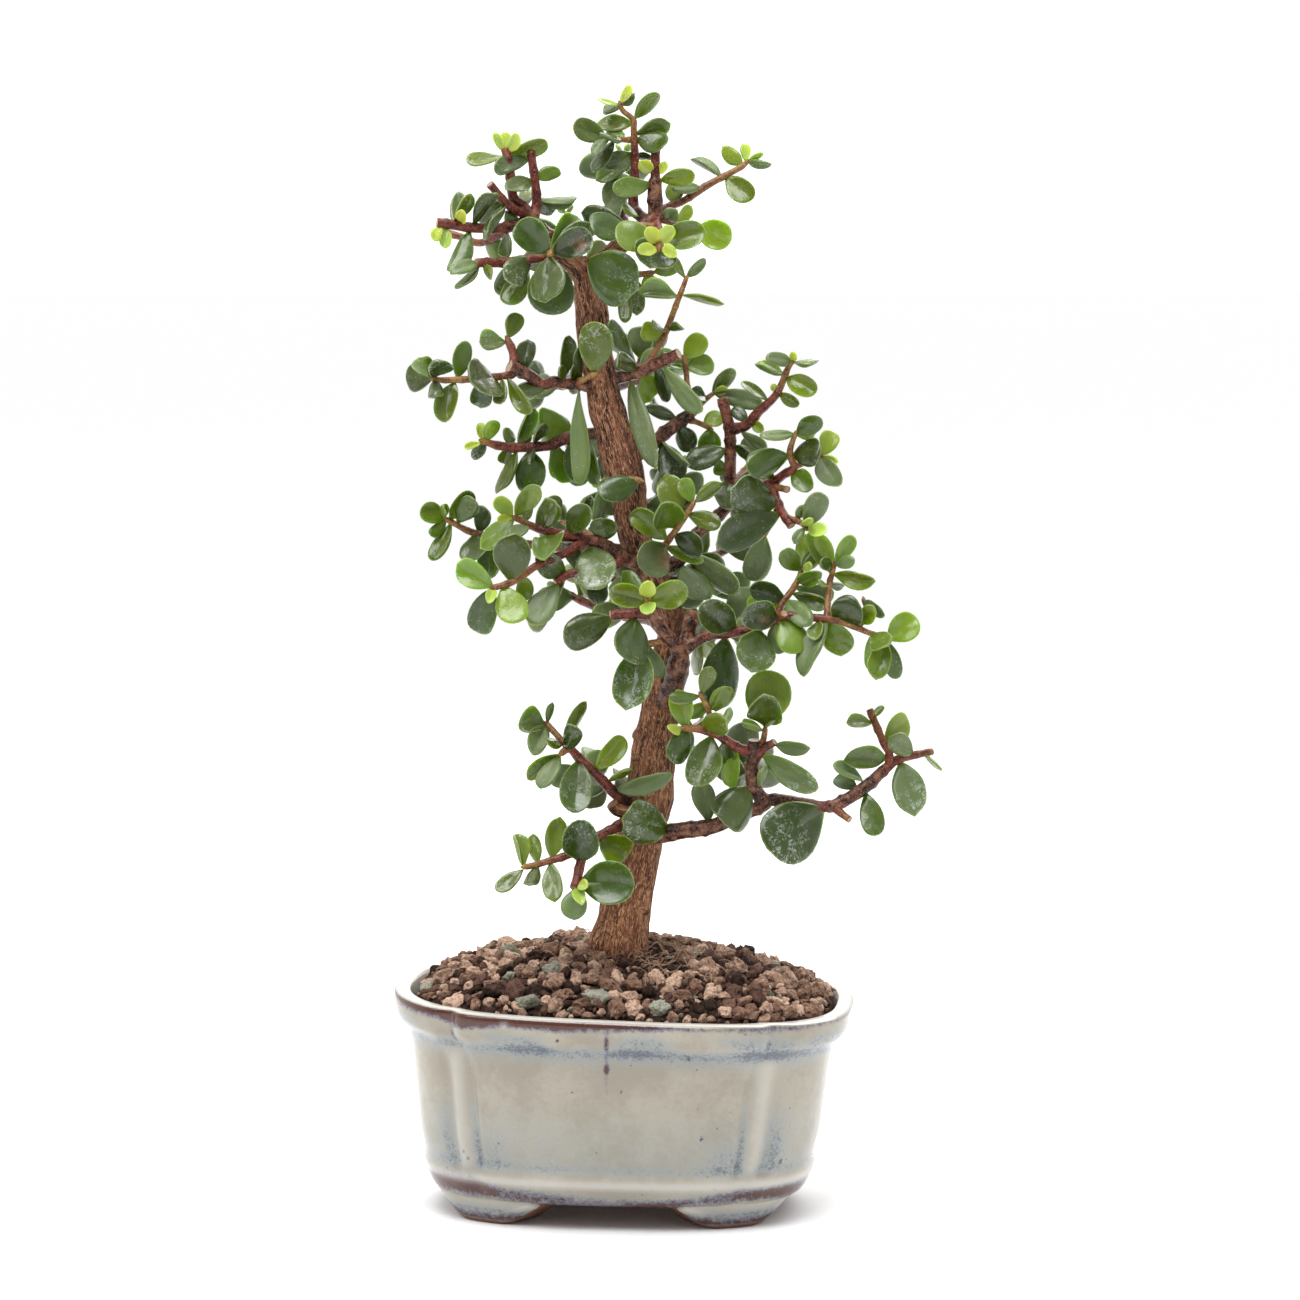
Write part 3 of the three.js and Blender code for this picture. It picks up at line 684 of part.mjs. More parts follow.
// ---------------------------------------------------------------- leaves that stay clear of each other
// Does the line from p to q pass through the leaf's slab, of this half height, its outline grown by `out`?
function crosses(leaf, p, q, halfHeight, out, from) {
  const local = (point) => {
    const d = sub(point, leaf.base);
    return [dot(d, leaf.axis), dot(d, leaf.side), dot(d, leaf.normal)];
  };
  const [a, b] = [local(p), local(q)];
  const tests = [
    [a[2] - halfHeight, b[2] - halfHeight],
    [-a[2] - halfHeight, -b[2] - halfHeight],
    [from * leaf.length - out - a[0], from * leaf.length - out - b[0]],
    [a[0] - leaf.length - out, b[0] - leaf.length - out],
  ];
  const half = halfOutline(leaf);
  for (let i = 1; i < half.length; i++) {
    const [[x0, y0], [x1, y1]] = [half[i - 1], half[i]];
    const size = Math.hypot(x1 - x0, y1 - y0);
    const [nx, ny] = [(y0 - y1) / size, (x1 - x0) / size];
    const limit = nx * x0 + ny * y0 + out;
    tests.push([nx * a[0] + ny * a[1] - limit, nx * b[0] + ny * b[1] - limit]);
    tests.push([nx * a[0] - ny * a[1] - limit, nx * b[0] - ny * b[1] - limit]);
  }
  let [t0, t1] = [0, 1];
  for (const [fa, fb] of tests) {
    if (fa > 0 && fb > 0) return false;
    if (fa > 0) t0 = Math.max(t0, fa / (fa - fb));
    else if (fb > 0) t1 = Math.min(t1, fa / (fa - fb));
    if (t0 > t1) return false;
  }
  return true;
}

const middleOf = (leaf) => pointOn(leaf, leaf.length / 2, 0, 0);

// Two leaves of one spray may touch near their roots; leaves of two sprays keep a gap all along.
function leavesMeet(a, b) {
  const reach = (a.length + b.length) / 2 + 3;
  const d = sub(middleOf(a), middleOf(b));
  if (dot(d, d) > reach * reach) return false;
  const same = a.node === b.node;
  const from = same ? 0.4 : 0;
  const thick = (LEAF_AGE[a.age].thickness + LEAF_AGE[b.age].thickness) / 2;
  const halfHeight = same ? 0.3 : thick * 0.8 + GAP;
  for (const [one, two] of [[a, b], [b, a]]) {
    const rim = outlineOf(one).filter(([s]) => s >= from * one.length);
    const edges = rim.map((p, i) => [p, rim[(i + 1) % rim.length]]);
    edges.push([[from * one.length, 0], [one.length, 0]]);
    for (const [p, q] of edges) {
      const [start, end] = [pointOn(one, p[0], p[1], 0), pointOn(one, q[0], q[1], 0)];
      if (crosses(two, start, end, halfHeight, same ? 0 : GAP, from)) return true;
    }
  }
  return false;
}

function leafMeetsWood(leaf, wood) {
  for (let i = 1; i < wood.length; i++) {
    const radius = Math.max(wood[i - 1].radius, wood[i].radius);
    const reach = LEAF_AGE[leaf.age].thickness / 2 + radius + GAP;
    if (crosses(leaf, wood[i - 1].at, wood[i].at, reach, radius + GAP, 0)) return true;
  }
  return false;
}

// All the leaves of the tree. A leaf that would cross another spray or the trunk is bent back or forward,
// then shortened, until it is clear, and left out where nothing is.
function placeLeaves() {
  const woodIn = (node, paths) => paths.map((path) => ({ node, path: woodOf(path) }));
  const wood = SPRAYS.flatMap((spray) => woodIn(spray.name, spray.stems));
  wood.push(...woodIn("trunk", [TRUNK_PATH, ...TRUNK_STUBS]));
  const placed = [];
  const tryLeaf = (make) => {
    for (const share of LENGTH_TRIES) {
      for (const bend of DEPTH_TRIES) {
        const leaf = make(bend, share);
        const clear = wood.every((w) => w.node === leaf.node || !leafMeetsWood(leaf, w.path));
        if (clear && placed.every((other) => !leavesMeet(leaf, other))) {
          placed.push(leaf);
          return;
        }
      }
    }
  };
  for (const spray of SPRAYS) {
    for (const row of spray.leaves) tryLeaf((bend, share) => leafBetween(spray.name, row, bend, share));
  }
  const draw = drawsFrom(7);
  for (const spray of SPRAYS) {
    for (const [stem, leafLength, start] of spray.grown ?? []) {
      for (const leaf of grownLeaves(spray.name, spray.stems[stem], leafLength, start, draw)) {
        const age = draw() < 0.6 ? "d" : "m";
        tryLeaf((bend, share) => {
          const tip = mix(leaf.base, add(leaf.tip, AWAY, bend * 0.7), share);
          const root = rootOn(leaf.node, leaf.base, tip);
          return leafOf(leaf.node, root, tip, leaf.width * share, leaf.facing, 0, age);
        });
      }
    }
  }
  return placed;
}

// ---------------------------------------------------------------- geometry
function geometryFrom(points, faces) {
  const geometry = new THREE.BufferGeometry();
  geometry.setAttribute("position", new THREE.Float32BufferAttribute(points.flat(), 3));
  geometry.setIndex(faces.flat());
  return geometry;
}

// Rings of equal size, joined side by side; each end closes on the middle of its ring.
function loft(rings) {
  const count = rings[0].length;
  const points = rings.flat();
  const faces = [];
  for (let r = 1; r < rings.length; r++) {
    for (let i = 0; i < count; i++) {
      const j = (i + 1) % count;
      const [low, high] = [(r - 1) * count, r * count];
      faces.push([low + i, low + j, high + j], [low + i, high + j, high + i]);
    }
  }
  for (const [ring, first, turn] of [[rings[0], 0, true], [rings.at(-1), points.length - count, false]]) {
    const centre = points.push(scale(ring.reduce((sum, p) => add(sum, p), [0, 0, 0]), 1 / count)) - 1;
    for (let i = 0; i < count; i++) {
      const [a, b] = [first + i, first + ((i + 1) % count)];
      faces.push(turn ? [centre, b, a] : [centre, a, b]);
    }
  }
  return geometryFrom(points, faces);
}

// A tapering tube along wood points. `ridge` gives the radius's factor at a ring and an angle.
function tube(wood, sides, grow = 0, ridge = () => 1) {
  const frames = framesOf(wood);
  const rings = wood.map(({ at, radius }, i) => {
    return Array.from({ length: sides }, (_, k) => {
      const angle = (k / sides) * 2 * Math.PI;
      const reach = radius * ridge(i, angle) + grow;
      const sideways = add(at, frames[i].across, Math.cos(angle) * reach);
      return add(sideways, frames[i].other, Math.sin(angle) * reach);
    });
  });
  return loft(rings);
}

function leafGeometry(leaf) {
  const { thickness, curl, belly } = LEAF_AGE[leaf.age];
  const rim = outlineOf(leaf).map(([a, b]) => {
    const share = a / leaf.length;
    return pointOn(leaf, a, b, curl * leaf.length * share * share);
  });
  const bulge = curl * leaf.length * LEAF_BELLY * LEAF_BELLY + belly * thickness;
  const faces = rim.map((_, i) => [rim.length, i, (i + 1) % rim.length]);
  for (let i = 2; i < rim.length; i++) faces.push([1, (i + 1) % rim.length, i]);
  return geometryFrom([...rim, pointOn(leaf, LEAF_BELLY * leaf.length, 0, bulge)], faces);
}

// ---------------------------------------------------------------- solids
function solidOf(geometry) {
  const position = geometry.getAttribute("position");
  const mesh = new wasm.Mesh({
    numProp: 3,
    vertProperties: new Float32Array(position.array),
    triVerts: new Uint32Array(geometry.index.array),
  });
  const solid = new wasm.Manifold(mesh);
  if (solid.volume() > 0) return solid;
  const turned = new Uint32Array(geometry.index.array);
  for (let i = 0; i < turned.length; i += 3) [turned[i + 1], turned[i + 2]] = [turned[i + 2], turned[i + 1]];
  return new wasm.Manifold(
    new wasm.Mesh({ numProp: 3, vertProperties: new Float32Array(position.array), triVerts: turned }),
  );
}

const joined = (solids) => solids.reduce((sum, solid) => sum.add(solid));
const larger = (a, b) => (b.volume() > a.volume() ? b : a);
const largestBody = (solid) => solid.decompose().reduce(larger);

function meshOf(name, solid, material) {
  const { vertProperties, triVerts, numProp, numVert } = solid.getMesh();
  const positions = new Float32Array(numVert * 3);
  for (let i = 0; i < numVert; i++) {
    positions.set(vertProperties.subarray(i * numProp, i * numProp + 3), i * 3);
  }
  const geometry = new THREE.BufferGeometry();
  geometry.setAttribute("position", new THREE.BufferAttribute(positions, 3));
  geometry.setIndex(new THREE.BufferAttribute(triVerts, 1));
  geometry.computeVertexNormals();
  const mesh = new THREE.Mesh(geometry, material);
  mesh.name = name;
  return mesh;
}

// ---------------------------------------------------------------- the pot
// The directions of a ring's points in a quarter, in degrees from the long axis: closest at the seam between
// a corner's lobe and the long side's panel.
const QUARTER = [0, 15, 28, 36.5, 41, 44.5, 51, 69];
const AROUND = QUARTER.length * 4;
const SEAM = 41;

// A ring's point number i: its direction, and how many degrees that is from the long axis.
function directionOf(i) {
  const quarter = Math.floor(i / QUARTER.length);
  const step = i % QUARTER.length;
  const fromAxis = quarter % 2 ? (QUARTER[QUARTER.length - step] ?? 90) : QUARTER[step];
  const degrees = quarter % 2 ? 90 * (quarter + 1) - fromAxis : 90 * quarter + fromAxis;
  const angle = THREE.MathUtils.degToRad(degrees);
  return { c: Math.cos(angle), s: Math.sin(angle), fromAxis };
}

// How far the plan of this half length reaches in the direction (c, s).
function planReach(halfLength, c, s) {
  const along = Math.abs(c / halfLength) ** CORNER_POWER;
  const deep = Math.abs(s / (halfLength - POT_LENGTH_OVER_DEPTH)) ** CORNER_POWER;
  return (along + deep) ** (-1 / CORNER_POWER);
}

const bell = (x, middle, width) => Math.exp(-(((x - middle) / width) ** 2));
// How much the plan is cut back at the seam: by the notch of the lip, and by the two furrows beside the
// wall's ridge.
function seamCut(fromAxis, notch, furrow) {
  const furrows = 0.8 * bell(fromAxis, SEAM - 4, 2.2) + bell(fromAxis, SEAM + 3.5, 1.5);
  const ridge = 0.3 * bell(fromAxis, SEAM, 1.8);
  return notch * bell(fromAxis, SEAM + 1, 3) + furrow * (furrows - ridge);
}

// A point of the upright pot, moved as the hand-made pot leans and slopes.
const leaned = ([x, y, z]) => [x + POT_LEAN * (z - POT_HEIGHT), y, z + RIM_SLOPE * x * (z / POT_HEIGHT)];

// A ring of the pot's plan: a superellipse with a seam near each corner.
function potRing(halfLength, z, notch, furrow) {
  return Array.from({ length: AROUND }, (_, i) => {
    const { c, s, fromAxis } = directionOf(i);
    const reach = planReach(halfLength, c, s) - seamCut(fromAxis, notch, furrow);
    return leaned([reach * c, reach * s, z]);
  });
}

// Half length, height, notch and furrow, up the outside, over the rim and down the inside.
const POT_PROFILE = [
  [50, FOOT_HEIGHT + 1, 0, 0],
  [61, FOOT_HEIGHT, 0.6, 0],
  [64.6, 13.5, 1, 0],
  [65.9, 17.5, 0.6, 0.3],
  [65.8, 21, 0, 1.1],
  [67.6, 30, 0, 1.3],
  [70.2, 52, 0.3, 1.2],
  [72.2, 60, 1.2, 0],
  [75.4, 63.8, 1.5, 0],
  [POT_HALF_LENGTH, 66.8, 1.6, 0],
  [POT_HALF_LENGTH, 71, 1.6, 0],
  [75.2, POT_HEIGHT, 1.4, 0],
  [70.4, POT_HEIGHT, 0.8, 0],
  [66, 58, 0, 0],
  [57, FLOOR_TOP, 0, 0],
];

// A bracket foot under one corner, cut from a ring of the plan.
function footSolid(signX, signY) {
  const [from, to] = [0.32, 1.02];
  const sections = Array.from({ length: 7 }, (_, k) => {
    const angle = from + ((to - from) * k) / 6;
    const share = Math.min(k, 6 - k) / 2;
    const low = FOOT_HEIGHT * (1 - Math.min(1, 0.25 + share));
    const top = FOOT_HEIGHT + 1.5;
    const [c, s] = [Math.cos(angle) * signX, Math.sin(angle) * signY];
    return [[61.6, top], [57.8, low], [48, low], [44, top]].map(([halfLength, z]) => {
      const reach = planReach(halfLength, c, s);
      return [reach * c + POT_LEAN * (z - POT_HEIGHT), reach * s, z];
    });
  });
  return solidOf(loft(sections));
}

const FLOOR_SHIFT = POT_LEAN * (FLOOR_TOP - POT_HEIGHT); // the floor's middle, by the wall's lean

function drainHole(x) {
  const hole = new THREE.CylinderGeometry(DRAIN_HOLE_RADIUS, DRAIN_HOLE_RADIUS, 2 * FLOOR_TOP, 16);
  hole.rotateX(Math.PI / 2);
  hole.translate(x + FLOOR_SHIFT, 0, FLOOR_TOP);
  return solidOf(mergedPositions(hole));
}

// The same closed surface with the vertices that share a place joined.
function mergedPositions(geometry) {
  const bare = new THREE.BufferGeometry().setAttribute("position", geometry.getAttribute("position"));
  bare.setIndex(geometry.index);
  return mergeVertices(bare, 1e-3);
}

function potSolid() {
  const shell = solidOf(loft(POT_PROFILE.map((row) => potRing(...row))));
  const feet = [[1, 1], [1, -1], [-1, 1], [-1, -1]].map(([x, y]) => footSolid(x, y));
  return joined([shell, ...feet]).subtract(drainHole(DRAIN_HOLE_X)).subtract(drainHole(-DRAIN_HOLE_X));
}

// ---------------------------------------------------------------- drain meshes, soil, trunk
const MESH_THICKNESS = 0.9;

// A square of mesh over a drain hole: a thin plate with two rows of two openings.
function drainMesh(x) {
  const block = (side, thickness, cx, cy) => {
    const box = new THREE.BoxGeometry(side, side, thickness);
    box.translate(x + FLOOR_SHIFT + cx, cy, FLOOR_TOP + GAP + MESH_THICKNESS / 2);
    return solidOf(mergedPositions(box));
  };
  const pitch = MESH_SIDE / 5;
  let plate = block(MESH_SIDE, MESH_THICKNESS, 0, 0);
  for (const i of [-1, 1]) {
    for (const j of [-1, 1]) {
      plate = plate.subtract(block(pitch * 1.5, 2 * MESH_THICKNESS, i * pitch, j * pitch));
    }
  }
  return plate;
}

// The heap's height at a share of the way from its middle to the pot's wall.
function heapHeight(share) {
  return SOIL_EDGE + (SOIL_TOP - SOIL_EDGE) * (1 - share ** 1.25) ** 0.62;
}

function soilSolid(trunkHole) {
  const draw = drawsFrom(21);
  const bottom = FLOOR_TOP + GAP + MESH_THICKNESS + GAP;
  const wall = (halfLength, z) => potRing(halfLength - GAP - 0.3, z, 0.8, 0);
  const edge = wall(69, SOIL_EDGE - 0.8);
  const rings = [wall(55, bottom), wall(58.9, 23), wall(63.4, 50), edge];
  for (const share of [0.94, 0.8, 0.62, 0.44, 0.28, 0.14]) {
    rings.push(edge.map(([x, y, z]) => {
      const bump = (draw() - 0.5) * 2.6;
      const slope = (z - SOIL_EDGE) * share;
      return [x * share, y * share, heapHeight(share) + slope + bump];
    }));
  }
  const heap = solidOf(loft(rings));
  const grains = [];
  for (let k = 0; k < GRAIN_COUNT; k++) {
    const share = 0.16 + 0.76 * Math.sqrt(draw());
    const [x, y] = edge[Math.floor(draw() * AROUND)];
    const radius = 2.2 + 2 * draw();
    const grain = new THREE.OctahedronGeometry(radius);
    grain.scale(1 + 0.4 * draw(), 1, 0.75);
    grain.rotateZ(draw() * Math.PI);
    grain.rotateX(draw() * 0.8);
    grain.translate(x * share, y * share, heapHeight(share) + radius * 0.15);
    grains.push(solidOf(mergedPositions(grain)));
  }
  return largestBody(joined([heap, ...grains]).subtract(trunkHole));
}

// Ridges of the bark: three flutes that turn slowly up the trunk and fade out towards the fork.
const flutes = (ring, angle) => 1 + 0.06 * Math.cos(3 * angle + ring * 0.5) * Math.max(0.2, 1 - ring / 14);
const TRUNK_SIDES = 8;
const STUB_SIDES = 5;

function trunkSolid(grow = 0) {
  const trunk = solidOf(tube(woodOf(TRUNK_PATH), TRUNK_SIDES, grow, flutes));
  return joined([trunk, ...TRUNK_STUBS.map((path) => solidOf(tube(woodOf(path), STUB_SIDES, grow)))]);
}

// ---------------------------------------------------------------- sprays
const stemSolid = (path, grow) => solidOf(tube(woodOf(path), sidesOf(path), grow));
const stemsSolid = (spray, grow = 0) => joined(spray.stems.map((path) => stemSolid(path, grow)));

function spraySolid(spray, leaves) {
  const blades = leaves.filter((leaf) => leaf.node === spray.name).map((leaf) => solidOf(leafGeometry(leaf)));
  let solid = joined([stemsSolid(spray), ...blades]);
  for (const other of spray.cutBy) {
    const neighbour = SPRAYS.find(({ name }) => name === other);
    solid = solid.subtract(neighbour ? stemsSolid(neighbour, GAP) : trunkSolid(GAP));
  }
  return largestBody(solid);
}

// ---------------------------------------------------------------- the whole
const glaze = new THREE.MeshStandardMaterial({ color: 0xd8d2c2, roughness: 0.22, metalness: 0 });
const earth = new THREE.MeshStandardMaterial({ color: 0x6b5040, roughness: 0.95, metalness: 0 });
const bark = new THREE.MeshStandardMaterial({ color: 0x6e4a36, roughness: 0.85, metalness: 0 });
const foliage = new THREE.MeshStandardMaterial({ color: 0x4f7a34, roughness: 0.4, metalness: 0 });
const plasticMesh = new THREE.MeshStandardMaterial({ color: 0x2b2b2b, roughness: 0.6, metalness: 0 });

const bonsai = new THREE.Group();
bonsai.add(meshOf("pot", potSolid(), glaze));
bonsai.add(meshOf("drain_mesh_left", drainMesh(-DRAIN_HOLE_X), plasticMesh));
bonsai.add(meshOf("drain_mesh_right", drainMesh(DRAIN_HOLE_X), plasticMesh));
bonsai.add(meshOf("soil", soilSolid(trunkSolid(GAP)), earth));
bonsai.add(meshOf("trunk", trunkSolid(), bark));
const leaves = placeLeaves();
for (const spray of SPRAYS) bonsai.add(meshOf(spray.name, spraySolid(spray, leaves), foliage));

// The part's origin is the middle of the underside of its box.
const box = new THREE.Box3().setFromObject(bonsai);
bonsai.position.set(-(box.min.x + box.max.x) / 2, -(box.min.y + box.max.y) / 2, -box.min.z);

export default bonsai;
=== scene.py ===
"""The dwarf jade bonsai's looks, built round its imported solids: the finer wood, leaves, soil and glazed pot.

Lengths are in millimetres in the part's own layout, and become metres in the frame at the last step, in
to_frame. The layout's x, y and z run to the right, away and up from the pot's middle. A place on the tree
is given as u to the right, v up and w away, seen by an eye in front of the pot, and from_front turns it
into x, y and z.
"""
import math
import random
from collections import namedtuple

import bmesh
import bpy
import numpy as np
from mathutils import Matrix, Vector, noise


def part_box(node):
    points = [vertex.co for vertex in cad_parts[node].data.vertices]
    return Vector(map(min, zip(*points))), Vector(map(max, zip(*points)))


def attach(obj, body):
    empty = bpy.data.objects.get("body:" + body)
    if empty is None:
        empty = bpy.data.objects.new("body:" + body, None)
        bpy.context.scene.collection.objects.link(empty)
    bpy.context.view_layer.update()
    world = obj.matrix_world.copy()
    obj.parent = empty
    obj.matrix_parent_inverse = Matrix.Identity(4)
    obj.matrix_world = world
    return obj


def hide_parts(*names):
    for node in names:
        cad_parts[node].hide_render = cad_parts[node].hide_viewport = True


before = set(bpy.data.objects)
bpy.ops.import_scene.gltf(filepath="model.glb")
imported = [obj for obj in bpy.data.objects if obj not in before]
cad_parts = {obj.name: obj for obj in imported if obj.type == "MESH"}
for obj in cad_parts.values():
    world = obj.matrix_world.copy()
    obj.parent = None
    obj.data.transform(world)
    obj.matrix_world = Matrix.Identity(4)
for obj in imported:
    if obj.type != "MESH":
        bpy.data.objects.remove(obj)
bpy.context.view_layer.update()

# ---------------------------------------------------------------- driving dimensions, as in the part's source
POT_HALF_LENGTH = 76.5
POT_LENGTH_OVER_DEPTH = 19
POT_HEIGHT = 72
RIM_SLOPE = -0.028
POT_LEAN = 0.028
FOOT_HEIGHT = 8.3
FLOOR_TOP = 15
CORNER_POWER = 2.9
SEAM = 41  # degrees from the long axis, where lobe and panel meet
DRAIN_HOLE_X = 32
DRAIN_HOLE_RADIUS = 6.5
GAP = 0.3  # kept between leaves and wood of two nodes

EYE_DISTANCE = 1390
EYE_TILT = math.radians(5.5)
TREE_TURN = math.radians(5.5)
LOOK_AT_HEIGHT = 187.3
POT_CENTRE_U = -8.3
FRONT_FREE = 4  # places nearer to the eye than this are drawn out towards it
FRONT_SPREAD = 1.4

SOIL_TOP = 90.8
SOIL_EDGE = 69.3

ROOT_SINK = 0.43  # how far a leaf's base goes into its stem
BROAD_LEAF = 9  # width from which a leaf has one more station
# stations of the solid leaf's outline, from base to tip: shares of its length and of its width
BROAD_STATIONS = [[0.22, 0.56], [0.58, 1], [0.97, 0.44]]
SMALL_STATIONS = [[0.42, 0.97], [0.96, 0.46]]
# a leaf's thickness and curl, and the side that its belly is on, by age: dark, middle, bright, young, grey
LEAF_AGE = {
    "d": (2.0, 0.05, -1),
    "m": (1.9, 0.07, -1),
    "b": (1.7, 0.04, -1),
    "y": (1.4, 0.1, -1),
    "g": (1.9, -0.06, 1),
}
PAIR_SPACING = 12.5
# how far a leaf's tip is moved away and how much of its length is kept, until it is clear of the others
DEPTH_TRIES = [0, 3, -3, 6, -6, 9, -9, 13, -13]
LENGTH_TRIES = [1, 0.88, 0.76]
THICK_STEM = 4.5  # width from which a solid stem has five sides

FILM_WIDTH = 433.33  # what the picture's width covers at the eye's distance
SENSOR = 36

# ---------------------------------------------------------------- the tree's rows, as in the part's source
# The trunk: rows of u, v, w and its width there, from the root in the soil up to the fork.
TRUNK_PATH = [
  [-10.2, -118, 0, 12],
  [-10, -106, 0, 21],
  [-10, -98, 0, 19.6],
  [-8.7, -90, 0, 17.5],
  [-6.1, -75, 0, 16.5],
  [-3, -60, 0, 16],
  [-0.3, -50, 0, 15.8],
  [0.1, -42, 0, 15.2],
  [1, -34, 0, 14.8],
  [2.2, -24, 0, 12.6],
  [3.5, -13, 0, 10.6],
  [5, -5, 0, 9.2],
  [6.8, 3, 1, 8.6],
  [7, 9, 1, 8.6],
  [5.5, 16, 1, 9],
  [0.5, 25.5, 1, 10.2],
  [-3, 32, 1, 10.8],
  [-5.8, 40, 1, 10.7],
  [-6.9, 50, 0, 12],
  [-8.9, 60, 0, 12.8],
  [-11.5, 70, 0, 12.4],
  [-14.3, 80, -1, 11.8],
  [-16.5, 90, -1, 10.2],
  [-18.3, 100, -1, 10.6],
  [-19.4, 112, 0, 11],
  [-20.5, 121, 0, 10.4],
  [-21.3, 128, 0, 8],
]
# Shorter wood that is one with the trunk: the arms of the fork, knots and old cut stubs.
TRUNK_STUBS = [
  [[-20.8, 122, 0, 8.6], [-24, 128, -1, 7.6], [-29.5, 132, -2, 7], [-33.5, 137, -3, 6.4]],
  [[-20.8, 122, 0, 8.2], [-18, 128, 1, 7.2], [-13.5, 131.5, 1, 6.6], [-6.5, 138, 1, 6.2],
    [-2.5, 141, 0, 6]],
  [[2, -26, -1, 8], [-3.4, -28.4, -3, 5.6], [-4.7, -29, -4, 3.6]],
  [[0, -54, -4, 6.4], [-10, -53.6, -6, 4.6], [-12.8, -51.2, -7, 4]],
  [[-8.5, -88, -4, 8], [-2.4, -86, -4, 6], [-0.9, -85, -4, 4]],
  [[1, -36, -3, 8], [-4.3, -37, -4, 5.2], [-5.7, -37.4, -4, 3.4]],
]

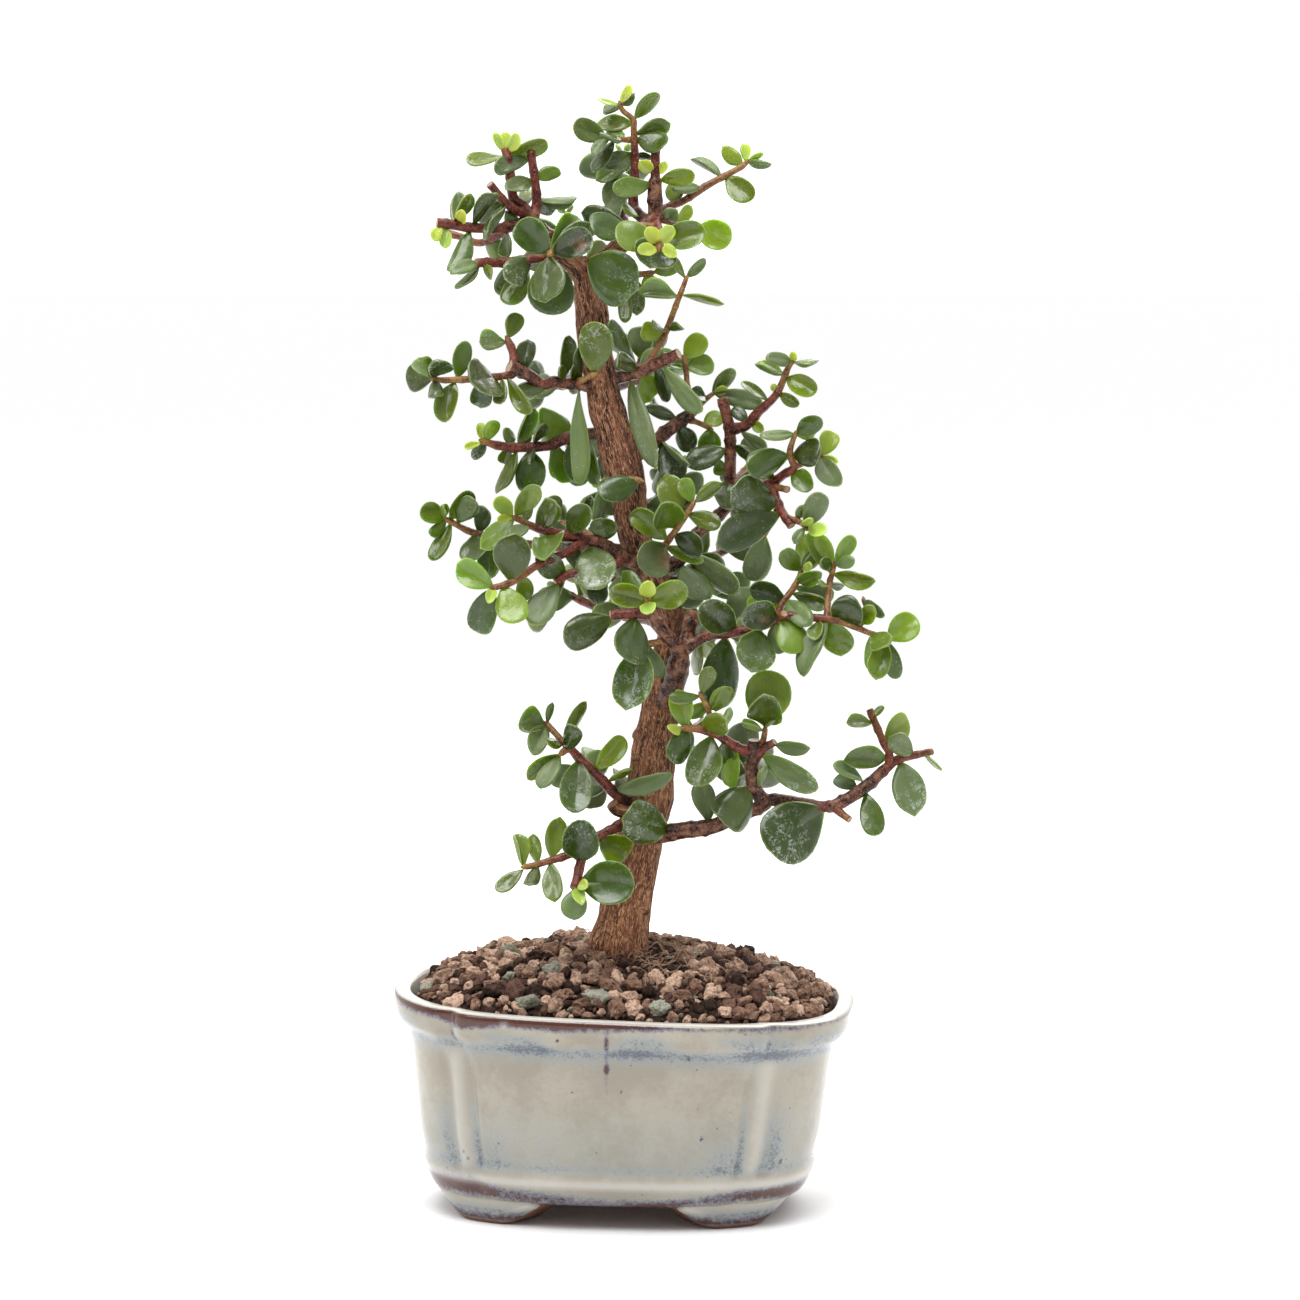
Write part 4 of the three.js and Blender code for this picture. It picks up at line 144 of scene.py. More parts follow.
# The leafy branches. A stem's rows are u, v, w and its width there, from its root to its tip. A leaf's row is
# u, v and w of its base and of its tip, its width, its roll in degrees and its age. A grown row is a stem's
# number, the length of the leaves that a rule sets along it, and how far along it the first pair stands.
SPRAYS = [
    {"name": "spray_top_left",
     "stems": [
       [[-33, 136, -3, 6], [-36.5, 140, -3, 5.6], [-40, 143.5, -4, 5]],
       [[-40, 143.5, -4, 4.2], [-42.3, 147.9, -5, 3.8], [-45.6, 151, -6, 3.4], [-46.6, 158.8, -6, 3.1],
         [-48.1, 167, -5, 3]],
       [[-39.5, 143.5, -4, 4.2], [-37.9, 148.3, -3, 3.4], [-38.1, 154.6, -3, 3], [-39.8, 166.2, -3, 2.8]],
       [[-42, 145.5, -5, 3.4], [-47.3, 148.3, -9, 2.8], [-53.5, 155.4, -12, 2.6]],
       [[-40, 143, -4, 4.4], [-48.5, 140.8, -8, 3.7], [-58.9, 140.8, -12, 3.5], [-71, 142.5, -14, 3.3]],
       [[-46, 141.3, -6, 3], [-56, 135.8, 2, 2.6], [-63.5, 137.9, 5, 2.5], [-70.8, 140, 7, 2.4]],
     ],
     "leaves": [
       [-48.3, 166, -5, -61.5, 162.5, -8, 6.8, 30, "m"], [-47.8, 166.3, -5, -34, 169.2, -2, 6.5, 35, "m"],
       [-48.1, 166.8, -5, -52.5, 172.5, -6, 3.5, 20, "y"], [-48, 166.8, -5, -43.5, 172.5, -8, 4.5, 10, "y"],
       [-48.1, 167, -5, -48.3, 173, -3, 4, 0, "y"], [-39.8, 165, -3, -52, 159.8, -9, 5.5, 45, "d"],
       [-38.3, 157, -3, -48, 153.5, -10, 6.8, 10, "d"], [-38, 157, -3, -29.8, 159.8, 1, 5, 35, "m"],
       [-37.8, 148.6, -3, -24, 150, 1, 6.5, 65, "d"], [-38, 149, -2, -32.6, 146, 8, 6, 20, "d"],
       [-42.3, 148, -4, -40.8, 154.7, 6, 5, 10, "b"], [-59, 142, -12, -51.4, 152.8, -17, 6.5, 40, "d"],
       [-65.5, 142, -13, -59.3, 152, -15, 6.5, 40, "m"], [-65, 142, -12, -63, 152.5, -4, 5.5, 40, "d"],
       [-63, 142.5, -13, -62.5, 147.5, -17, 4.4, 0, "y"], [-60, 140.5, -12, -66, 125, -16, 7, 40, "m"],
       [-69.5, 141.5, -14, -72.5, 136, -16, 3.6, 10, "y"], [-67.9, 141, -14, -68, 133.5, -17, 4.6, 0, "y"],
       [-49.5, 147.8, -10, -55.3, 137, -17, 6, 50, "d"], [-50, 148.5, -10, -58.2, 143.5, -3, 6, 20, "d"],
       [-42, 143.5, -5, -48.8, 145.4, -9, 5, 40, "d"], [-47.5, 140, -8, -48.3, 130.6, -12, 6, 50, "d"],
       [-52, 138.3, -1, -51, 129.3, 6, 8, 10, "m"],
     ] },
    {"name": "spray_fork_front",
     "stems": [
       [[-31, 131.5, -4, 4], [-34, 131, -9, 3.4], [-47.7, 129.3, -12, 3.2], [-58, 129, -16, 3.2]],
       [[-33, 131.2, -8, 3.2], [-33.2, 132.2, -15, 2.6], [-33.4, 132, -25, 2]],
     ],
     "leaves": [
       [-57.3, 128.5, -16, -65, 120.5, -19, 6, 55, "m"], [-57, 129, -16, -66.2, 126.4, -20, 5.5, 35, "g"],
       [-56, 128, -15, -53, 124, -20, 4, 30, "m"], [-34.6, 133.2, -20, -44.6, 142.4, -20, 11.7, 0, "d"],
       [-32.5, 134, -14, -24.6, 143.8, -7, 9.5, 0, "m"], [-32.3, 132.5, -18, -19, 137.8, -17, 10.5, 0, "d"],
       [-37.5, 130.4, -12, -48, 124, -17, 10, 0, "d"], [-34, 130.5, -22, -34.8, 116.2, -25, 12.4, 0, "d"],
       [-33, 131, -12, -32, 111.4, -11, 15.6, 0, "d"], [-43, 129, -12, -50.8, 118.3, -9, 8.5, 0, "d"],
       [-40, 129, -11, -48, 114.5, -12, 9, 10, "m"], [-32.4, 133.5, -16, -21.5, 141.5, -9, 8, 0, "d"],
     ] },
    {"name": "spray_fork_middle",
     "stems": [
       [[-21, 127, -3, 3.4], [-21.4, 129, -7, 2.6], [-21.7, 131, -10, 2.2]],
     ],
     "leaves": [
       [-21.5, 130.8, -10, -4.4, 120.2, -14, 18, 0, "d"],
     ] },
    {"name": "spray_fork_under",
     "stems": [
       [[-19.5, 123, 3, 3.2], [-15, 126, 7, 2.8], [-6, 125, 8, 2.4], [2, 126, 8, 1.8]],
     ],
     "leaves": [
       [-1, 125.5, 8, 0.6, 119.2, 9, 6.5, 0, "b"], [-5, 125, 8, -4.3, 111.4, 5, 5.6, 10, "d"],
       [-9, 125, 8, -7.7, 108.4, 3, 5, 20, "m"], [1.8, 126, 8, 10, 128, 9, 5.2, 10, "b"],
     ] },
    {"name": "spray_top",
     "stems": [
       [[-3, 141, 0, 5.8], [1.5, 143.5, 0, 5.6], [1.7, 148, 0, 5], [1.7, 156, 0, 4.6],
         [1.8, 157.5, 0, 3.3], [1.8, 166.9, 0, 3.1]],
       [[0, 142.5, 1, 4.2], [-4, 145.5, 3, 4], [-5.6, 149.6, 4, 3.5], [-5, 160.8, 3, 3],
         [-5.4, 173.3, 3, 2.2],
         [-5.6, 176.7, 3, 2], [-9.2, 180, 2, 1.8], [-10.4, 183, 1, 1.5]],
       [[-5.2, 170, 3, 2.2], [-10, 170.2, 0, 1.9], [-15, 171, -3, 1.6]],
       [[1.5, 143.5, -1, 3.6], [2.9, 140, -9, 2.8], [2.9, 137.5, -15, 2.5], [3.1, 133, -22, 2]],
       [[2.6, 141, -6, 2.4], [-4, 141.6, -7, 2], [-9, 141.5, -8, 1.8]],
       [[1.6, 144.5, 0, 3], [9, 142, 2, 2.2], [16, 140.8, 2, 1.8]],
       [[1.7, 146, 1, 3.4], [6.7, 147.9, 6, 2.7], [11.7, 150, 8, 2.5], [20, 155.4, 10, 2.4],
         [30, 160.8, 12, 2], [33.3, 163.6, 12, 1.4]],
     ],
     "leaves": [
       [-10.3, 182.6, 1, -18, 183.3, -1, 3, 20, "y"], [-10.3, 182.8, 1, -6.5, 188.6, 0, 3.4, 20, "y"],
       [-9.8, 181.5, 1, -16.3, 180, 4, 5, 65, "d"], [-10, 182, 1, -5.4, 185.6, 3, 4.5, 60, "m"],
       [-5.6, 176.5, 3, 3, 186, 0, 7, 25, "m"], [-5.8, 176, 3, -18.5, 174.7, 7, 6.5, 40, "m"],
       [-14.8, 171, -3, -26.2, 174.8, -5, 8.8, 10, "m"], [-8, 170.2, 1, -16.5, 172, -10, 5, 55, "d"],
       [-9, 170.5, 1, -14, 175.6, 5, 6, 20, "m"], [-5, 171.5, 3, 6.2, 176.2, 5, 6, 55, "m"],
       [-5, 170.5, 3, 6.4, 168.8, -2, 8.2, 0, "d"], [-14, 170.8, -3, -18.9, 165, -7, 5.5, 20, "g"],
       [-12, 170.4, -1, -19.2, 159.6, -4, 6.5, 20, "d"], [-5, 166, 3, -14.8, 160.2, -6, 8, 0, "d"],
       [-5.2, 163, 4, -17.5, 156.5, 8, 6, 10, "m"], [-5.2, 158, 4, -15.6, 148.2, 8, 10.5, 0, "m"],
       [-4.6, 165, 3, 0.6, 163.5, 6, 4, 20, "d"], [-1, 145, 1, -9.7, 148.6, -4, 5, 30, "m"],
       [0, 157, -1, -12.9, 152.5, -6, 7, 25, "m"], [3, 157, -1, 15.2, 158.2, -5, 6, 30, "m"],
       [1, 158.6, -1, -3.7, 163.2, -4, 4.6, 0, "y"], [2.6, 158.5, -1, 6.2, 162.5, -3, 3.8, 0, "y"],
       [2.6, 136, -19, -1.4, 141.3, -22, 5.4, 0, "y"], [3.6, 136, -19, 7.9, 141.3, -22, 5.4, 0, "y"],
       [2.6, 134, -21, -4.6, 133.5, -25, 4.6, 0, "y"], [3.8, 133.6, -21, 9.8, 131.8, -25, 4.6, 0, "y"],
       [2.4, 137, -16, -12.2, 138.7, -18, 11, 0, "m"], [3.6, 137, -16, 18.7, 139.4, -18, 10.6, 0, "m"],
       [15.8, 140.8, 2, 27.6, 136.7, 0, 10.6, 0, "b"], [5.5, 143, -1, 9, 146.7, -4, 6, 10, "g"],
       [9, 142.4, 2, 14, 148.2, 4, 4.8, 10, "b"], [2.9, 137.5, -14, 0, 127.2, -18, 15.5, 0, "d"],
       [-7, 141.4, -8, -20.2, 141.2, -12, 10.6, 0, "d"], [-9, 141.5, -8, -22.5, 145.6, -2, 9, 0, "d"],
       [24.2, 157.7, 11, 13.8, 164, 15, 5.5, 60, "g"], [24.8, 157.7, 11, 34.9, 150.3, 8, 8, 20, "m"],
       [31, 161.8, 12, 24.1, 167.7, 14, 5.2, 20, "b"], [33, 163.3, 12, 30.4, 168.6, 14, 3.6, 50, "y"],
       [33.2, 163.4, 12, 40.5, 161.4, 9, 4, 45, "g"], [33.3, 163.6, 12, 38, 166, 10, 2.6, 20, "y"],
       [18.2, 154.3, 9, 7, 153.7, 5, 5, 35, "g"], [9, 149, 7, 7.5, 156.3, 13, 7, 0, "b"],
     ] },
    {"name": "spray_left_upper",
     "stems": [
       [[-18, 88.3, -2, 4.6], [-26, 88.7, -5, 4], [-31.8, 89.5, -8, 3.8], [-36, 88.6, -10, 3.7],
         [-41, 92, -12, 4], [-47, 94.5, -14, 4.8]],
       [[-45.5, 94.5, -13, 3.2], [-45.6, 98.7, -12, 2.8], [-48, 104.7, -11, 2.4]],
       [[-44.5, 93, -13, 3.2], [-48, 91.5, -14, 2.6], [-59.3, 90.3, -17, 2.3], [-70, 90, -19, 2],
         [-73.5, 90.8, -20, 1.6]],
       [[-25, 88.7, -5, 2.6], [-21.5, 90.5, -8.6, 2], [-17.6, 92.3, -9.5, 1.8]],
       [[-26, 88.7, -5, 3], [-30, 88, 7, 2.6], [-36, 88.5, 18, 2.2], [-41, 91.5, 28, 1.6]],
     ],
     "grown": [[4, 11, 11]],
     "leaves": [
       [-48, 104.3, -11, -57, 102, -14, 6, 50, "d"], [-48, 104.6, -11, -43.8, 112.5, -9, 5.5, 45, "m"],
       [-41.3, 93.3, -12, -40.8, 103.2, -10, 7.2, 0, "d"], [-49.8, 91.5, -14, -60, 89.5, -26, 14.8, 0, "d"],
       [-56, 90, -16, -56.5, 80.8, -12, 8, 0, "d"], [-49.5, 91, -15, -50, 81.4, -19, 5.5, 30, "m"],
       [-48.3, 91, -14, -39.5, 78.6, -18, 6.5, 25, "m"], [-64.3, 90.3, -18, -61, 102.8, -15, 7, 20, "m"],
       [-65, 90, -18, -69.4, 75.6, -21, 8.2, 10, "m"], [-72.5, 90.5, -19, -81.7, 91.6, -14, 10, 0, "d"],
       [-73, 91, -20, -77.2, 97.8, -24, 7, 10, "m"], [-71.5, 90.3, -19, -69.8, 96.7, -25, 8, 50, "d"],
       [-72, 90, -19, -72, 84.3, -24, 6, 10, "d"], [-31, 91, -8, -44.2, 86.2, -17, 6.6, 15, "d"],
       [-29.5, 89.3, -6, -26.8, 104.8, -3, 6.5, 25, "d"], [-31.5, 88.5, -7, -40.6, 83.7, -4, 5, 30, "m"],
       [-27.5, 89.2, -6, -30, 94.2, -10, 4.5, 20, "d"], [-24.5, 89.4, -5, -25.5, 94.7, -9, 4, 20, "d"],
       [-23.4, 87.5, -5, -23.2, 54.8, -9, 11, 55, "g"], [-22.2, 87.5, 0, -20.8, 68.8, 4, 7, 30, "d"],
       [-17.6, 92.2, -9, -18.2, 109.8, -11, 12, 0, "m"], [-22.6, 89.6, -4, -24.6, 105.2, 1, 6, 20, "d"],
     ] },
    {"name": "spray_right_upper",
     "stems": [
       [[-14, 90, -1, 4.8], [-10.8, 90.8, -2, 4.4], [-4.2, 92.4, -5, 4.2], [1.7, 95.3, -8, 4],
         [9.6, 98.8, -11, 3.6]],
       [[-0.5, 94.4, -7, 2.6], [0.6, 97.4, -6, 2.4], [5, 105.3, -4, 2.1], [8.8, 115.3, -2, 2],
         [11.7, 122.8, -1, 1.7], [12.5, 125, -1, 1.4]],
       [[-7, 91.6, -4, 3.4], [-4, 94, 8, 3], [-3, 97, 20, 2.4], [-4, 101, 31, 1.8]],
     ],
     "grown": [[2, 13, 9]],
     "leaves": [
       [-3.5, 93.5, -5, -13.4, 110.2, -9, 6.8, 30, "d"], [-3.8, 92, -7, -11.8, 97.4, -13, 6.8, 0, "d"],
       [-1.5, 93.4, -5, 1, 83.3, 6, 8.6, 0, "b"], [3.5, 96, -9, 15.3, 78.5, -14, 8.6, 55, "g"],
       [3, 95.5, -7, 5, 82.3, 0, 6.6, 20, "d"], [9.6, 118.4, -2, -3.5, 120, -4, 6, 40, "m"],
       [9.8, 118.3, -2, 24.4, 115.3, -5, 6, 45, "m"], [12.3, 124.6, -1, 7.5, 130.8, -3, 4, 30, "m"],
       [12.5, 124.6, -1, 18.4, 130.6, 1, 4.6, 30, "m"], [5.5, 106.6, -4, 0.6, 108.8, -9, 5, 45, "d"],
       [6, 106.8, -4, 10.7, 107.3, -9, 4.2, 45, "d"], [4.8, 104.8, -4, -3.5, 106.9, 1, 6.8, 0, "b"],
       [-8, 91, -5, 0.8, 62.4, -14, 10, 15, "g"],
     ] },
    {"name": "spray_right_middle",
     "stems": [
       [[-8, 63.5, 4, 5], [-1, 67, 6, 4.7], [4, 71.5, 7, 4.6], [11.7, 77.4, 8, 4.5], [14.6, 78.6, 8, 4.4]],
       [[12.6, 77, 8, 2.6], [15.6, 76, 10, 2], [21, 73.5, 12, 1.7]],
       [[13.6, 78, 7, 2.4], [12.5, 87, 4, 2], [12, 93.3, 2, 1.9], [11.2, 98.4, 1, 1.5]],
       [[13.8, 78.2, 8.5, 2.2], [18, 83, 11, 1.9], [22, 86.2, 12, 1.5]],
     ],
     "leaves": [
       [20.5, 85, 12, 28.6, 93.7, 13, 6, 20, "m"], [19.5, 84.3, 11.5, 13.2, 86, 6, 6, 15, "d"],
       [21.8, 86, 12, 26.2, 87.4, 7, 3.6, 0, "y"], [22, 85.8, 12, 37.8, 82.1, 9, 6.6, 15, "g"],
       [17.5, 75.2, 11, 24.2, 78.8, 13, 6, 0, "b"], [3, 70.6, 6, 9.5, 56.2, 2, 9.2, 20, "d"],
       [3.4, 70.8, 4, 12.7, 61.6, -2, 6, 55, "g"], [9.8, 75.8, 9, 13.5, 65.6, 13, 8, 0, "d"],
       [20.8, 73.6, 12, 19.5, 65.6, 10, 9, 0, "m"], [11.3, 98, 1, 18.2, 105.2, 2, 8, 0, "b"],
       [12, 94.2, 2, 21.7, 95.5, 4, 7.8, 0, "b"], [11.4, 97.5, 1, 3.3, 99.6, 5, 4.5, 45, "b"],
       [12, 94, 2, 5.8, 95, 4, 4, 35, "b"], [10.4, 76.6, 8, -1.3, 81.4, 11, 5.6, 20, "d"],
     ] },
    {"name": "spray_right",
     "stems": [
       [[-1, 26.5, 3, 6], [8, 29, 5, 4.8], [11, 31.5, 6, 4.5], [14.5, 37.5, 7, 4.4], [20, 42.3, 8, 4.2],
         [25.5, 48, 9, 4.1],
         [26.6, 56, 9, 4], [26.8, 66, 8, 4], [26.5, 74, 7, 3.9], [24, 84, 6, 3.7]],
       [[26.5, 73.5, 7, 4], [32.2, 75, 4, 3.6], [36.3, 79.5, 1, 3.2], [42.2, 85.3, -2, 2.6],
         [46.3, 94.5, -4, 2], [48.4, 96.6, -4, 1.6]],
       [[26, 50, 9, 3.8], [33, 53, 3, 3.5], [40.5, 55.7, -4, 3.4], [44.7, 58.6, -8, 3],
         [48, 61, -10, 2.7], [46.6, 66, -11, 2.2], [48.8, 73.2, -13, 1.6]],
       [[40, 55.4, -3, 2.6], [42, 54.4, -6, 2.4], [45.7, 53.5, -10, 2.2]],
       [[47.4, 60.6, -9.6, 2.2], [55, 64, -8, 1.8], [58, 65, -8, 1.5]],
       [[40, 55.4, -5, 3.2], [41.7, 51.5, -7, 3], [43.8, 46.5, -9, 2.9], [47.2, 41.3, -11, 2.9]],
       [[45.3, 44.2, -10, 2.3], [50.5, 42.3, -11, 2], [52.4, 39.8, -12, 1.8]],
       [[43, 48, -8, 2], [39.5, 41, -5, 1.8], [38, 37.5, -5, 1.6]],
       [[26.3, 54, 9, 3], [29, 57, 20, 2.6], [32.5, 61, 30, 2.2], [36, 66, 40, 1.6]],
     ],
     "grown": [[8, 12, 12]],
     "leaves": [
       [45.2, 92, -3.6, 34.8, 95.2, -1, 5, 60, "m"], [48, 96.2, -4, 38.5, 97.5, -8, 5, 40, "g"],
       [48.4, 96.4, -4, 56.2, 96.7, -7, 5, 55, "g"], [48.3, 96.4, -4, 47.8, 100, -6, 2.8, 0, "y"],
       [44.8, 91, -3, 55.9, 85.8, -6, 7.8, 10, "m"], [42.6, 85.8, -2, 50.1, 81.6, -4, 4.6, 20, "m"],
       [42.5, 86, -2, 40.1, 88.7, -4, 2.6, 10, "y"], [40, 83, -1, 29.7, 89, -3, 5.4, 20, "m"],
       [33, 76, 4, 27.3, 81.2, 10, 5, 10, "d"], [33, 76, 3, 38.2, 73, 0, 4.2, 10, "b"],
       [28.5, 73.8, 6, 38.9, 67.1, 3, 5.8, 35, "g"], [27.2, 68, 7, 35.6, 64.6, 3, 5.5, 50, "d"],
       [26.5, 58.5, 8, 24, 47.6, 2, 10, 0, "d"], [26, 67.5, 7, 12.1, 61.8, 4, 8.4, 0, "d"],
       [26.3, 60.5, 9, 20.8, 60.8, 13, 5.6, 0, "b"], [46.8, 64.5, -11, 31.8, 60.2, -16, 10.2, 0, "d"],
       [47.2, 65, -11, 57.2, 66.6, -15, 10.4, 0, "d"], [48.4, 72, -13, 55.3, 72, -9, 4.6, 10, "b"],
       [46.4, 59.8, -9, 54.7, 53.8, -13, 8, 0, "m"], [48.5, 72.4, -13, 36.8, 71.5, -17, 5, 20, "g"],
       [48.8, 73, -13, 57.4, 77.4, -15, 7, 10, "m"], [57.8, 65, -8, 61.7, 73.2, -5, 7, 0, "b"],
       [58, 65, -8, 63.2, 63, -10, 2.6, 45, "y"], [57.5, 64.8, -8, 62.3, 54.6, -13, 7.5, 20, "g"],
       [41.5, 56.3, -5, 38.6, 59.7, -9, 3, 10, "m"], [42.6, 48.6, -9, 27.8, 53.2, -17, 14.5, 0, "d"],
       [53, 40.6, -12, 57.5, 52.7, -14, 9.2, 10, "g"], [48.5, 43.3, -11, 53.5, 48.7, -15, 4, 55, "m"],
       [52, 40.2, -12, 53.5, 44.7, -17, 4, 0, "y"], [52.5, 40, -12, 59.5, 39.3, -16, 5.2, 0, "y"],
       [51.5, 40.4, -12, 47.8, 35.6, -14, 3.6, 20, "g"], [43.6, 46, -10, 22, 35, -15, 12, 0, "d"],
       [38, 38, -5, 33.5, 22.6, -3, 9.8, 10, "g"], [9, 29.4, 4, 19.6, 17, -2, 9, 10, "g"],
       [12.4, 33, 5, 29.4, 19.6, 2, 9.6, 10, "g"],
     ] },
    {"name": "spray_centre",
     "stems": [
       [[-1.5, 28.5, -4, 3], [3.5, 33, -7, 2.5], [7, 37.8, -10, 2.2], [12, 44.8, -12, 2],
         [15.2, 50, -12, 1.6]],
     ],
     "leaves": [
       [5.8, 37, -9, -6.4, 46.2, -9, 8.6, 0, "m"], [8, 40.4, -11, 3.2, 49.5, -17, 12, 0, "m"],
       [10.4, 43, -11.5, 5, 58.2, -9, 10, 0, "m"], [14.8, 49.3, -12, 10.4, 57.2, -11, 5.6, 10, "m"],
       [15.3, 49.6, -12, 23.7, 55.9, -12, 6, 20, "m"], [12.5, 45.2, -12, 23.9, 41.7, -15, 6.2, 10, "m"],
       [13.8, 47.8, -11, 8.8, 51.7, -6, 6, 20, "d"], [5.5, 36, -9, -1.8, 24.6, -16, 12.8, 0, "d"],
       [7.6, 38.6, -10, 18.2, 32.4, -13, 8.6, 10, "d"], [4.6, 34.5, -8, 18, 29.6, -7, 5, 10, "m"],
     ] },
    {"name": "twig_front",
     "stems": [
       [[-8, 56.5, -3, 2.6], [-5.5, 57, -9, 2.2], [-2, 56, -11, 1.9]],
     ],
     "leaves": [
       [-2.2, 56, -11, -17.4, 52.4, -14, 9.6, 0, "d"],
     ] },
    {"name": "spray_front",
     "stems": [
       [[4, -19, -2, 7], [7.5, -13, -7, 7.7], [10, -3, -11, 7.4], [11, 1, -12, 6.6]],
       [[11, 0.4, -12, 5], [7.5, 2.7, -13, 4.7], [3.3, 7.7, -14, 4.5], [0.8, 11.4, -14.5, 4.3],
         [-1.5, 13.2, -15, 4.2]],
       [[0.5, 12, -14.5, 3.6], [-6, 12, -16, 3.4], [-13.3, 11.6, -17, 3.3]],
       [[11.3, 0, -12, 5], [12.6, 5, -11, 4.8], [14, 13, -10, 4.5]],
       [[-0.8, 12.5, -15, 2.8], [-0.8, 15, -20, 2.3], [-0.6, 17, -26, 1.8]],
       [[7, 3.4, -13, 2.4], [-1, 2, -14, 2.1], [-5, 1.5, -15, 1.9]],
     ],
     "leaves": [
       [-0.8, 16.8, -25, -1.5, 24, -29, 6.2, 0, "y"], [-0.6, 16.6, -25, -0.9, 11.1, -29, 5.8, 0, "y"],
       [-0.9, 16.4, -22, -14, 19.6, -24, 9, 0, "m"], [-0.3, 16.6, -22, 12.6, 21, -24, 10, 0, "m"],
       [-0.9, 15.6, -19, -9, 26.2, -14, 7, 0, "m"], [-13, 12, -17, -28.4, 2.6, -21, 12.2, 0, "d"],
       [-5, 12, -16, -7.2, -4.6, -22, 12.6, 0, "d"], [-4.8, 1.6, -15, -8, -19.8, -18, 14.6, 0, "d"],
       [-1, 2, -14, 3.6, -9.2, -11, 6.6, 10, "g"],
     ] },
    {"name": "spray_right_low",
     "stems": [
       [[11.5, 0.5, -12, 5], [15, 2.7, -12, 4.1], [20, 5, -12, 3.7], [28.3, 6, -12, 3.5],
         [37, 8, -12, 3.3], [44, 11, -13, 3.1],
         [56.3, 10.6, -15, 2.7], [62, 10, -16, 2.4], [70, 7, -17, 2.1], [80, 2.8, -19, 1.6]],
       [[43, 10.5, -13, 2.8], [44.8, 12.2, -16, 2.4]],
       [[42.6, 10.5, -13, 2.8], [43.8, 15, -10, 2.4], [48.4, 21.5, -8, 2.2], [51, 27.6, -8, 1.6]],
       [[59, 10.4, -15.5, 2.4], [59.7, 21, -12, 2], [60.9, 26.1, -11, 1.8], [61.8, 29.8, -11, 1.4]],
       [[69.5, 7.2, -17, 1.9], [72, 12, -15, 1.6], [71, 17.8, -14, 1.4]],
       [[20.5, 5.1, -11, 3], [27, 7, 2, 2.6], [33, 10, 14, 2.2], [38, 15, 26, 1.7]],
     ],
     "grown": [[5, 13, 10]],
     "leaves": [
       [30, 6.6, -13, 15.5, 15, -19, 12.2, 0, "d"], [25.4, 5.6, -13, 22, -19.6, -16, 14.2, 0, "d"],
       [42.3, 9.8, -14, 30.3, 11.5, -19, 11, 0, "d"], [44.5, 10.6, -14, 50, -1, -18, 11.4, 0, "b"],
       [37, 8, -13, 34, -6.9, -17, 13.6, 0, "d"], [42.5, 9.8, -12, 43, -1.4, -8, 8, 20, "g"],
       [59.3, 10.2, -15, 49.5, -8, -19, 9, 60, "g"], [61, 10, -15, 63.5, -1.7, -9, 10.6, 0, "m"],
       [56, 10.5, -15, 55, 2.8, -19, 6, 30, "m"], [58.8, 10.5, -16, 70.5, 13.5, -21, 12, 0, "d"],
       [71, 17.6, -14, 78.5, 11.3, -18, 5, 20, "g"], [70.5, 8.6, -17, 74.6, 15.2, -20, 6, 0, "b"],
       [73, 5.9, -18, 79.7, 1, -24, 8, 0, "m"], [79.4, 3.1, -19, 89.2, 11, -19, 10, 0, "b"],
       [74, 5.4, -17, 73.2, -6.5, -13, 4.6, 20, "b"], [78.6, 3.3, -19, 75.2, -9.8, -21, 8, 10, "m"],
       [79.6, 2.9, -19, 82.5, -9.7, -16, 6, 10, "m"], [50.6, 26.6, -8, 43.6, 33.5, -11, 6.6, 10, "m"],
       [50.9, 27.2, -8, 56.7, 32.7, -7, 6, 10, "m"], [50.8, 27, -9, 54.7, 29, -13, 3.2, 0, "y"],
       [48.8, 22.3, -9, 57.2, 25.5, -14, 6.6, 10, "m"], [51, 27.4, -7, 51.5, 39, -4, 5, 10, "b"],
       [45.7, 17.7, -10, 32.8, 21, -14, 7.6, 5, "d"], [46.6, 19, -9, 60, 15.4, -13, 5.8, 30, "m"],
       [48.2, 21.2, -9, 61.7, 18.4, -6, 5.6, 30, "g"], [45.4, 17.3, -10, 53.4, 8.6, -18, 7.4, 20, "g"],
       [44.6, 16.2, -9, 37.3, 17.6, -4, 6, 30, "g"], [44, 15.3, -9, 31.8, 15.5, -2, 6, 0, "b"],
       [61.6, 29.3, -11, 55.2, 38.6, -13, 6, 10, "b"], [61.8, 29.4, -11, 68.4, 38.2, -10, 6, 10, "b"],
       [60.7, 25, -11, 74.9, 22.6, -15, 5.8, 35, "m"], [61.6, 29, -11, 68.7, 30, -15, 3.6, 30, "g"],
       [61.2, 27.6, -11, 56.1, 29.4, -15, 4.8, 10, "m"], [59.8, 21.6, -12, 55.8, 22.8, -16, 3, 55, "m"],
       [59.9, 21.6, -12, 64.7, 21, -8, 3, 55, "m"], [60.6, 25, -11, 52.8, 39.5, -8, 5.6, 20, "b"],
       [18, 4.3, -11, 20.6, -1.4, -4, 6, 0, "b"], [17, 3.8, -11, 14.5, -8.2, -6, 5, 10, "b"],
     ] },
    {"name": "spray_low_right",
     "stems": [
       [[-1, -62.5, -4, 6.2], [10, -60.3, -7, 5.6], [20, -59, -8, 5.2], [26, -56.8, -8, 4.7],
         [37, -52.2, -8, 4.4], [40.6, -50, -8, 4.4],
         [50, -50.8, -9, 3.6], [57.9, -52.2, -10, 3.8], [63, -51.2, -10, 4.3], [71.7, -45.7, -8, 4.4],
         [78.9, -39.2, -5, 3.6],
         [83.2, -36.3, -3, 3], [94.1, -33.8, 2, 2.4]],
       [[61, -52.5, -10, 2.8], [66.6, -56.6, -13, 2.3]],
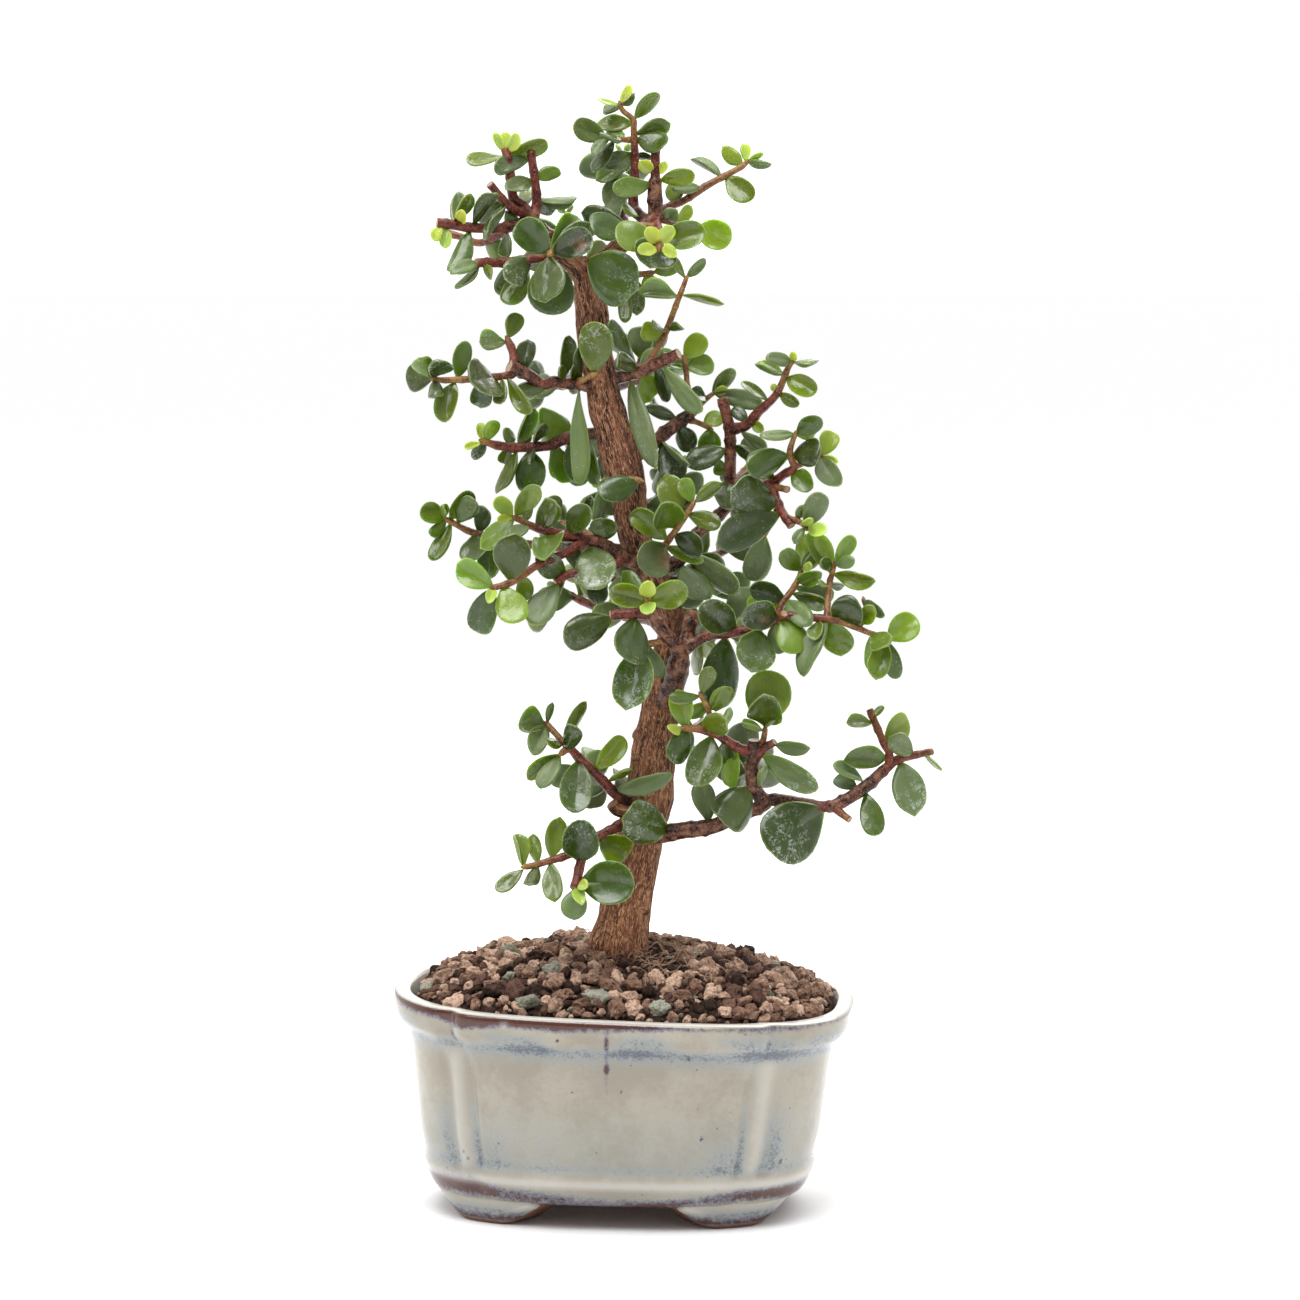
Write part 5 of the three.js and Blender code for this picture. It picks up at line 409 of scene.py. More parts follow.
       [[79.5, -38.6, -5, 2.9], [79.7, -34.4, -5, 2.7], [77.6, -30.3, -4, 2.6], [73.2, -19.8, -2, 2.5]],
       [[38, -51, -8, 5], [35.5, -47, -9, 4.8], [34, -44, -10, 4.7], [34.3, -35.7, -11, 4.6],
         [34.6, -30, -12, 4]],
       [[34.6, -37.5, -11, 3.6], [36.8, -34, -12, 3.1], [41.6, -30.6, -14, 2.6]],
       [[34.3, -34.5, -11, 3.6], [28.3, -32, -13, 3.1], [23, -28.6, -14, 2.8], [16.7, -26.5, -15, 2.6],
         [10, -26, -16, 2]],
       [[36.4, -34.4, -12, 2.4], [38, -29, -12, 2.1], [38.5, -25, -12, 1.7]],
       [[20, -27.5, -14.6, 2.2], [19.6, -20.7, -16, 1.9], [16.3, -14, -16, 1.6]],
       [[34.2, -42, -10, 3], [32, -40, 4, 2.6], [30, -37, 17, 2.2], [28, -33, 28, 1.7]],
     ],
     "grown": [[8, 13, 10]],
     "leaves": [
       [74.8, -23.8, -3, 65.5, -24.4, -8, 4.6, 50, "m"], [74.6, -23, -3, 77.5, -18.1, -6, 3.6, 35, "m"],
       [78.3, -31.5, -4, 86.2, -22.8, 3, 9, 0, "b"], [89, -35, -1, 79.8, -29.2, -7, 8, 10, "g"],
       [79.5, -36, -6, 64.8, -37, -10, 8.6, 10, "m"], [73.5, -44.2, -9, 60.8, -37.9, -13, 6, 45, "g"],
       [70.5, -46.6, -9, 61.3, -42.4, -5, 6, 10, "g"], [91, -34.6, 0, 97.5, -40.6, -2, 3.6, 50, "m"],
       [83.8, -36.4, -4, 88, -54.2, -8, 11.8, 0, "g"], [71.8, -46.2, -9, 75.4, -62.5, -12, 8, 10, "m"],
       [60.8, -52.6, -12, 38.4, -66.5, -16, 21.5, 0, "d"], [40.8, -31.2, -14, 53.2, -33, -17, 5.8, 20, "g"],
       [36, -35, -13, 56.4, -46.2, -18, 11.6, 10, "g"], [34, -45, -12, 24.3, -58.2, -17, 15.8, 0, "d"],
       [28.6, -32.2, -12, 26, -45.5, -7, 6.8, 10, "b"], [20, -58.6, -7, 16.8, -43.6, -4, 9, 10, "g"],
       [36, -47.6, -10, 38.6, -38.3, -14, 4.6, 55, "g"], [10.4, -26, -16, 5.6, -26.6, -20, 4, 0, "y"],
       [17, -26.5, -16, 26.2, -23.2, -21, 8.6, 0, "m"], [13, -26.3, -15.6, 7, -37.6, -18, 8.6, 0, "d"],
       [21, -27.8, -15, 15.3, -46, -19, 12.2, 0, "d"], [24.6, -29.7, -13, 26, -38.2, -9, 7, 10, "d"],
       [22, -28, -13.6, 27.6, -19.3, -8, 5, 45, "b"], [38.4, -25.2, -12, 40.5, -6.8, -9, 16, 0, "b"],
       [38.4, -25.4, -12.4, 38, -14.3, -19, 13, 0, "m"], [38.3, -26, -12, 30.1, -24.5, -15, 4, 65, "m"],
       [38.5, -25.6, -12, 42.7, -22.9, -16, 3.6, 65, "m"], [16.5, -14.5, -16, 20.4, -5.4, -18, 4.8, 30, "m"],
       [16.4, -14.2, -16, 6.1, -15.9, -19, 5, 30, "m"], [12, -26, -15.5, 9, -13.3, -12, 8.6, 0, "b"],
       [19.2, -19.5, -15, 12.3, -20.6, -10, 6, 10, "m"], [19.5, -20.3, -16, 27.4, -12.4, -14, 7, 10, "m"],
       [8, -60.7, -9, -9.4, -56, -16, 15.8, 0, "d"],
     ] },
    {"name": "spray_low_left",
     "stems": [
       [[-3, -54, -3, 4.4], [-10.4, -49, -6, 3.8], [-16.3, -43, -8, 3.4], [-23.8, -35.7, -10, 3],
         [-27, -33, -10, 2.7], [-30.5, -35, -12, 2.1]],
       [[-26.6, -33.3, -10, 2.6], [-29.6, -30, -9, 2.3], [-33.8, -25.2, -7, 2], [-35, -23.8, -6, 1.7]],
       [[-12, -47.4, -6.6, 3], [-14, -45, 6, 2.6], [-18, -42, 17, 2.2], [-23, -40, 27, 1.7]],
     ],
     "grown": [[2, 13, 10]],
     "leaves": [
       [-35.2, -24.3, -6, -44, -24.6, -10, 9.2, 25, "m"], [-35, -23.8, -6, -32.5, -17.4, -8, 3.2, 20, "m"],
       [-28.7, -31, -10, -21.2, -17.2, -6, 6.6, 25, "m"],
       [-27.4, -33.6, -12, -24.4, -26.2, -17, 7.6, 0, "d"],
       [-34.6, -24.6, -7, -39.2, -34.7, -11, 7.2, 10, "g"], [-30.6, -35, -12, -40.5, -43.2, -9, 6, 20, "m"],
       [-30.5, -35, -12, -36.8, -46.2, -16, 7.6, 15, "g"], [-29, -31, -10, -34.2, -31, -15, 4.6, 10, "m"],
       [-18.6, -40.6, -9, -8.4, -28.8, -5, 8, 10, "b"], [-14.4, -45, -8, -6.3, -38.8, -10.6, 4.6, 45, "m"],
       [-12, -47.6, -8, 6.1, -42.7, -14, 6.6, 20, "g"], [-24, -35.8, -12, -25.8, -55.2, -16, 11.6, 0, "d"],
       [-11.8, -47.8, -8, -24.2, -57, -11, 7, 20, "g"],
     ] },
    {"name": "spray_base_left",
     "stems": [
       [[-5, -56, -5, 3.8], [-9.6, -58, -9, 3.6], [-13, -60, -11, 3.4], [-17, -62, -12, 3.2],
         [-22, -66, -14, 3], [-28.5, -68.7, -15, 2.7],
         [-38.9, -71.8, -17, 2.2], [-43, -72.4, -18, 1.8]],
       [[-21.5, -65.5, -14, 3.3], [-23.3, -71.6, -17, 3.2], [-25, -79.5, -20, 3.1]],
     ],
     "leaves": [
       [-42.9, -72.4, -18, -44.8, -60.8, -15, 5.6, 55, "m"],
       [-43, -72.4, -18, -51.1, -81.2, -20, 5.6, 35, "m"],
       [-32.8, -70, -16, -30.3, -56, -14, 7.4, 10, "m"], [-37.5, -71.4, -16, -39.3, -61.8, -11, 5, 30, "m"],
       [-37, -71.4, -18, -40.5, -78.7, -24, 6, 20, "d"], [-33, -70, -17, -31.2, -84.2, -20, 6.6, 20, "m"],
       [-25, -78.6, -20, -25.5, -90.2, -22, 9, 10, "g"], [-24.9, -79.3, -20.5, -20.1, -78.8, -25, 4, 0, "y"],
       [-24.9, -79.4, -20.5, -22.7, -85, -25, 4.6, 0, "y"],
       [-23.3, -71.6, -18, -24, -56.6, -22, 13.6, 0, "d"],
       [-24.4, -77.3, -20, -4.6, -77.2, -22, 15.6, 0, "d"],
       [-17.4, -62.3, -12, -7.2, -68.8, -13, 12, 0, "m"],
     ] },
    {"name": "spray_left_middle",
     "stems": [
       [[-12.5, 72, 2, 4.2], [-20, 72, 5, 4], [-27.7, 70.7, 7, 3.8], [-33.9, 68.2, 8, 3.6],
         [-44.3, 67.5, 8, 3.2], [-50.6, 68.2, 7, 3], [-57, 70, 6, 2]],
       [[-27.7, 70.7, 7, 2.8], [-27, 68, 18, 2.4], [-24, 64, 28, 2], [-22, 62, 36, 1.5]],
     ],
     "grown": [[1, 12, 10]],
     "leaves": [
       [-56.7, 70, 6, -57, 76.2, 4, 3.8, 20, "y"], [-56.8, 69.9, 6, -62.2, 66.7, 3, 3.4, 20, "y"],
       [-55, 69.5, 6, -51.2, 76.8, 3, 5.4, 10, "b"], [-55, 69.3, 6, -59.8, 63.6, 9, 4.5, 35, "d"],
       [-43.9, 67.8, 8, -39, 80.4, 11, 5.5, 40, "m"], [-44.3, 67, 8, -50.2, 51.8, 5, 6.5, 35, "m"],
       [-40, 67.2, 7, -40, 52, 3, 11.2, 0, "d"], [-33, 69, 9, -31.8, 80.2, 13, 11.6, 0, "b"],
       [-38.8, 67.8, 6, -35.2, 75.8, 1, 5.5, 50, "d"], [-39, 67.6, 6, -40, 62.3, 1, 4, 45, "d"],
       [-33, 68.2, 9, -26.7, 56.4, 12, 7.6, 10, "b"], [-31.5, 69, 9, -29.5, 56.8, 15, 7, 10, "b"],
       [-27, 70.4, 7, -24.2, 55.8, 5, 7, 20, "d"], [-46.5, 68, 8, -47.5, 74.2, 12, 4.6, 10, "m"],
       [-41.5, 67.5, 9, -41.5, 73.7, 13, 5, 10, "m"], [-47.5, 67.5, 8, -48.8, 61.8, 12, 4.6, 10, "m"],
       [-21, 71.6, 5.5, -17.5, 54.8, 8, 6, 40, "m"],
     ] },
    {"name": "spray_left_low",
     "stems": [
       [[-4.2, 28.8, -2.6, 5], [-11.3, 32.3, -6, 4.4], [-15.4, 34.9, -7, 4.2], [-21.7, 36.9, -8, 3.6],
         [-34, 39.5, -10, 3.1], [-38, 40.7, -10, 2.7], [-46.4, 44.8, -11, 1.8]],
       [[-17.8, 35.6, -7, 2.6], [-19.2, 37.4, -4.5, 2.3], [-23.3, 40.3, -2, 2.1], [-30, 43, 1, 1.7]],
       [[-21, 36.7, -8, 3], [-30, 31.5, -14, 2.8], [-37.7, 28.2, -18, 2.6], [-46, 22.7, -21, 2.4],
         [-53.5, 20.4, -22, 2]],
       [[-8.5, 31, -5.5, 3.8], [-14, 27, -9, 3.4], [-20, 25.5, -12, 3.2], [-27, 25.3, -13, 3],
         [-31.5, 22.3, -14, 2.8]],
     ],
     "leaves": [
       [-46.4, 45, -11, -52.5, 51.2, -15, 6, 0, "y"], [-46.4, 44.7, -11, -51.7, 43.4, -15, 2.8, 10, "y"],
       [-46, 44.3, -11, -56.4, 34.1, -9, 8.4, 10, "b"], [-45.2, 44.6, -11, -36.6, 55.2, -15, 7.2, 10, "m"],
       [-42, 43, -10, -40.7, 51.2, -3, 6, 30, "m"], [-38.2, 41, -10, -30, 51, -6, 7, 20, "d"],
       [-36, 40.5, -11, -31, 50.5, -18, 8, 0, "m"], [-40.5, 41.6, -11, -46.7, 37.3, -15, 6, 20, "g"],
       [-34, 40, -12, -35.2, 29.5, -20, 11.8, 0, "m"], [-28, 38.6, -10, -19.8, 48, -13, 9, 0, "d"],
       [-23.5, 40.6, -1, -19.5, 51.2, 2, 6, 20, "d"], [-15.8, 35.4, -6, -15, 44.5, -2, 9.8, 0, "m"],
       [-19.8, 36.2, -10, -16.4, 20, -18, 14.4, 0, "d"], [-17.3, 36.6, -5, -15, 57.4, 3, 6, 50, "g"],
       [-47, 22.4, -21, -45, 38.4, -25, 12.6, 0, "d"], [-53.2, 20.4, -22, -54, 15.3, -27, 4.2, 0, "y"],
       [-53.4, 20.6, -22, -64.2, 28.7, -20, 9.6, 0, "b"], [-52.6, 20.5, -21, -57.6, 5.5, -17, 10.6, 0, "d"],
       [-49, 21.7, -22, -43.5, 8.6, -25, 10.8, 0, "b"], [-43.5, 24.3, -20, -41, 17.3, -14, 6, 10, "m"],
       [-27, 25.4, -14, -38.2, 30.7, -17, 9, 0, "d"], [-31.3, 22.4, -14, -39.8, 8.6, -20, 8.5, 55, "g"],
       [-28, 25, -13, -39.6, 6.1, -12, 9, 15, "g"], [-30, 23.3, -13, -37.7, 32.7, -8, 5, 20, "m"],
       [-23.6, 25.4, -11, -28.6, 36.7, -7, 7, 10, "d"], [-20, 25.4, -12, -16, 15.3, -14, 7, 10, "d"],
     ] },
    {"name": "spray_left_back",
     "stems": [
       [[-3, 32, 4, 4.2], [-14, 34, 11, 3.8], [-28, 34, 17, 3.2], [-42, 35.5, 19, 2.8],
         [-49, 37.4, 18, 2.6], [-59.3, 39.2, 17, 2.4], [-69, 44.3, 15, 1.8]],
       [[-24, 34, 15.5, 2.8], [-27, 37, 26, 2.4], [-30, 41, 36, 1.8]],
     ],
     "grown": [[1, 11, 8]],
     "leaves": [
       [-68.9, 44, 15, -77, 47, 13, 8, 0, "m"], [-67, 43, 15, -59.2, 53, 11, 7.4, 10, "m"],
       [-64.3, 41.6, 15, -58.2, 51.2, 7, 7.6, 10, "m"], [-68.7, 44.2, 15, -69.3, 48.7, 11, 4, 60, "m"],
       [-68, 43.6, 15, -73.7, 37.8, 12, 4.2, 10, "m"], [-66.4, 42.7, 15, -72.8, 29.3, 12, 6.6, 15, "m"],
       [-57, 38.9, 17, -55, 48.2, 20, 7, 10, "d"], [-58.5, 39, 16, -59.5, 29.3, 10, 10, 0, "d"],
       [-52.5, 38, 17, -53.3, 23.1, 14, 8.6, 10, "m"],
     ] },
    {"name": "spray_back_top",
     "stems": [
       [[-21, 125, 2, 4.6], [-23, 128, 12, 3.8], [-26, 133, 21, 3], [-28, 139, 30, 2.4],
         [-28, 146, 37, 1.8]],
       [[-23, 128, 12, 3], [-32, 128, 19, 2.4], [-41, 130, 25, 1.8]],
     ],
     "grown": [[0, 13, 10], [1, 13, 8]],
     "leaves": [] },
    {"name": "spray_back_crown",
     "stems": [
       [[-10, 136, 2, 4.4], [-9, 141, 12, 3.6], [-9, 149, 20, 2.8], [-10, 158, 27, 2.2], [-9, 166, 31, 1.6]],
     ],
     "grown": [[0, 13, 8]],
     "leaves": [] },
    {"name": "spray_back_upper",
     "stems": [
       [[-16, 86, 2, 4.4], [-8, 89, 14, 3.6], [2, 92, 27, 2.8], [8, 96, 38, 1.9]],
     ],
     "grown": [[0, 14, 10]],
     "leaves": [] },
    {"name": "spray_back_left",
     "stems": [
       [[2, 10, 3, 4.4], [-10, 12, 15, 3.6], [-22, 16, 27, 2.8], [-31, 21, 38, 1.9]],
     ],
     "grown": [[0, 14, 13]],
     "leaves": [] },
    {"name": "spray_back_right",
     "stems": [
       [[4, 20, 3, 4.4], [14, 27, 14, 3.6], [26, 34, 26, 2.8], [35, 41, 37, 1.9]],
     ],
     "grown": [[0, 14, 12]],
     "leaves": [] },
    {"name": "spray_back_middle",
     "stems": [
       [[-6.5, 47, 3, 4.4], [-2, 48, 14, 3.8], [4, 51, 26, 3], [9, 56, 35, 2.4], [12, 62, 40, 1.8]],
       [[-2, 48, 14, 3], [-10, 50, 24, 2.4], [-16, 55, 34, 1.8]],
     ],
     "grown": [[0, 12, 10], [1, 12, 8]],
     "leaves": [] },
    {"name": "spray_back_low",
     "stems": [
       [[4, 17, 3, 4.6], [-2, 19, 14, 3.8], [-9, 22, 25, 3], [-17, 27, 35, 2.4], [-24, 33, 43, 1.8]],
       [[-2, 19, 14, 3], [7, 18, 24, 2.6], [15, 17, 34, 2.2], [22, 20, 43, 1.7]],
     ],
     "grown": [[0, 12, 10], [1, 13, 10]],
     "leaves": [] },
    {"name": "spray_back_base",
     "stems": [
       [[1, -30, 4, 4.4], [3, -29, 15, 3.6], [8, -27, 27, 2.8], [14, -26, 36, 2.2], [18, -23, 44, 1.7]],
     ],
     "grown": [[0, 13, 10]],
     "leaves": [] },
]


# ---------------------------------------------------------------- vectors, the elevation, seeded draws
def add(a, b, s=1.0):
    return (a[0] + b[0] * s, a[1] + b[1] * s, a[2] + b[2] * s)


def sub(a, b):
    return (a[0] - b[0], a[1] - b[1], a[2] - b[2])


def dot(a, b):
    return a[0] * b[0] + a[1] * b[1] + a[2] * b[2]


def cross(a, b):
    return (a[1] * b[2] - a[2] * b[1], a[2] * b[0] - a[0] * b[2], a[0] * b[1] - a[1] * b[0])


def times(a, s):
    return (a[0] * s, a[1] * s, a[2] * s)


def length(a):
    return math.sqrt(dot(a, a))


def unit(a):
    return times(a, 1 / length(a))


def mix(a, b, t):
    return add(times(a, 1 - t), b, t)


def held(value, low=0.0, high=1.0):
    """The value, or the limit that it is past."""
    return max(low, min(high, value))


RIGHT = (math.cos(TREE_TURN), math.sin(TREE_TURN), 0.0)
AWAY = (-RIGHT[1] * math.cos(EYE_TILT), RIGHT[0] * math.cos(EYE_TILT), -math.sin(EYE_TILT))
UP = cross(RIGHT, AWAY)
LOOK_AT = (-POT_CENTRE_U * RIGHT[0], -POT_CENTRE_U * RIGHT[1], LOOK_AT_HEIGHT)


def from_front(row):
    """The point at u, v, w: on the sight line through u, v, at its depth."""
    w = row[2]
    depth = -FRONT_FREE + (w + FRONT_FREE) * FRONT_SPREAD if w < -FRONT_FREE else w
    k = 1 + depth / EYE_DISTANCE
    return add(add(add(LOOK_AT, RIGHT, row[0] * k), UP, row[1] * k), AWAY, depth)


def draws_from(seed):
    """The generator of the part's source, on floats as there, so that both make the same draws."""
    state = float(seed)

    def draw():
        nonlocal state
        state = math.fmod(state * 1103515245.0 + 12345.0, 2147483648.0)
        return state / 2147483648.0

    return draw


# ---------------------------------------------------------------- wood and leaves as numbers
THIN_SIDES, THICK_SIDES = 4, 5  # how many facets the solid stems have round them
TIP_MARGIN = 0.5  # how far from a stem's tip a leaf leaves it, beyond the tip's radius
LEAST_SLANT = 0.6  # of a leaf to its stem, as a sine
LEAF_SIZE = 0.8, 0.4  # least, and how much a draw may add
LEAF_FORWARD = 0.35, 0.3
LEAF_BROADNESS = 0.66, 0.2
PAIR_STRETCH = 0.85, 0.3
LEAF_SWAY = 0.5


def wood_of(path):
    """The path's places in the layout, and the radius at each."""
    return [(from_front(row), row[3] / 2) for row in path]


def frames_of(wood):
    """The two directions across the wood at each point, turned as little as possible from point to point."""
    across = None
    frames = []
    for i in range(len(wood)):
        along = unit(sub(wood[min(i + 1, len(wood) - 1)][0], wood[max(i - 1, 0)][0]))
        hint = across or ((0, 1, 0) if abs(along[1]) < 0.9 else (1, 0, 0))
        across = unit(add(hint, along, -dot(hint, along)))
        frames.append((across, cross(along, across)))
    return frames


def solid_stem(path):
    """A stem as the solids have it: its wood, the directions across it, and how many facets it has."""
    wood = wood_of(path)
    return wood, frames_of(wood), THIN_SIDES if path[0][3] < THICK_STEM else THICK_SIDES


SPRAY_WOOD = {spray["name"]: [solid_stem(path) for path in spray["stems"]] for spray in SPRAYS}


def root_on(node, near, tip):
    """Where a leaf with this tip leaves the stem that is nearest to `near`."""
    best = None
    for wood, frames, sides in SPRAY_WOOD[node]:
        for i in range(1, len(wood)):
            (start, start_radius), (end, end_radius) = wood[i - 1], wood[i]
            span = sub(end, start)
            most = max(1 - (end_radius + TIP_MARGIN) / length(span), 0) if i == len(wood) - 1 else 1
            t = held(dot(sub(near, start), span) / dot(span, span), 0, most)
            at = add(start, span, t)
            radius = start_radius + (end_radius - start_radius) * t
            gap = length(sub(near, at)) - radius
            if best is None or gap < best[0]:
                best = (gap, at, radius, unit(span), frames[i - 1 if t < 0.5 else i], sides)
    _, at, radius, along, (across, other), sides = best
    out = unit(sub(tip, at))
    facet = 2 * math.pi / sides
    angle = math.atan2(dot(out, other), dot(out, across))
    from_middle = angle - (math.floor(angle / facet) + 0.5) * facet
    surface = radius * math.cos(facet / 2) / math.cos(from_middle)
    slant = max(length(cross(out, along)), LEAST_SLANT)
    return add(at, out, max(surface / slant - ROOT_SINK, 0))


class Leaf:
    """A leaf's place: its base, its axis, its side, and the normal of the face that looks towards `facing`."""

    def __init__(self, node, base, tip, width, facing, roll, age):
        self.node, self.base, self.width, self.age = node, base, width, age
        self.axis = unit(sub(tip, base))
        across = unit(cross(self.axis, facing))
        turn = math.radians(roll)
        self.normal = add(times(cross(across, self.axis), math.cos(turn)), across, math.sin(turn))
        self.side = cross(self.axis, self.normal)
        self.length = length(sub(tip, base))
        self.middle = self.point(self.length / 2, 0)
        self.half = self.half_outline()
        self.outline = self.half + [(a, -b) for a, b in reversed(self.half[1:])]

    def point(self, along, across):
        return add(add(self.base, self.axis, along), self.side, across)

    def half_outline(self):
        stations = SMALL_STATIONS if self.width < BROAD_LEAF else BROAD_STATIONS
        return [(s * self.length, share * self.width / 2) for s, share in [[0, 0], *stations]]

    def local(self, point):
        d = sub(point, self.base)
        return dot(d, self.axis), dot(d, self.side), dot(d, self.normal)


def leaf_between(node, row, bend, share):
    """The leaf of a row, with its tip moved away by `bend` and the whole made smaller by `share`."""
    bu, bv, bw, tu, tv, tw, width, roll, age = row
    near = from_front((bu, bv, bw))
    tip = mix(near, from_front((tu, tv, tw + bend)), share)
    return Leaf(node, root_on(node, near, tip), tip, width * share, times(AWAY, -1), roll, age)


def drawn(spread, draw):
    """A number from the least of its spread upwards."""
    least, more = spread
    return least + more * draw()


def grown_leaves(path, leaf_length, start, draw):
    """Leaves in opposite pairs, each pair at right angles to the last, along a shoot."""
    leaves = []
    points = wood_of(path)
    walked, following, quarter = 0, start, 0
    for i in range(1, len(points)):
        begin = points[i - 1][0]
        step = length(sub(points[i][0], begin))
        along = unit(sub(points[i][0], begin))
        level = unit(cross(along, (0, 0, 1)))
        other = cross(level, along)
        while following <= walked + step:
            at = add(begin, along, following - walked)
            side = other if quarter % 2 else level
            for sign in (1, -1):
                size = leaf_length * drawn(LEAF_SIZE, draw)
                out = add(times(side, sign), along, drawn(LEAF_FORWARD, draw))
                sway = (draw() - 0.5, draw() - 0.5, draw() - 0.3)
                tip = add(at, unit(add(out, sway, LEAF_SWAY)), size)
                leaves.append((at, tip, size * drawn(LEAF_BROADNESS, draw), along))
            following += PAIR_SPACING * drawn(PAIR_STRETCH, draw)
            quarter += 1
        walked += step
    return leaves


# ---------------------------------------------------------------- leaves that stay clear of each other
SHARED_ROOT = 0.4  # the share of their length that two leaves of one spray may share
SAME_SPRAY_HALF = 0.3  # half the thickness that keeps two leaves of one spray apart
OTHER_SPRAY_THICKNESS = 0.8  # the same for two sprays, against the leaves' thickness
OVER_REACH = 3  # spare distance before two leaves are looked at closely
WOOD_OVER_REACH = 4
GROWN_SEED = 7
GROWN_DARK = 0.6  # the share of grown leaves that are dark
GROWN_BEND = 0.7  # how far their tips are moved, against the others'


def crosses(leaf, a, b, half_height, out, least):
    """Does the line from a to b, in the leaf's own frame, pass through its slab and grown outline?"""
    tests = [
        (a[2] - half_height, b[2] - half_height),
        (-a[2] - half_height, -b[2] - half_height),
        (least * leaf.length - out - a[0], least * leaf.length - out - b[0]),
        (a[0] - leaf.length - out, b[0] - leaf.length - out),
    ]
    if any(fa > 0 and fb > 0 for fa, fb in tests):
        return False
    for (x0, y0), (x1, y1) in zip(leaf.half, leaf.half[1:]):
        size = math.hypot(x1 - x0, y1 - y0)
        nx, ny = (y0 - y1) / size, (x1 - x0) / size
        limit = nx * x0 + ny * y0 + out
        tests.append((nx * a[0] + ny * a[1] - limit, nx * b[0] + ny * b[1] - limit))
        tests.append((nx * a[0] - ny * a[1] - limit, nx * b[0] - ny * b[1] - limit))
    t0, t1 = 0.0, 1.0
    for fa, fb in tests:
        if fa > 0 and fb > 0:
            return False
        if fa > 0:
            t0 = max(t0, fa / (fa - fb))
        elif fb > 0:
            t1 = min(t1, fa / (fa - fb))
        if t0 > t1:
            return False
    return True


def leaves_meet(a, b):
    """Two leaves of one spray may touch near their roots; leaves of two sprays keep a gap all along."""
    reach = (a.length + b.length) / 2 + OVER_REACH
    d = sub(a.middle, b.middle)
    if dot(d, d) > reach * reach:
        return False
    same = a.node == b.node
    least = SHARED_ROOT if same else 0
    thick = (LEAF_AGE[a.age][0] + LEAF_AGE[b.age][0]) / 2
    half_height = SAME_SPRAY_HALF if same else thick * OTHER_SPRAY_THICKNESS + GAP
    for one, two in ((a, b), (b, a)):
        rim = [two.local(one.point(*p)) for p in one.outline if p[0] >= least * one.length]
        edges = list(zip(rim, rim[1:] + rim[:1]))
        edges.append((two.local(one.point(least * one.length, 0)), two.local(one.point(one.length, 0))))
        if any(crosses(two, p, q, half_height, 0 if same else GAP, least) for p, q in edges):
            return True
    return False


def leaf_meets_wood(leaf, wood):
    """Does the leaf come nearer than the gap to another node's wood?"""
    for (start, start_radius), (end, end_radius) in zip(wood, wood[1:]):
        radius = max(start_radius, end_radius)
        span = sub(end, start)
        t = held(dot(sub(leaf.middle, start), span) / dot(span, span))
        if length(sub(leaf.middle, add(start, span, t))) > leaf.length + 2 * radius + WOOD_OVER_REACH:
            continue
        reach = LEAF_AGE[leaf.age][0] / 2 + radius + GAP
        if crosses(leaf, leaf.local(start), leaf.local(end), reach, radius + GAP, 0):
            return True
    return False


def place_leaves():
    """All the leaves, where the part's source puts them."""
    wood = [(spray["name"], wood_of(path)) for spray in SPRAYS for path in spray["stems"]]
    wood += [("trunk", wood_of(path)) for path in [TRUNK_PATH, *TRUNK_STUBS]]
    placed = []

    def try_leaf(make):
        for share in LENGTH_TRIES:
            for bend in DEPTH_TRIES:
                leaf = make(bend, share)
                if any(node != leaf.node and leaf_meets_wood(leaf, path) for node, path in wood):
                    continue
                if not any(leaves_meet(leaf, other) for other in placed):
                    placed.append(leaf)
                    return

    for spray in SPRAYS:
        for row in spray["leaves"]:
            try_leaf(lambda bend, share: leaf_between(spray["name"], row, bend, share))
    draw = draws_from(GROWN_SEED)
    for spray in SPRAYS:
        node = spray["name"]
        for stem, leaf_length, start in spray.get("grown", []):
            for base, tip, width, along in grown_leaves(spray["stems"][stem], leaf_length, start, draw):
                age = "d" if draw() < GROWN_DARK else "m"

                def grown(bend, share):
                    end = mix(base, add(tip, AWAY, bend * GROWN_BEND), share)
                    return Leaf(node, root_on(node, base, end), end, width * share, along, 0, age)

                try_leaf(grown)
    return placed


# ---------------------------------------------------------------- pieces in the frame
pot_low, pot_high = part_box("pot")
SHIFT = np.array([(pot_low.x + pot_high.x) / 2, (pot_low.y + pot_high.y) / 2, 0.0])
MARK_KINDS = {1: ("FLOAT", "value"), 3: ("FLOAT_VECTOR", "vector"), 4: ("FLOAT_COLOR", "color")}


def to_frame(points):
    """Layout millimetres as metres in the frame, where the pot's middle says how far the two differ."""
    return np.asarray(points, float).reshape(-1, 3) / 1000 + SHIFT


def mesh_object(name, points, faces):
    """An object in the scene, from points in the layout."""
    mesh = bpy.data.meshes.new(name)
    mesh.from_pydata(to_frame(points).tolist(), [], faces)
    obj = bpy.data.objects.new(name, mesh)
    bpy.context.scene.collection.objects.link(obj)
    return obj


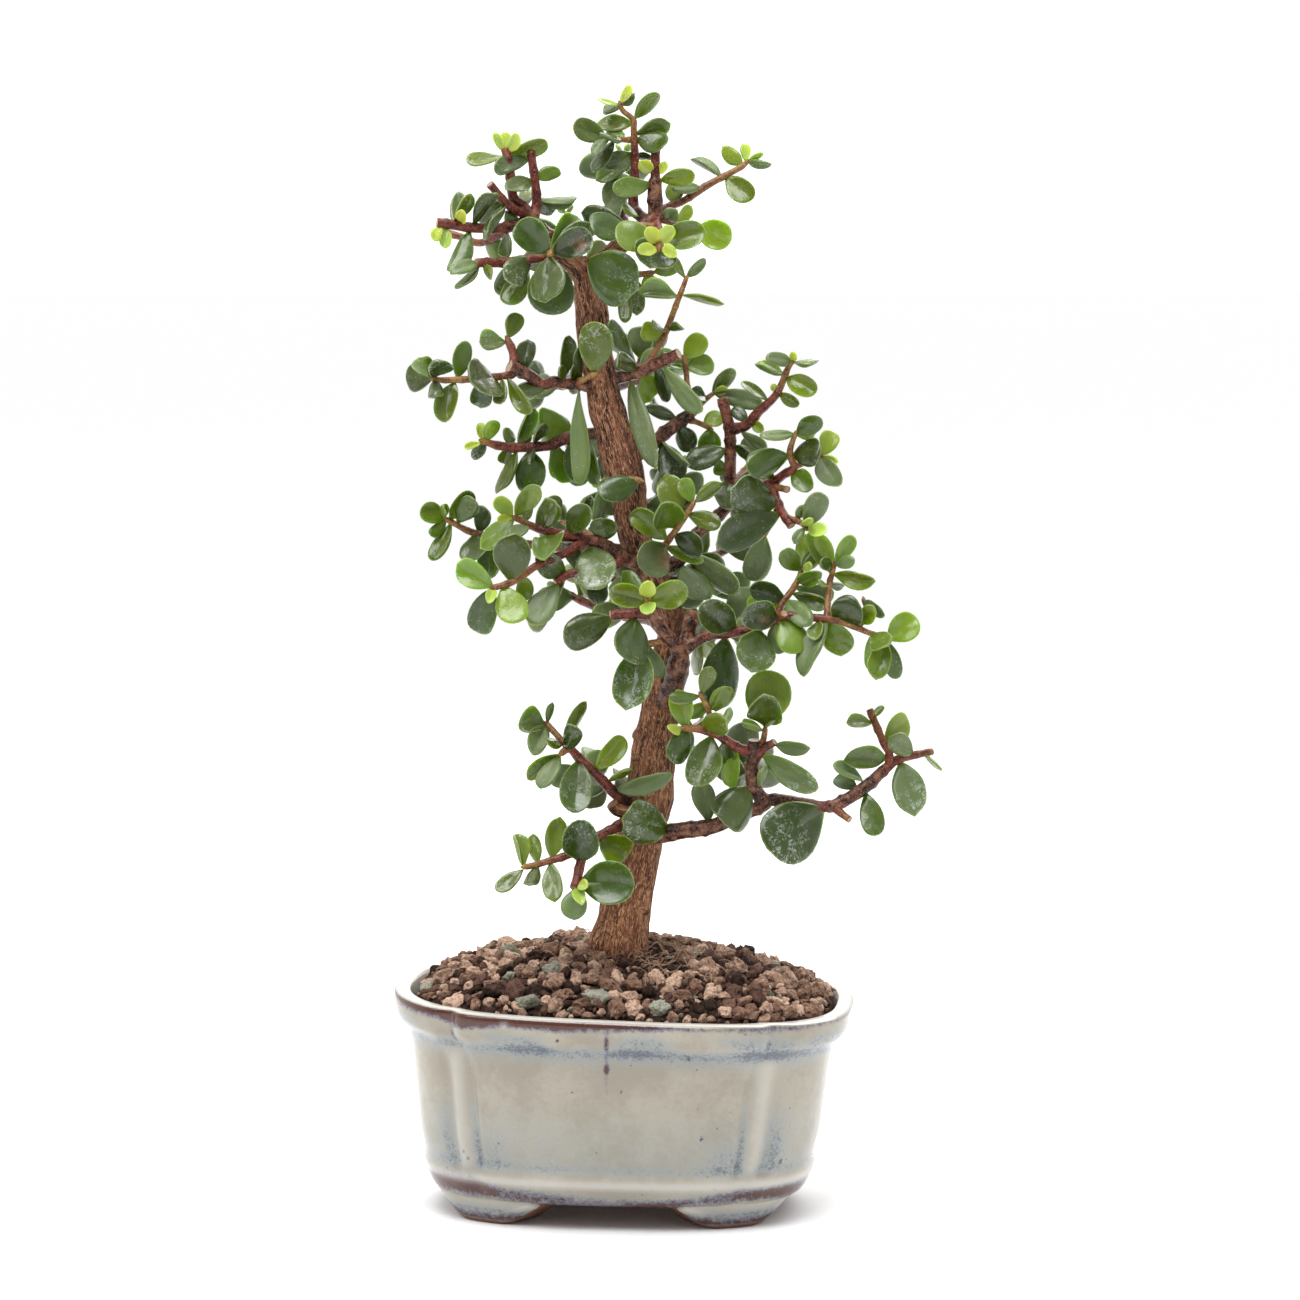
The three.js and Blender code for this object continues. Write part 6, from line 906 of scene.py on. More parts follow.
class Heap:
    """Points, faces and marks of several shapes that end as one mesh. Its material reads the marks."""

    def __init__(self):
        self.points, self.faces, self.marks, self.count = [], [], {}, 0

    def take(self, points, faces, **marks):
        """Adds a shape. A mark is a value, place or colour per point, or one for the whole shape."""
        points = np.asarray(points, float).reshape(-1, 3)
        self.points.append(points)
        self.faces.extend([[i + self.count for i in face] for face in faces])
        for key, values in marks.items():
            values = np.asarray(values, float)
            if values.ndim == 0:
                values = np.full(len(points), values)
            elif values.ndim == 1 and len(values) != len(points):
                values = np.tile(values, (len(points), 1))
            self.marks.setdefault(key, []).append(values)
        self.count += len(points)

    def piece(self, name, material, slot, node, smooth=True):
        """The mesh, riding on the part in the place of one of its solids."""
        obj = mesh_object(name, np.concatenate(self.points), self.faces)
        for key, parts in self.marks.items():
            values = np.concatenate(parts).astype(np.float32)
            kind, field = MARK_KINDS[values.size // len(values)]
            obj.data.attributes.new(key, kind, "POINT").data.foreach_set(field, values.ravel())
        obj.data.polygons.foreach_set("use_smooth", [smooth] * len(obj.data.polygons))
        obj.data.materials.append(material)
        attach(obj, "root")
        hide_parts(node)
        return obj


def ring_faces(rings, around):
    """Quads between rings of equal size; the points after the last ring are the two ends' middles."""
    turn = [(i, (i + 1) % around) for i in range(around)]
    faces = []
    for low in range(0, (rings - 1) * around, around):
        high = low + around
        faces += [(low + i, low + j, high + j, high + i) for i, j in turn]
    last_ring, first_middle, last_middle = (rings - 1) * around, rings * around, rings * around + 1
    for i, j in turn:
        faces += [(first_middle, j, i), (last_middle, last_ring + i, last_ring + j)]
    return faces


def wobble(x, y, z):
    """Smooth noise, from -1 to 1."""
    return noise.noise(Vector((x, y, z)))


def bell(x, middle, width):
    """1 at the middle, and down to nearly 0 at two widths from it."""
    return math.exp(-((x - middle) / width) ** 2)


def spline(four, t, pull):
    """A place between the second and third of four points, on a smooth line; less pull turns more crisply."""
    before, start, end, after = four
    leave, arrive = (end - before) * pull, (after - start) * pull
    return ((2 * t ** 3 - 3 * t ** 2 + 1) * start + (t ** 3 - 2 * t ** 2 + t) * leave
            + (3 * t ** 2 - 2 * t ** 3) * end + (t ** 3 - t ** 2) * arrive)


# ---------------------------------------------------------------- materials
class Material:
    """A Principled material, and short words for the nodes that make its colour, gloss and relief."""

    def __init__(self, name):
        self.data = bpy.data.materials.new(name)
        self.data.use_nodes = True
        self.tree = self.data.node_tree
        self.shader = self.tree.nodes["Principled BSDF"]

    def put(self, socket, value):
        """Links a socket to an input, or sets the input to a number, a vector or a colour."""
        if isinstance(value, bpy.types.NodeSocket):
            self.tree.links.new(value, socket)
        elif socket.type == "RGBA":
            socket.default_value = (*value, 1)
        else:
            socket.default_value = value

    def node(self, kind, inputs=None, **settings):
        """Adds a shader node, sets its own settings, and puts its inputs."""
        made = self.tree.nodes.new("ShaderNode" + kind)
        for key, value in settings.items():
            setattr(made, key, value)
        for key, value in (inputs or {}).items():
            self.put(made.inputs[key], value)
        return made

    def object_place(self):
        return self.node("TexCoord").outputs["Object"]

    def mark(self, name, output="Fac"):
        """A value or colour that the mesh's points carry."""
        return self.node("Attribute", attribute_name=name).outputs[output]

    def noise(self, place, scale, detail=3.0, roughness=0.55, output="Fac"):
        inputs = {"Vector": place, "Scale": scale, "Detail": detail, "Roughness": roughness}
        return self.node("TexNoise", inputs).outputs[output]

    def math(self, operation, a, b, clamp=False):
        return self.node("Math", {0: a, 1: b}, operation=operation, use_clamp=clamp).outputs[0]

    def times(self, a, b, clamp=False):
        return self.math("MULTIPLY", a, b, clamp)

    def plus(self, a, b, clamp=False):
        return self.math("ADD", a, b, clamp)

    def one_minus(self, value):
        return self.math("SUBTRACT", 1, value, True)

    def off_middle(self, value, gain):
        """How far a noise is from its middle, times a gain."""
        return self.times(self.math("SUBTRACT", value, 0.5), gain)

    def ramp(self, value, low, high):
        """0 below `low`, 1 above `high`, smooth between."""
        inputs = {"Value": value, "From Min": low, "From Max": high}
        return self.node("MapRange", inputs, interpolation_type="SMOOTHSTEP").outputs["Result"]

    def mixed(self, a, b, factor, blend="MIX"):
        """A colour between a and b. Each is a socket or a colour; the factor is a socket or a number."""
        color_a, color_b, result = 6, 7, 2  # the node has others, by the same names, for plain values
        inputs = {"Factor": factor, color_a: a, color_b: b}
        return self.node("Mix", inputs, data_type="RGBA", blend_type=blend).outputs[result]

    def dots(self, place, scale, low, high):
        """Round dots: 1 in the middle of each cell, 0 from a little way out."""
        cells = self.node("TexVoronoi", {"Scale": scale, "Vector": place}).outputs["Distance"]
        return self.one_minus(self.ramp(cells, low, high))

    def paint(self, color, roughness, specular=0.5):
        self.put(self.shader.inputs["Base Color"], color)
        self.put(self.shader.inputs["Roughness"], roughness)
        self.put(self.shader.inputs["Specular IOR Level"], specular)

    def relief(self, height, strength, distance):
        made = self.node("Bump", {"Height": height, "Strength": strength, "Distance": distance})
        self.tree.links.new(made.outputs["Normal"], self.shader.inputs["Normal"])


# From here on, colours are linear, and a pair of them is what a noise runs between. The first three multiply
# a leaf's own colour: in its light blotches, its dark ones and its fine grain.
LEAF_LIGHTER = (1.5, 1.32, 1.1)
LEAF_DARKER = (0.62, 0.7, 0.62)
LEAF_GRAIN = (0.78, 0.84, 0.8)
LEAF_UNDERSIDE = (0.17, 0.23, 0.10)
# the pale rim: partly the leaf's own margin, partly a painted highlight of the light from behind
LEAF_MARGIN_AND_HIGHLIGHT = (0.33, 0.38, 0.17)
LEAF_BASE = (0.20, 0.12, 0.05)
# painted sheen: a pale tint on faces that look up, in place of the top light's reflection
LEAF_PAINTED_SHEEN = (0.28, 0.34, 0.16)
LEAF_CHALK = (0.58, 0.63, 0.57)
LEAF_WATER_SPOT = (0.66, 0.71, 0.62)
LEAF_SCAR = (0.20, 0.10, 0.05)
LEAF_GLOW_REACH = (0.9, 1.4, 0.18)  # how far red, green and blue light goes inside, against LEAF_GLOW_SCALE
LEAF_GLOW_SCALE = 0.0022


def leaf_material():
    """Satin succulent skin: mottled, with a pale edge (its margin and a painted highlight), a painted sheen
    where it looks up, a dull underside, chalky bloom and water spots.
    """
    m = Material("leaf")
    place = m.object_place()
    marks = ("rim", "below", "bloom", "scar", "sheen", "ageing", "root")
    rim, below, bloom, scar, sheen, ageing, root = (m.mark(name) for name in marks)
    blotch = m.noise(place, 130, 4)
    patch = m.noise(place, 290, 3)
    fine = m.noise(place, 1300, 3, 0.7)

    light = m.times(m.ramp(blotch, 0.42, 0.72), 0.6)
    color = m.mixed(m.mark("leaf_color", "Color"), LEAF_LIGHTER, light, "MULTIPLY")
    dark = m.times(m.ramp(patch, 0.4, 0.68), m.times(ageing, 0.45))
    color = m.mixed(color, LEAF_DARKER, dark, "MULTIPLY")
    grain = m.times(m.ramp(fine, 0.45, 0.65), m.times(ageing, 0.5))
    color = m.mixed(color, LEAF_GRAIN, grain, "MULTIPLY")
    color = m.mixed(color, LEAF_UNDERSIDE, m.times(below, 0.4))
    # pale rim: partly the leaf's margin, partly a painted highlight of the light from behind
    edge = m.times(m.ramp(rim, 0.93, 1.0), m.plus(0.1, patch))
    color = m.mixed(color, LEAF_MARGIN_AND_HIGHLIGHT, m.times(edge, 0.62))
    color = m.mixed(color, LEAF_BASE, m.times(root, 0.5))

    # painted sheen: faces that look up are painted paler, where they would reflect the top light
    painted_sheen = m.times(sheen, m.plus(0.12, m.times(blotch, 0.62)))
    color = m.mixed(color, LEAF_PAINTED_SHEEN, painted_sheen)
    chalk = m.times(m.ramp(patch, 0.44, 0.62), m.ramp(fine, 0.44, 0.62))
    chalk = m.times(chalk, m.times(bloom, 0.62), True)
    color = m.mixed(color, LEAF_CHALK, chalk)
    wet = m.plus(bloom, m.times(ageing, 0.25))
    wet = m.times(m.ramp(blotch, 0.5, 0.62), wet, True)
    spots = m.times(m.dots(place, 640, 0.1, 0.2), 0.75)
    color = m.mixed(color, LEAF_WATER_SPOT, m.times(spots, wet))
    color = m.mixed(color, LEAF_SCAR, m.times(scar, m.ramp(patch, 0.3, 0.55)))

    rough = m.plus(0.14, m.times(blotch, 0.2))
    rough = m.plus(rough, m.times(chalk, 0.3))
    rough = m.plus(rough, m.times(below, 0.2))
    m.paint(color, rough)
    m.shader.inputs["Subsurface Weight"].default_value = 0.45
    m.shader.inputs["Subsurface Radius"].default_value = LEAF_GLOW_REACH
    m.shader.inputs["Subsurface Scale"].default_value = LEAF_GLOW_SCALE
    height = m.plus(m.times(blotch, 1.3), m.times(fine, 0.12))
    height = m.plus(height, m.times(patch, 0.5))
    m.relief(height, 0.45, 0.0006)
    return m.data


SHOOT_OLD = (0.008, 0.002, 0.001), (0.150, 0.050, 0.024)
SHOOT_RED = (0.048, 0.008, 0.005), (0.185, 0.040, 0.022)
SHOOT_YOUNG = (0.13, 0.050, 0.014), (0.29, 0.16, 0.045)
SHOOT_CUT = (0.20, 0.085, 0.045), (0.52, 0.38, 0.25)
SHOOT_WORN = (0.30, 0.160, 0.100)
SHOOT_JOINT = (0.022, 0.010, 0.008)
SHOOT_FLECK = (0.52, 0.36, 0.27)


def shoot_material():
    """Red-brown waxy skin, darker where it is old and at the joints, olive at the tips, pale where cut."""
    m = Material("shoot")
    place = m.object_place()
    youth, ring, cut = (m.mark(name) for name in ("youth", "ring", "cut"))
    cloud = m.noise(place, 300, 5, 0.65)
    fine = m.noise(place, 1600, 4, 0.7)
    mottle = m.ramp(m.plus(m.times(cloud, 0.6), m.times(fine, 0.4)), 0.40, 0.60)
    worn = m.times(m.ramp(cloud, 0.5, 0.64), 0.5)
    old = m.mixed(m.mixed(*SHOOT_OLD, mottle), SHOOT_WORN, worn)
    color = m.mixed(old, m.mixed(*SHOOT_RED, mottle), m.ramp(youth, 0.05, 0.42))
    color = m.mixed(color, m.mixed(*SHOOT_YOUNG, mottle), m.ramp(youth, 0.62, 0.96))
    color = m.mixed(color, SHOOT_JOINT, m.times(m.ramp(ring, 0.75, 1.0), 0.6))
    color = m.mixed(color, SHOOT_FLECK, m.times(m.ramp(fine, 0.58, 0.68), 0.45))
    color = m.mixed(color, m.mixed(*SHOOT_CUT, fine), cut)
    m.paint(color, m.plus(0.24, m.times(mottle, 0.22)), 0.3)
    m.relief(m.plus(cloud, m.times(fine, 0.5)), 0.5, 0.0004)
    return m.data


BARK_LOW = (0.060, 0.017, 0.005), (0.48, 0.225, 0.105)
BARK_TOP = (0.012, 0.003, 0.001), (0.36, 0.160, 0.080)
BARK_RED = (0.22, 0.085, 0.045)
BARK_CRACK = (0.030, 0.013, 0.008)
BARK_FLECK = (0.68, 0.48, 0.36)
BARK_CUT = (0.30, 0.17, 0.10)


def bark_material():
    """Fine upright fissures in brown bark, dark above, orange-brown with cross-cracked plates at the foot."""
    m = Material("bark")
    place = m.mark("bark_place", "Vector")
    high, cut = m.mark("high"), m.mark("cut")
    upright = m.noise(place, 0.75, 6, 0.68)
    fine = m.noise(place, 3.4, 4, 0.7)
    wide = m.noise(place, 0.16, 3, 0.5)
    flat = m.node("Mapping", {"Vector": place, "Scale": (1, 1, 2)}, vector_type="POINT").outputs["Vector"]
    warped = m.mixed(flat, m.noise(flat, 0.8, output="Color"), 0.35, "ADD")
    plates = m.node("TexVoronoi", {"Scale": 0.62, "Vector": warped}, feature="DISTANCE_TO_EDGE")
    crack = m.one_minus(m.ramp(plates.outputs["Distance"], 0.0, 0.07))
    crack = m.times(crack, m.math("SUBTRACT", 0.9, high, True))
    crack = m.times(crack, m.ramp(upright, 0.4, 0.6))
    streak = m.ramp(m.plus(m.times(upright, 0.55), m.times(fine, 0.45)), 0.44, 0.57)
    color = m.mixed(m.mixed(*BARK_LOW, streak), m.mixed(*BARK_TOP, streak), high)
    color = m.mixed(color, BARK_RED, m.times(m.ramp(wide, 0.42, 0.66), 0.45))
    color = m.mixed(color, BARK_CRACK, m.times(crack, 0.8))
    color = m.mixed(color, BARK_FLECK, m.times(m.ramp(fine, 0.56, 0.66), 0.72))
    color = m.mixed(color, BARK_CUT, m.times(cut, 0.7))
    m.paint(color, 0.82, 0.25)
    height = m.plus(upright, m.times(fine, 0.35))
    m.relief(m.math("SUBTRACT", height, crack), 0.8, 0.0010)
    return m.data


def grit_material(name, dark, light, pit):
    """Porous baked clay: cloudy, with dark pits."""
    m = Material(name)
    place = m.object_place()
    coarse = m.noise(place, 420, 6, 0.72)
    fine = m.noise(place, 1500, 5, 0.75)
    color = m.mixed(dark, light, m.ramp(m.plus(coarse, m.mark("tone")), 0.28, 0.8))
    color = m.mixed(color, pit, m.times(m.one_minus(m.ramp(fine, 0.36, 0.48)), 0.85))
    color = m.mixed(color, pit, m.times(m.one_minus(m.ramp(coarse, 0.34, 0.46)), 0.7))
    m.paint(color, 0.95, 0.2)
    m.relief(m.plus(coarse, m.times(fine, 0.6)), 1.0, 0.0013)
    return m.data


def plain_material(name, color, roughness):
    """One colour, half as bright again in its grain."""
    m = Material(name)
    grain = m.noise(m.object_place(), 700)
    m.paint(m.mixed(color, tuple(part * 1.5 for part in color), grain), roughness)
    return m.data


CREAM = (0.280, 0.250, 0.197), (0.350, 0.318, 0.257)
POOL_AND_SHADE_BLUE = (0.255, 0.285, 0.285), (0.070, 0.085, 0.120)  # where it starts, and where it is deep
VIOLET = (0.040, 0.030, 0.055), (0.165, 0.165, 0.225)
BROKEN = (0.030, 0.009, 0.007), (0.110, 0.040, 0.026)
CLAY = (0.085, 0.035, 0.020), (0.26, 0.12, 0.065)
PEPPER = (0.16, 0.13, 0.12)
IRON_SPOT = (0.13, 0.075, 0.05)
# white glaze, and painted highlights on the lip's top, the base moulding and the seam's ridge
WHITE_GLAZE_AND_HIGHLIGHT = (0.70, 0.69, 0.66)


def glaze_material():
    """Cream glaze that goes blue where it pools, breaks to violet and brown on edges, over brown clay; its
    marks also carry painted shade and painted highlights.
    """
    m = Material("glaze")
    place = m.object_place()
    pool, worn, bare, pale = (m.mark(name) for name in ("pool", "worn", "bare", "pale"))
    cloud = m.noise(place, 42, 5, 0.6)
    curdle = m.noise(place, 460, 5, 0.78)
    grainy = m.noise(place, 1100, 4, 0.7)
    runs = m.noise(m.mark("wall_place", "Vector"), 0.8, 5, 0.65)

    cream = m.mixed(*CREAM, m.ramp(m.plus(cloud, m.off_middle(curdle, 0.4)), 0.35, 0.65))
    speckle = m.plus(m.off_middle(curdle, 1.0), m.off_middle(grainy, 1.5))
    speckle = m.times(speckle, m.plus(0.2, pool, True))
    amount = m.plus(pool, m.off_middle(cloud, 0.4))
    amount = m.plus(amount, m.off_middle(runs, 0.4))
    amount = m.plus(amount, speckle)
    # the blue of pooled glaze, which just under the lip is partly a painted shadow of the lip
    blue = m.mixed(*POOL_AND_SHADE_BLUE, m.ramp(amount, 0.6, 1.3))
    color = m.mixed(cream, blue, m.times(m.ramp(amount, 0.1, 0.95), 0.92))

    ragged = m.plus(m.off_middle(curdle, 1.1), m.off_middle(grainy, 0.9))
    edge = m.plus(worn, m.times(ragged, m.times(worn, 3.0, True)))
    color = m.mixed(color, m.mixed(*VIOLET, grainy), m.times(m.ramp(edge, 0.1, 0.52), 0.95))
    color = m.mixed(color, m.mixed(*BROKEN, grainy), m.ramp(edge, 0.5, 0.62))

    spots = m.dots(place, 230, 0.05, 0.12)
    pepper = m.times(m.dots(place, 620, 0.06, 0.14), m.times(m.ramp(cloud, 0.45, 0.6), 0.55))
    color = m.mixed(color, PEPPER, pepper)
    rare = m.times(m.ramp(m.noise(place, 95, 2), 0.52, 0.62), 0.8)
    color = m.mixed(color, IRON_SPOT, m.times(spots, rare))
    # white glaze, and painted highlights on the lip's top, the base moulding and the seam's ridge
    color = m.mixed(color, WHITE_GLAZE_AND_HIGHLIGHT, m.times(pale, 0.85))
    naked = m.ramp(m.plus(bare, m.off_middle(curdle, 0.5)), 0.4, 0.6)
    color = m.mixed(color, m.mixed(*CLAY, curdle), naked)
    m.paint(color, m.plus(0.11, m.times(naked, 0.6)))
    m.relief(m.math("SUBTRACT", m.times(cloud, 0.9), m.times(spots, 0.5)), 0.25, 0.0014)
    return m.data


LEAF = leaf_material()
SHOOT = shoot_material()
BARK = bark_material()
GLAZE = glaze_material()
MESH_PLASTIC = plain_material("mesh_plastic", (0.02, 0.02, 0.02), 0.55)
# dark, light and the colour of the pits
GRIT_TAN = grit_material("grit_tan", (0.21, 0.115, 0.075), (0.68, 0.46, 0.335), (0.055, 0.026, 0.017))
GRIT_DARK = grit_material("grit_dark", (0.035, 0.018, 0.013), (0.165, 0.090, 0.064), (0.012, 0.007, 0.005))
GRIT_GREY = grit_material("grit_grey", (0.190, 0.186, 0.138), (0.42, 0.415, 0.335), (0.10, 0.09, 0.06))
FIBRE = plain_material("root_fibre", (0.22, 0.135, 0.08), 0.9)


# ---------------------------------------------------------------- wood
# a place along a path, the radius there, the path's own index with its parts, and the distance walked
Sample = namedtuple("Sample", "at radius index walked")
SMOOTH_PULL = 0.5


def fine_wood(wood, step):
    """Samples along a path, about a step apart."""
    points = [np.array(at) for at, _ in wood]
    radii = [radius for _, radius in wood]
    padded = [2 * points[0] - points[1], *points, 2 * points[-1] - points[-2]]
    last = len(points) - 2
    samples = []
    walked = 0.0
    for i in range(last + 1):
        span = np.linalg.norm(points[i + 1] - points[i])
        pieces = max(1, math.ceil(span / step))
        for k in range(pieces + 1 if i == last else pieces):
            t = k / pieces
            at = spline(padded[i:i + 4], t, SMOOTH_PULL)
            samples.append(Sample(at, radii[i] + (radii[i + 1] - radii[i]) * t, i + t, walked + span * t))
        walked += span
    return samples


def sample_frames(samples):
    """Directions across the wood at each sample, turned as the part's own frames are."""
    frames = frames_of([(tuple(sample.at), sample.radius) for sample in samples])
    return [(np.array(across), np.array(other)) for across, other in frames]


def wood_rings(samples, frames, sides, reach_of):
    """Rings round the samples; reach_of(sample number, angle) is the radius there."""
    angles = np.arange(sides) / sides * 2 * math.pi
    rings = []
    for n, (sample, (across, other)) in enumerate(zip(samples, frames)):
        reach = np.array([reach_of(n, angle) for angle in angles])
        ring = np.outer(np.cos(angles) * reach, across) + np.outer(np.sin(angles) * reach, other)
        rings.append(sample.at + ring)
    return rings


SHOOT_SIDES = 12
SHOOT_STEP = 0.8
FIRST_JOINT = 1.5, 4  # from and to
JOINT_SPACING = 4, 8
JOINT_LENGTH, KNOB_LENGTH = 0.8, 1.0
JOINT_SWELL, KNOB_SWELL, ROUGHNESS = 0.08, 0.15, 0.09  # against the radius
BUD_LENGTH = 2.2  # against the radius
BUD_WIDTH = 0.35  # the same, where it closes
YOUNG_WIDTH, OLD_WIDTH = 1.9, 4.4  # a shoot this thin is all young, and this thick all old
CUT_FACE = 0.8  # its width against the shoot's
# u and v of the shoots' ends that were cut; the others close on a bud
CUT_ENDS = [
    (-48.1, 167), (-39.8, 166.2), (-53.5, 155.4), (-71, 142.5), (-70.8, 140), (-58, 129), (1.8, 166.9),
    (2.3, 144.8), (-47, 94.5), (9.6, 98.8), (14.6, 78.6), (24, 84), (47.2, 41.3), (45.7, 53.5), (44.8, 12.2),
    (-1.5, 13.2), (-13.3, 11.6), (14, 13), (-31.5, 22.3), (34.6, -30), (41.6, -30.6), (94.1, -33.8),
    (66.6, -56.6), (73.2, -19.8), (-25, -79.5),
]
CUT_REACH = 2.5  # how near to its row an end has to be


def per_point(values, at_end):
    """A shoot's value at each sample as one per point, with another for its end face and the two middles."""
    return [value for value in values for _ in range(SHOOT_SIDES)] + [at_end] * (SHOOT_SIDES + 2)


def add_shoot(heap, path, draw):
    """One shoot: a tapering tube with a swollen ring at each joint, cut flat or closing on its bud."""
    samples = fine_wood(wood_of(path), SHOOT_STEP)
    frames = sample_frames(samples)
    total = samples[-1].walked
    joints = [draw.uniform(*FIRST_JOINT)]
    while joints[-1] < total:
        joints.append(joints[-1] + draw.uniform(*JOINT_SPACING))
    is_cut = any(math.hypot(path[-1][0] - u, path[-1][1] - v) < CUT_REACH for u, v in CUT_ENDS)
    seed = draw.uniform(0, 100)

    def swell(n):
        return max(bell(samples[n].walked, joint, JOINT_LENGTH) for joint in joints)

    def reach(n, angle):
        radius, walked = samples[n].radius, samples[n].walked
        rough = ROUGHNESS * wobble(seed + math.cos(angle) * 1.3, math.sin(angle) * 1.3, walked * 0.4)
        knob = max(bell(walked, joint, KNOB_LENGTH) * max(math.cos(angle - joint * 2.4), 0) for joint in joints)
        size = radius * (1 + JOINT_SWELL * swell(n) + KNOB_SWELL * knob + rough)
        if not is_cut:
            size *= min(1, BUD_WIDTH + (total - walked) / (BUD_LENGTH * radius))
        return size

    rings = wood_rings(samples, frames, SHOOT_SIDES, reach)
    along = np.cross(*frames[-1])
    end = samples[-1].at
    inward = 1 if is_cut else -1  # a cut face is a little hollow, a bud a little domed
    rings.append(end + (rings[-1] - end) * CUT_FACE - along * 0.1 * inward)
    points = np.concatenate([*rings, [samples[0].at], [end - along * 0.25 * inward]])
    ring = per_point([swell(n) for n in range(len(samples))], 0.0)
    youth = [held((OLD_WIDTH - 2 * sample.radius) / (OLD_WIDTH - YOUNG_WIDTH)) for sample in samples]
    youth = per_point(youth, youth[-1])
    cut = per_point([0.0] * len(samples), float(is_cut))
    heap.take(points, ring_faces(len(rings), SHOOT_SIDES), ring=ring, youth=youth, cut=cut)


TRUNK_SIDES, TRUNK_STEP, TRUNK_RELIEF = 80, 0.9, 0.8
STUB_SIDES, STUB_STEP, STUB_RELIEF = 20, 0.7, 0.35
STUB_PALENESS = 0.6  # of the stubs' cut ends
UPRIGHT_GRAIN = 0.19  # how far the bark's pattern is drawn out along the trunk
DARK_BARK_FROM, DARK_BARK_OVER = 112, 90  # the height where bark starts to darken, and over how much of it


def add_bark(heap, path, sides, step, relief, flutes, paleness):
    """Bark round a path, with fissures, scales and lumps of this relief, and an end face of this paleness."""
    samples = fine_wood(wood_of(path), step)
    angles = np.arange(sides) / sides * 2 * math.pi

    def reach(n, angle):
        _, radius, index, walked = samples[n]
        c, s = math.cos(angle), math.sin(angle)
        fissure = abs(wobble(c * radius * 0.7, s * radius * 0.7, walked * 0.07 + 7)) * 2 - 0.6
        scale = wobble(c * radius * 1.3, s * radius * 1.3, walked * 0.35) * 0.3
        lump = wobble(c * 1.1, s * 1.1, walked * 0.12) * 0.5
        return radius * flutes(index, angle) + relief * (fissure * 0.5 + lump + scale)

    rings = wood_rings(samples, sample_frames(samples), sides, reach)
    points = np.concatenate([*rings, [samples[0].at], [samples[-1].at]])
    place, high = [], []
    for sample in samples:
        for angle in angles:
            across = (math.cos(angle) * sample.radius, math.sin(angle) * sample.radius)
            place.append((*across, sample.at[2] * UPRIGHT_GRAIN))
            high.append(held((sample.at[2] - DARK_BARK_FROM) / DARK_BARK_OVER))
    place += [(0, 0, end.at[2] * UPRIGHT_GRAIN) for end in (samples[0], samples[-1])]
    high += [high[0], high[-1]]
    cut = [0.0] * (len(points) - sides - 2) + [paleness] * sides + [0.0, paleness]
    heap.take(points, ring_faces(len(rings), sides), bark_place=np.array(place), high=high, cut=cut)


def trunk_flutes(index, angle):
    """Three shallow ribs that turn round the trunk and fade upwards."""
    return 1 + 0.05 * math.cos(3 * angle + index * 0.5) * max(0.2, 1 - index / 14)


def build_trunk():
    """The trunk's bark, and the knots and stubs that are one with it."""
    heap = Heap()
    add_bark(heap, TRUNK_PATH, TRUNK_SIDES, TRUNK_STEP, TRUNK_RELIEF, trunk_flutes, 0.0)
    for path in TRUNK_STUBS:
        add_bark(heap, path, STUB_SIDES, STUB_STEP, STUB_RELIEF, lambda index, angle: 1, STUB_PALENESS)
    heap.piece("trunk_bark", BARK, "bark", "trunk")


# ---------------------------------------------------------------- leaves
LeafLook = namedtuple("LeafLook", "tone spread cup fold mottled frosted bloom")
# By age: the flat face's linear colour and how far its brightness strays; from and to, how far the sides
# rise or, under 0, fall back against the width, and how far they fold along the midrib; and how mottled the
# skin is, how much painted sheen it takes where it looks up, and how much bloom it may have.
LEAF_LOOKS = {
    "d": LeafLook((0.033, 0.060, 0.002), 0.42, (-0.36, 0.32), (0, 0.16), 1.0, 1.0, 0.6),
    "m": LeafLook((0.078, 0.126, 0.003), 0.38, (-0.28, 0.40), (0, 0.18), 0.85, 0.8, 0.3),
    "b": LeafLook((0.148, 0.246, 0.012), 0.28, (-0.16, 0.28), (0, 0.12), 0.4, 0.35, 0.05),
    "y": LeafLook((0.320, 0.400, 0.070), 0.16, (0.08, 0.34), (0, 0.1), 0.12, 0.1, 0.0),
    "g": LeafLook((0.055, 0.090, 0.010), 0.32, (-0.30, 0.26), (0.15, 0.3), 1.0, 0.9, 0.4),
}
# leaves that hang like a strap: u and v of the middle, and the share of the width that is left
STRAPS = [(-23.3, 71, 0.5), (-3.6, 76.7, 0.9), (46.2, -40.6, 0.85)]
STRAP_REACH = 2
# leaves with much chalky bloom: u and v
CHALKY = [
    (48, -61), (86, -46), (-7.2, -10), (-17.5, 28.5), (-43.9, 127.8), (-0.5, -57.8), (46, -40), (-19.5, 100),
]
CHALKY_REACH = 5
SCARS = [(6, 30, 3), (-23.5, 135, 2.2), (38, 10, 1.6)]  # u, v, size
# how a leaf strays from flat and straight, from and to, against its width (the tip's against its length)
TWIST = -0.45, 0.45
ROLL = -0.26, 0.26
TIP_CURL = -0.24, 0.28
LEAN = -0.05, 0.05
TIP_POINTS = (0, 0, 0, 0.03, 0.05)  # most tips are round
LEAF_STATIONS = 14
LEAF_RINGS = [0.0, 0.36, 0.64, 0.83, 0.94, 1.0]  # from the blade's middle to its rim
LEAF_MIDDLE = 0.55
WIDEST = 0.58  # share of the length where the blade is widest
BELLY_SWELL, FLAT_SWELL = 0.72, 0.34  # how far the belly and the flat face stand out, against the thickness
BELLY_SHIFT = 0.18  # how far the whole blade lies to its belly's side
BASE_DEPTH = 0.4  # how far the blade starts inside its stem


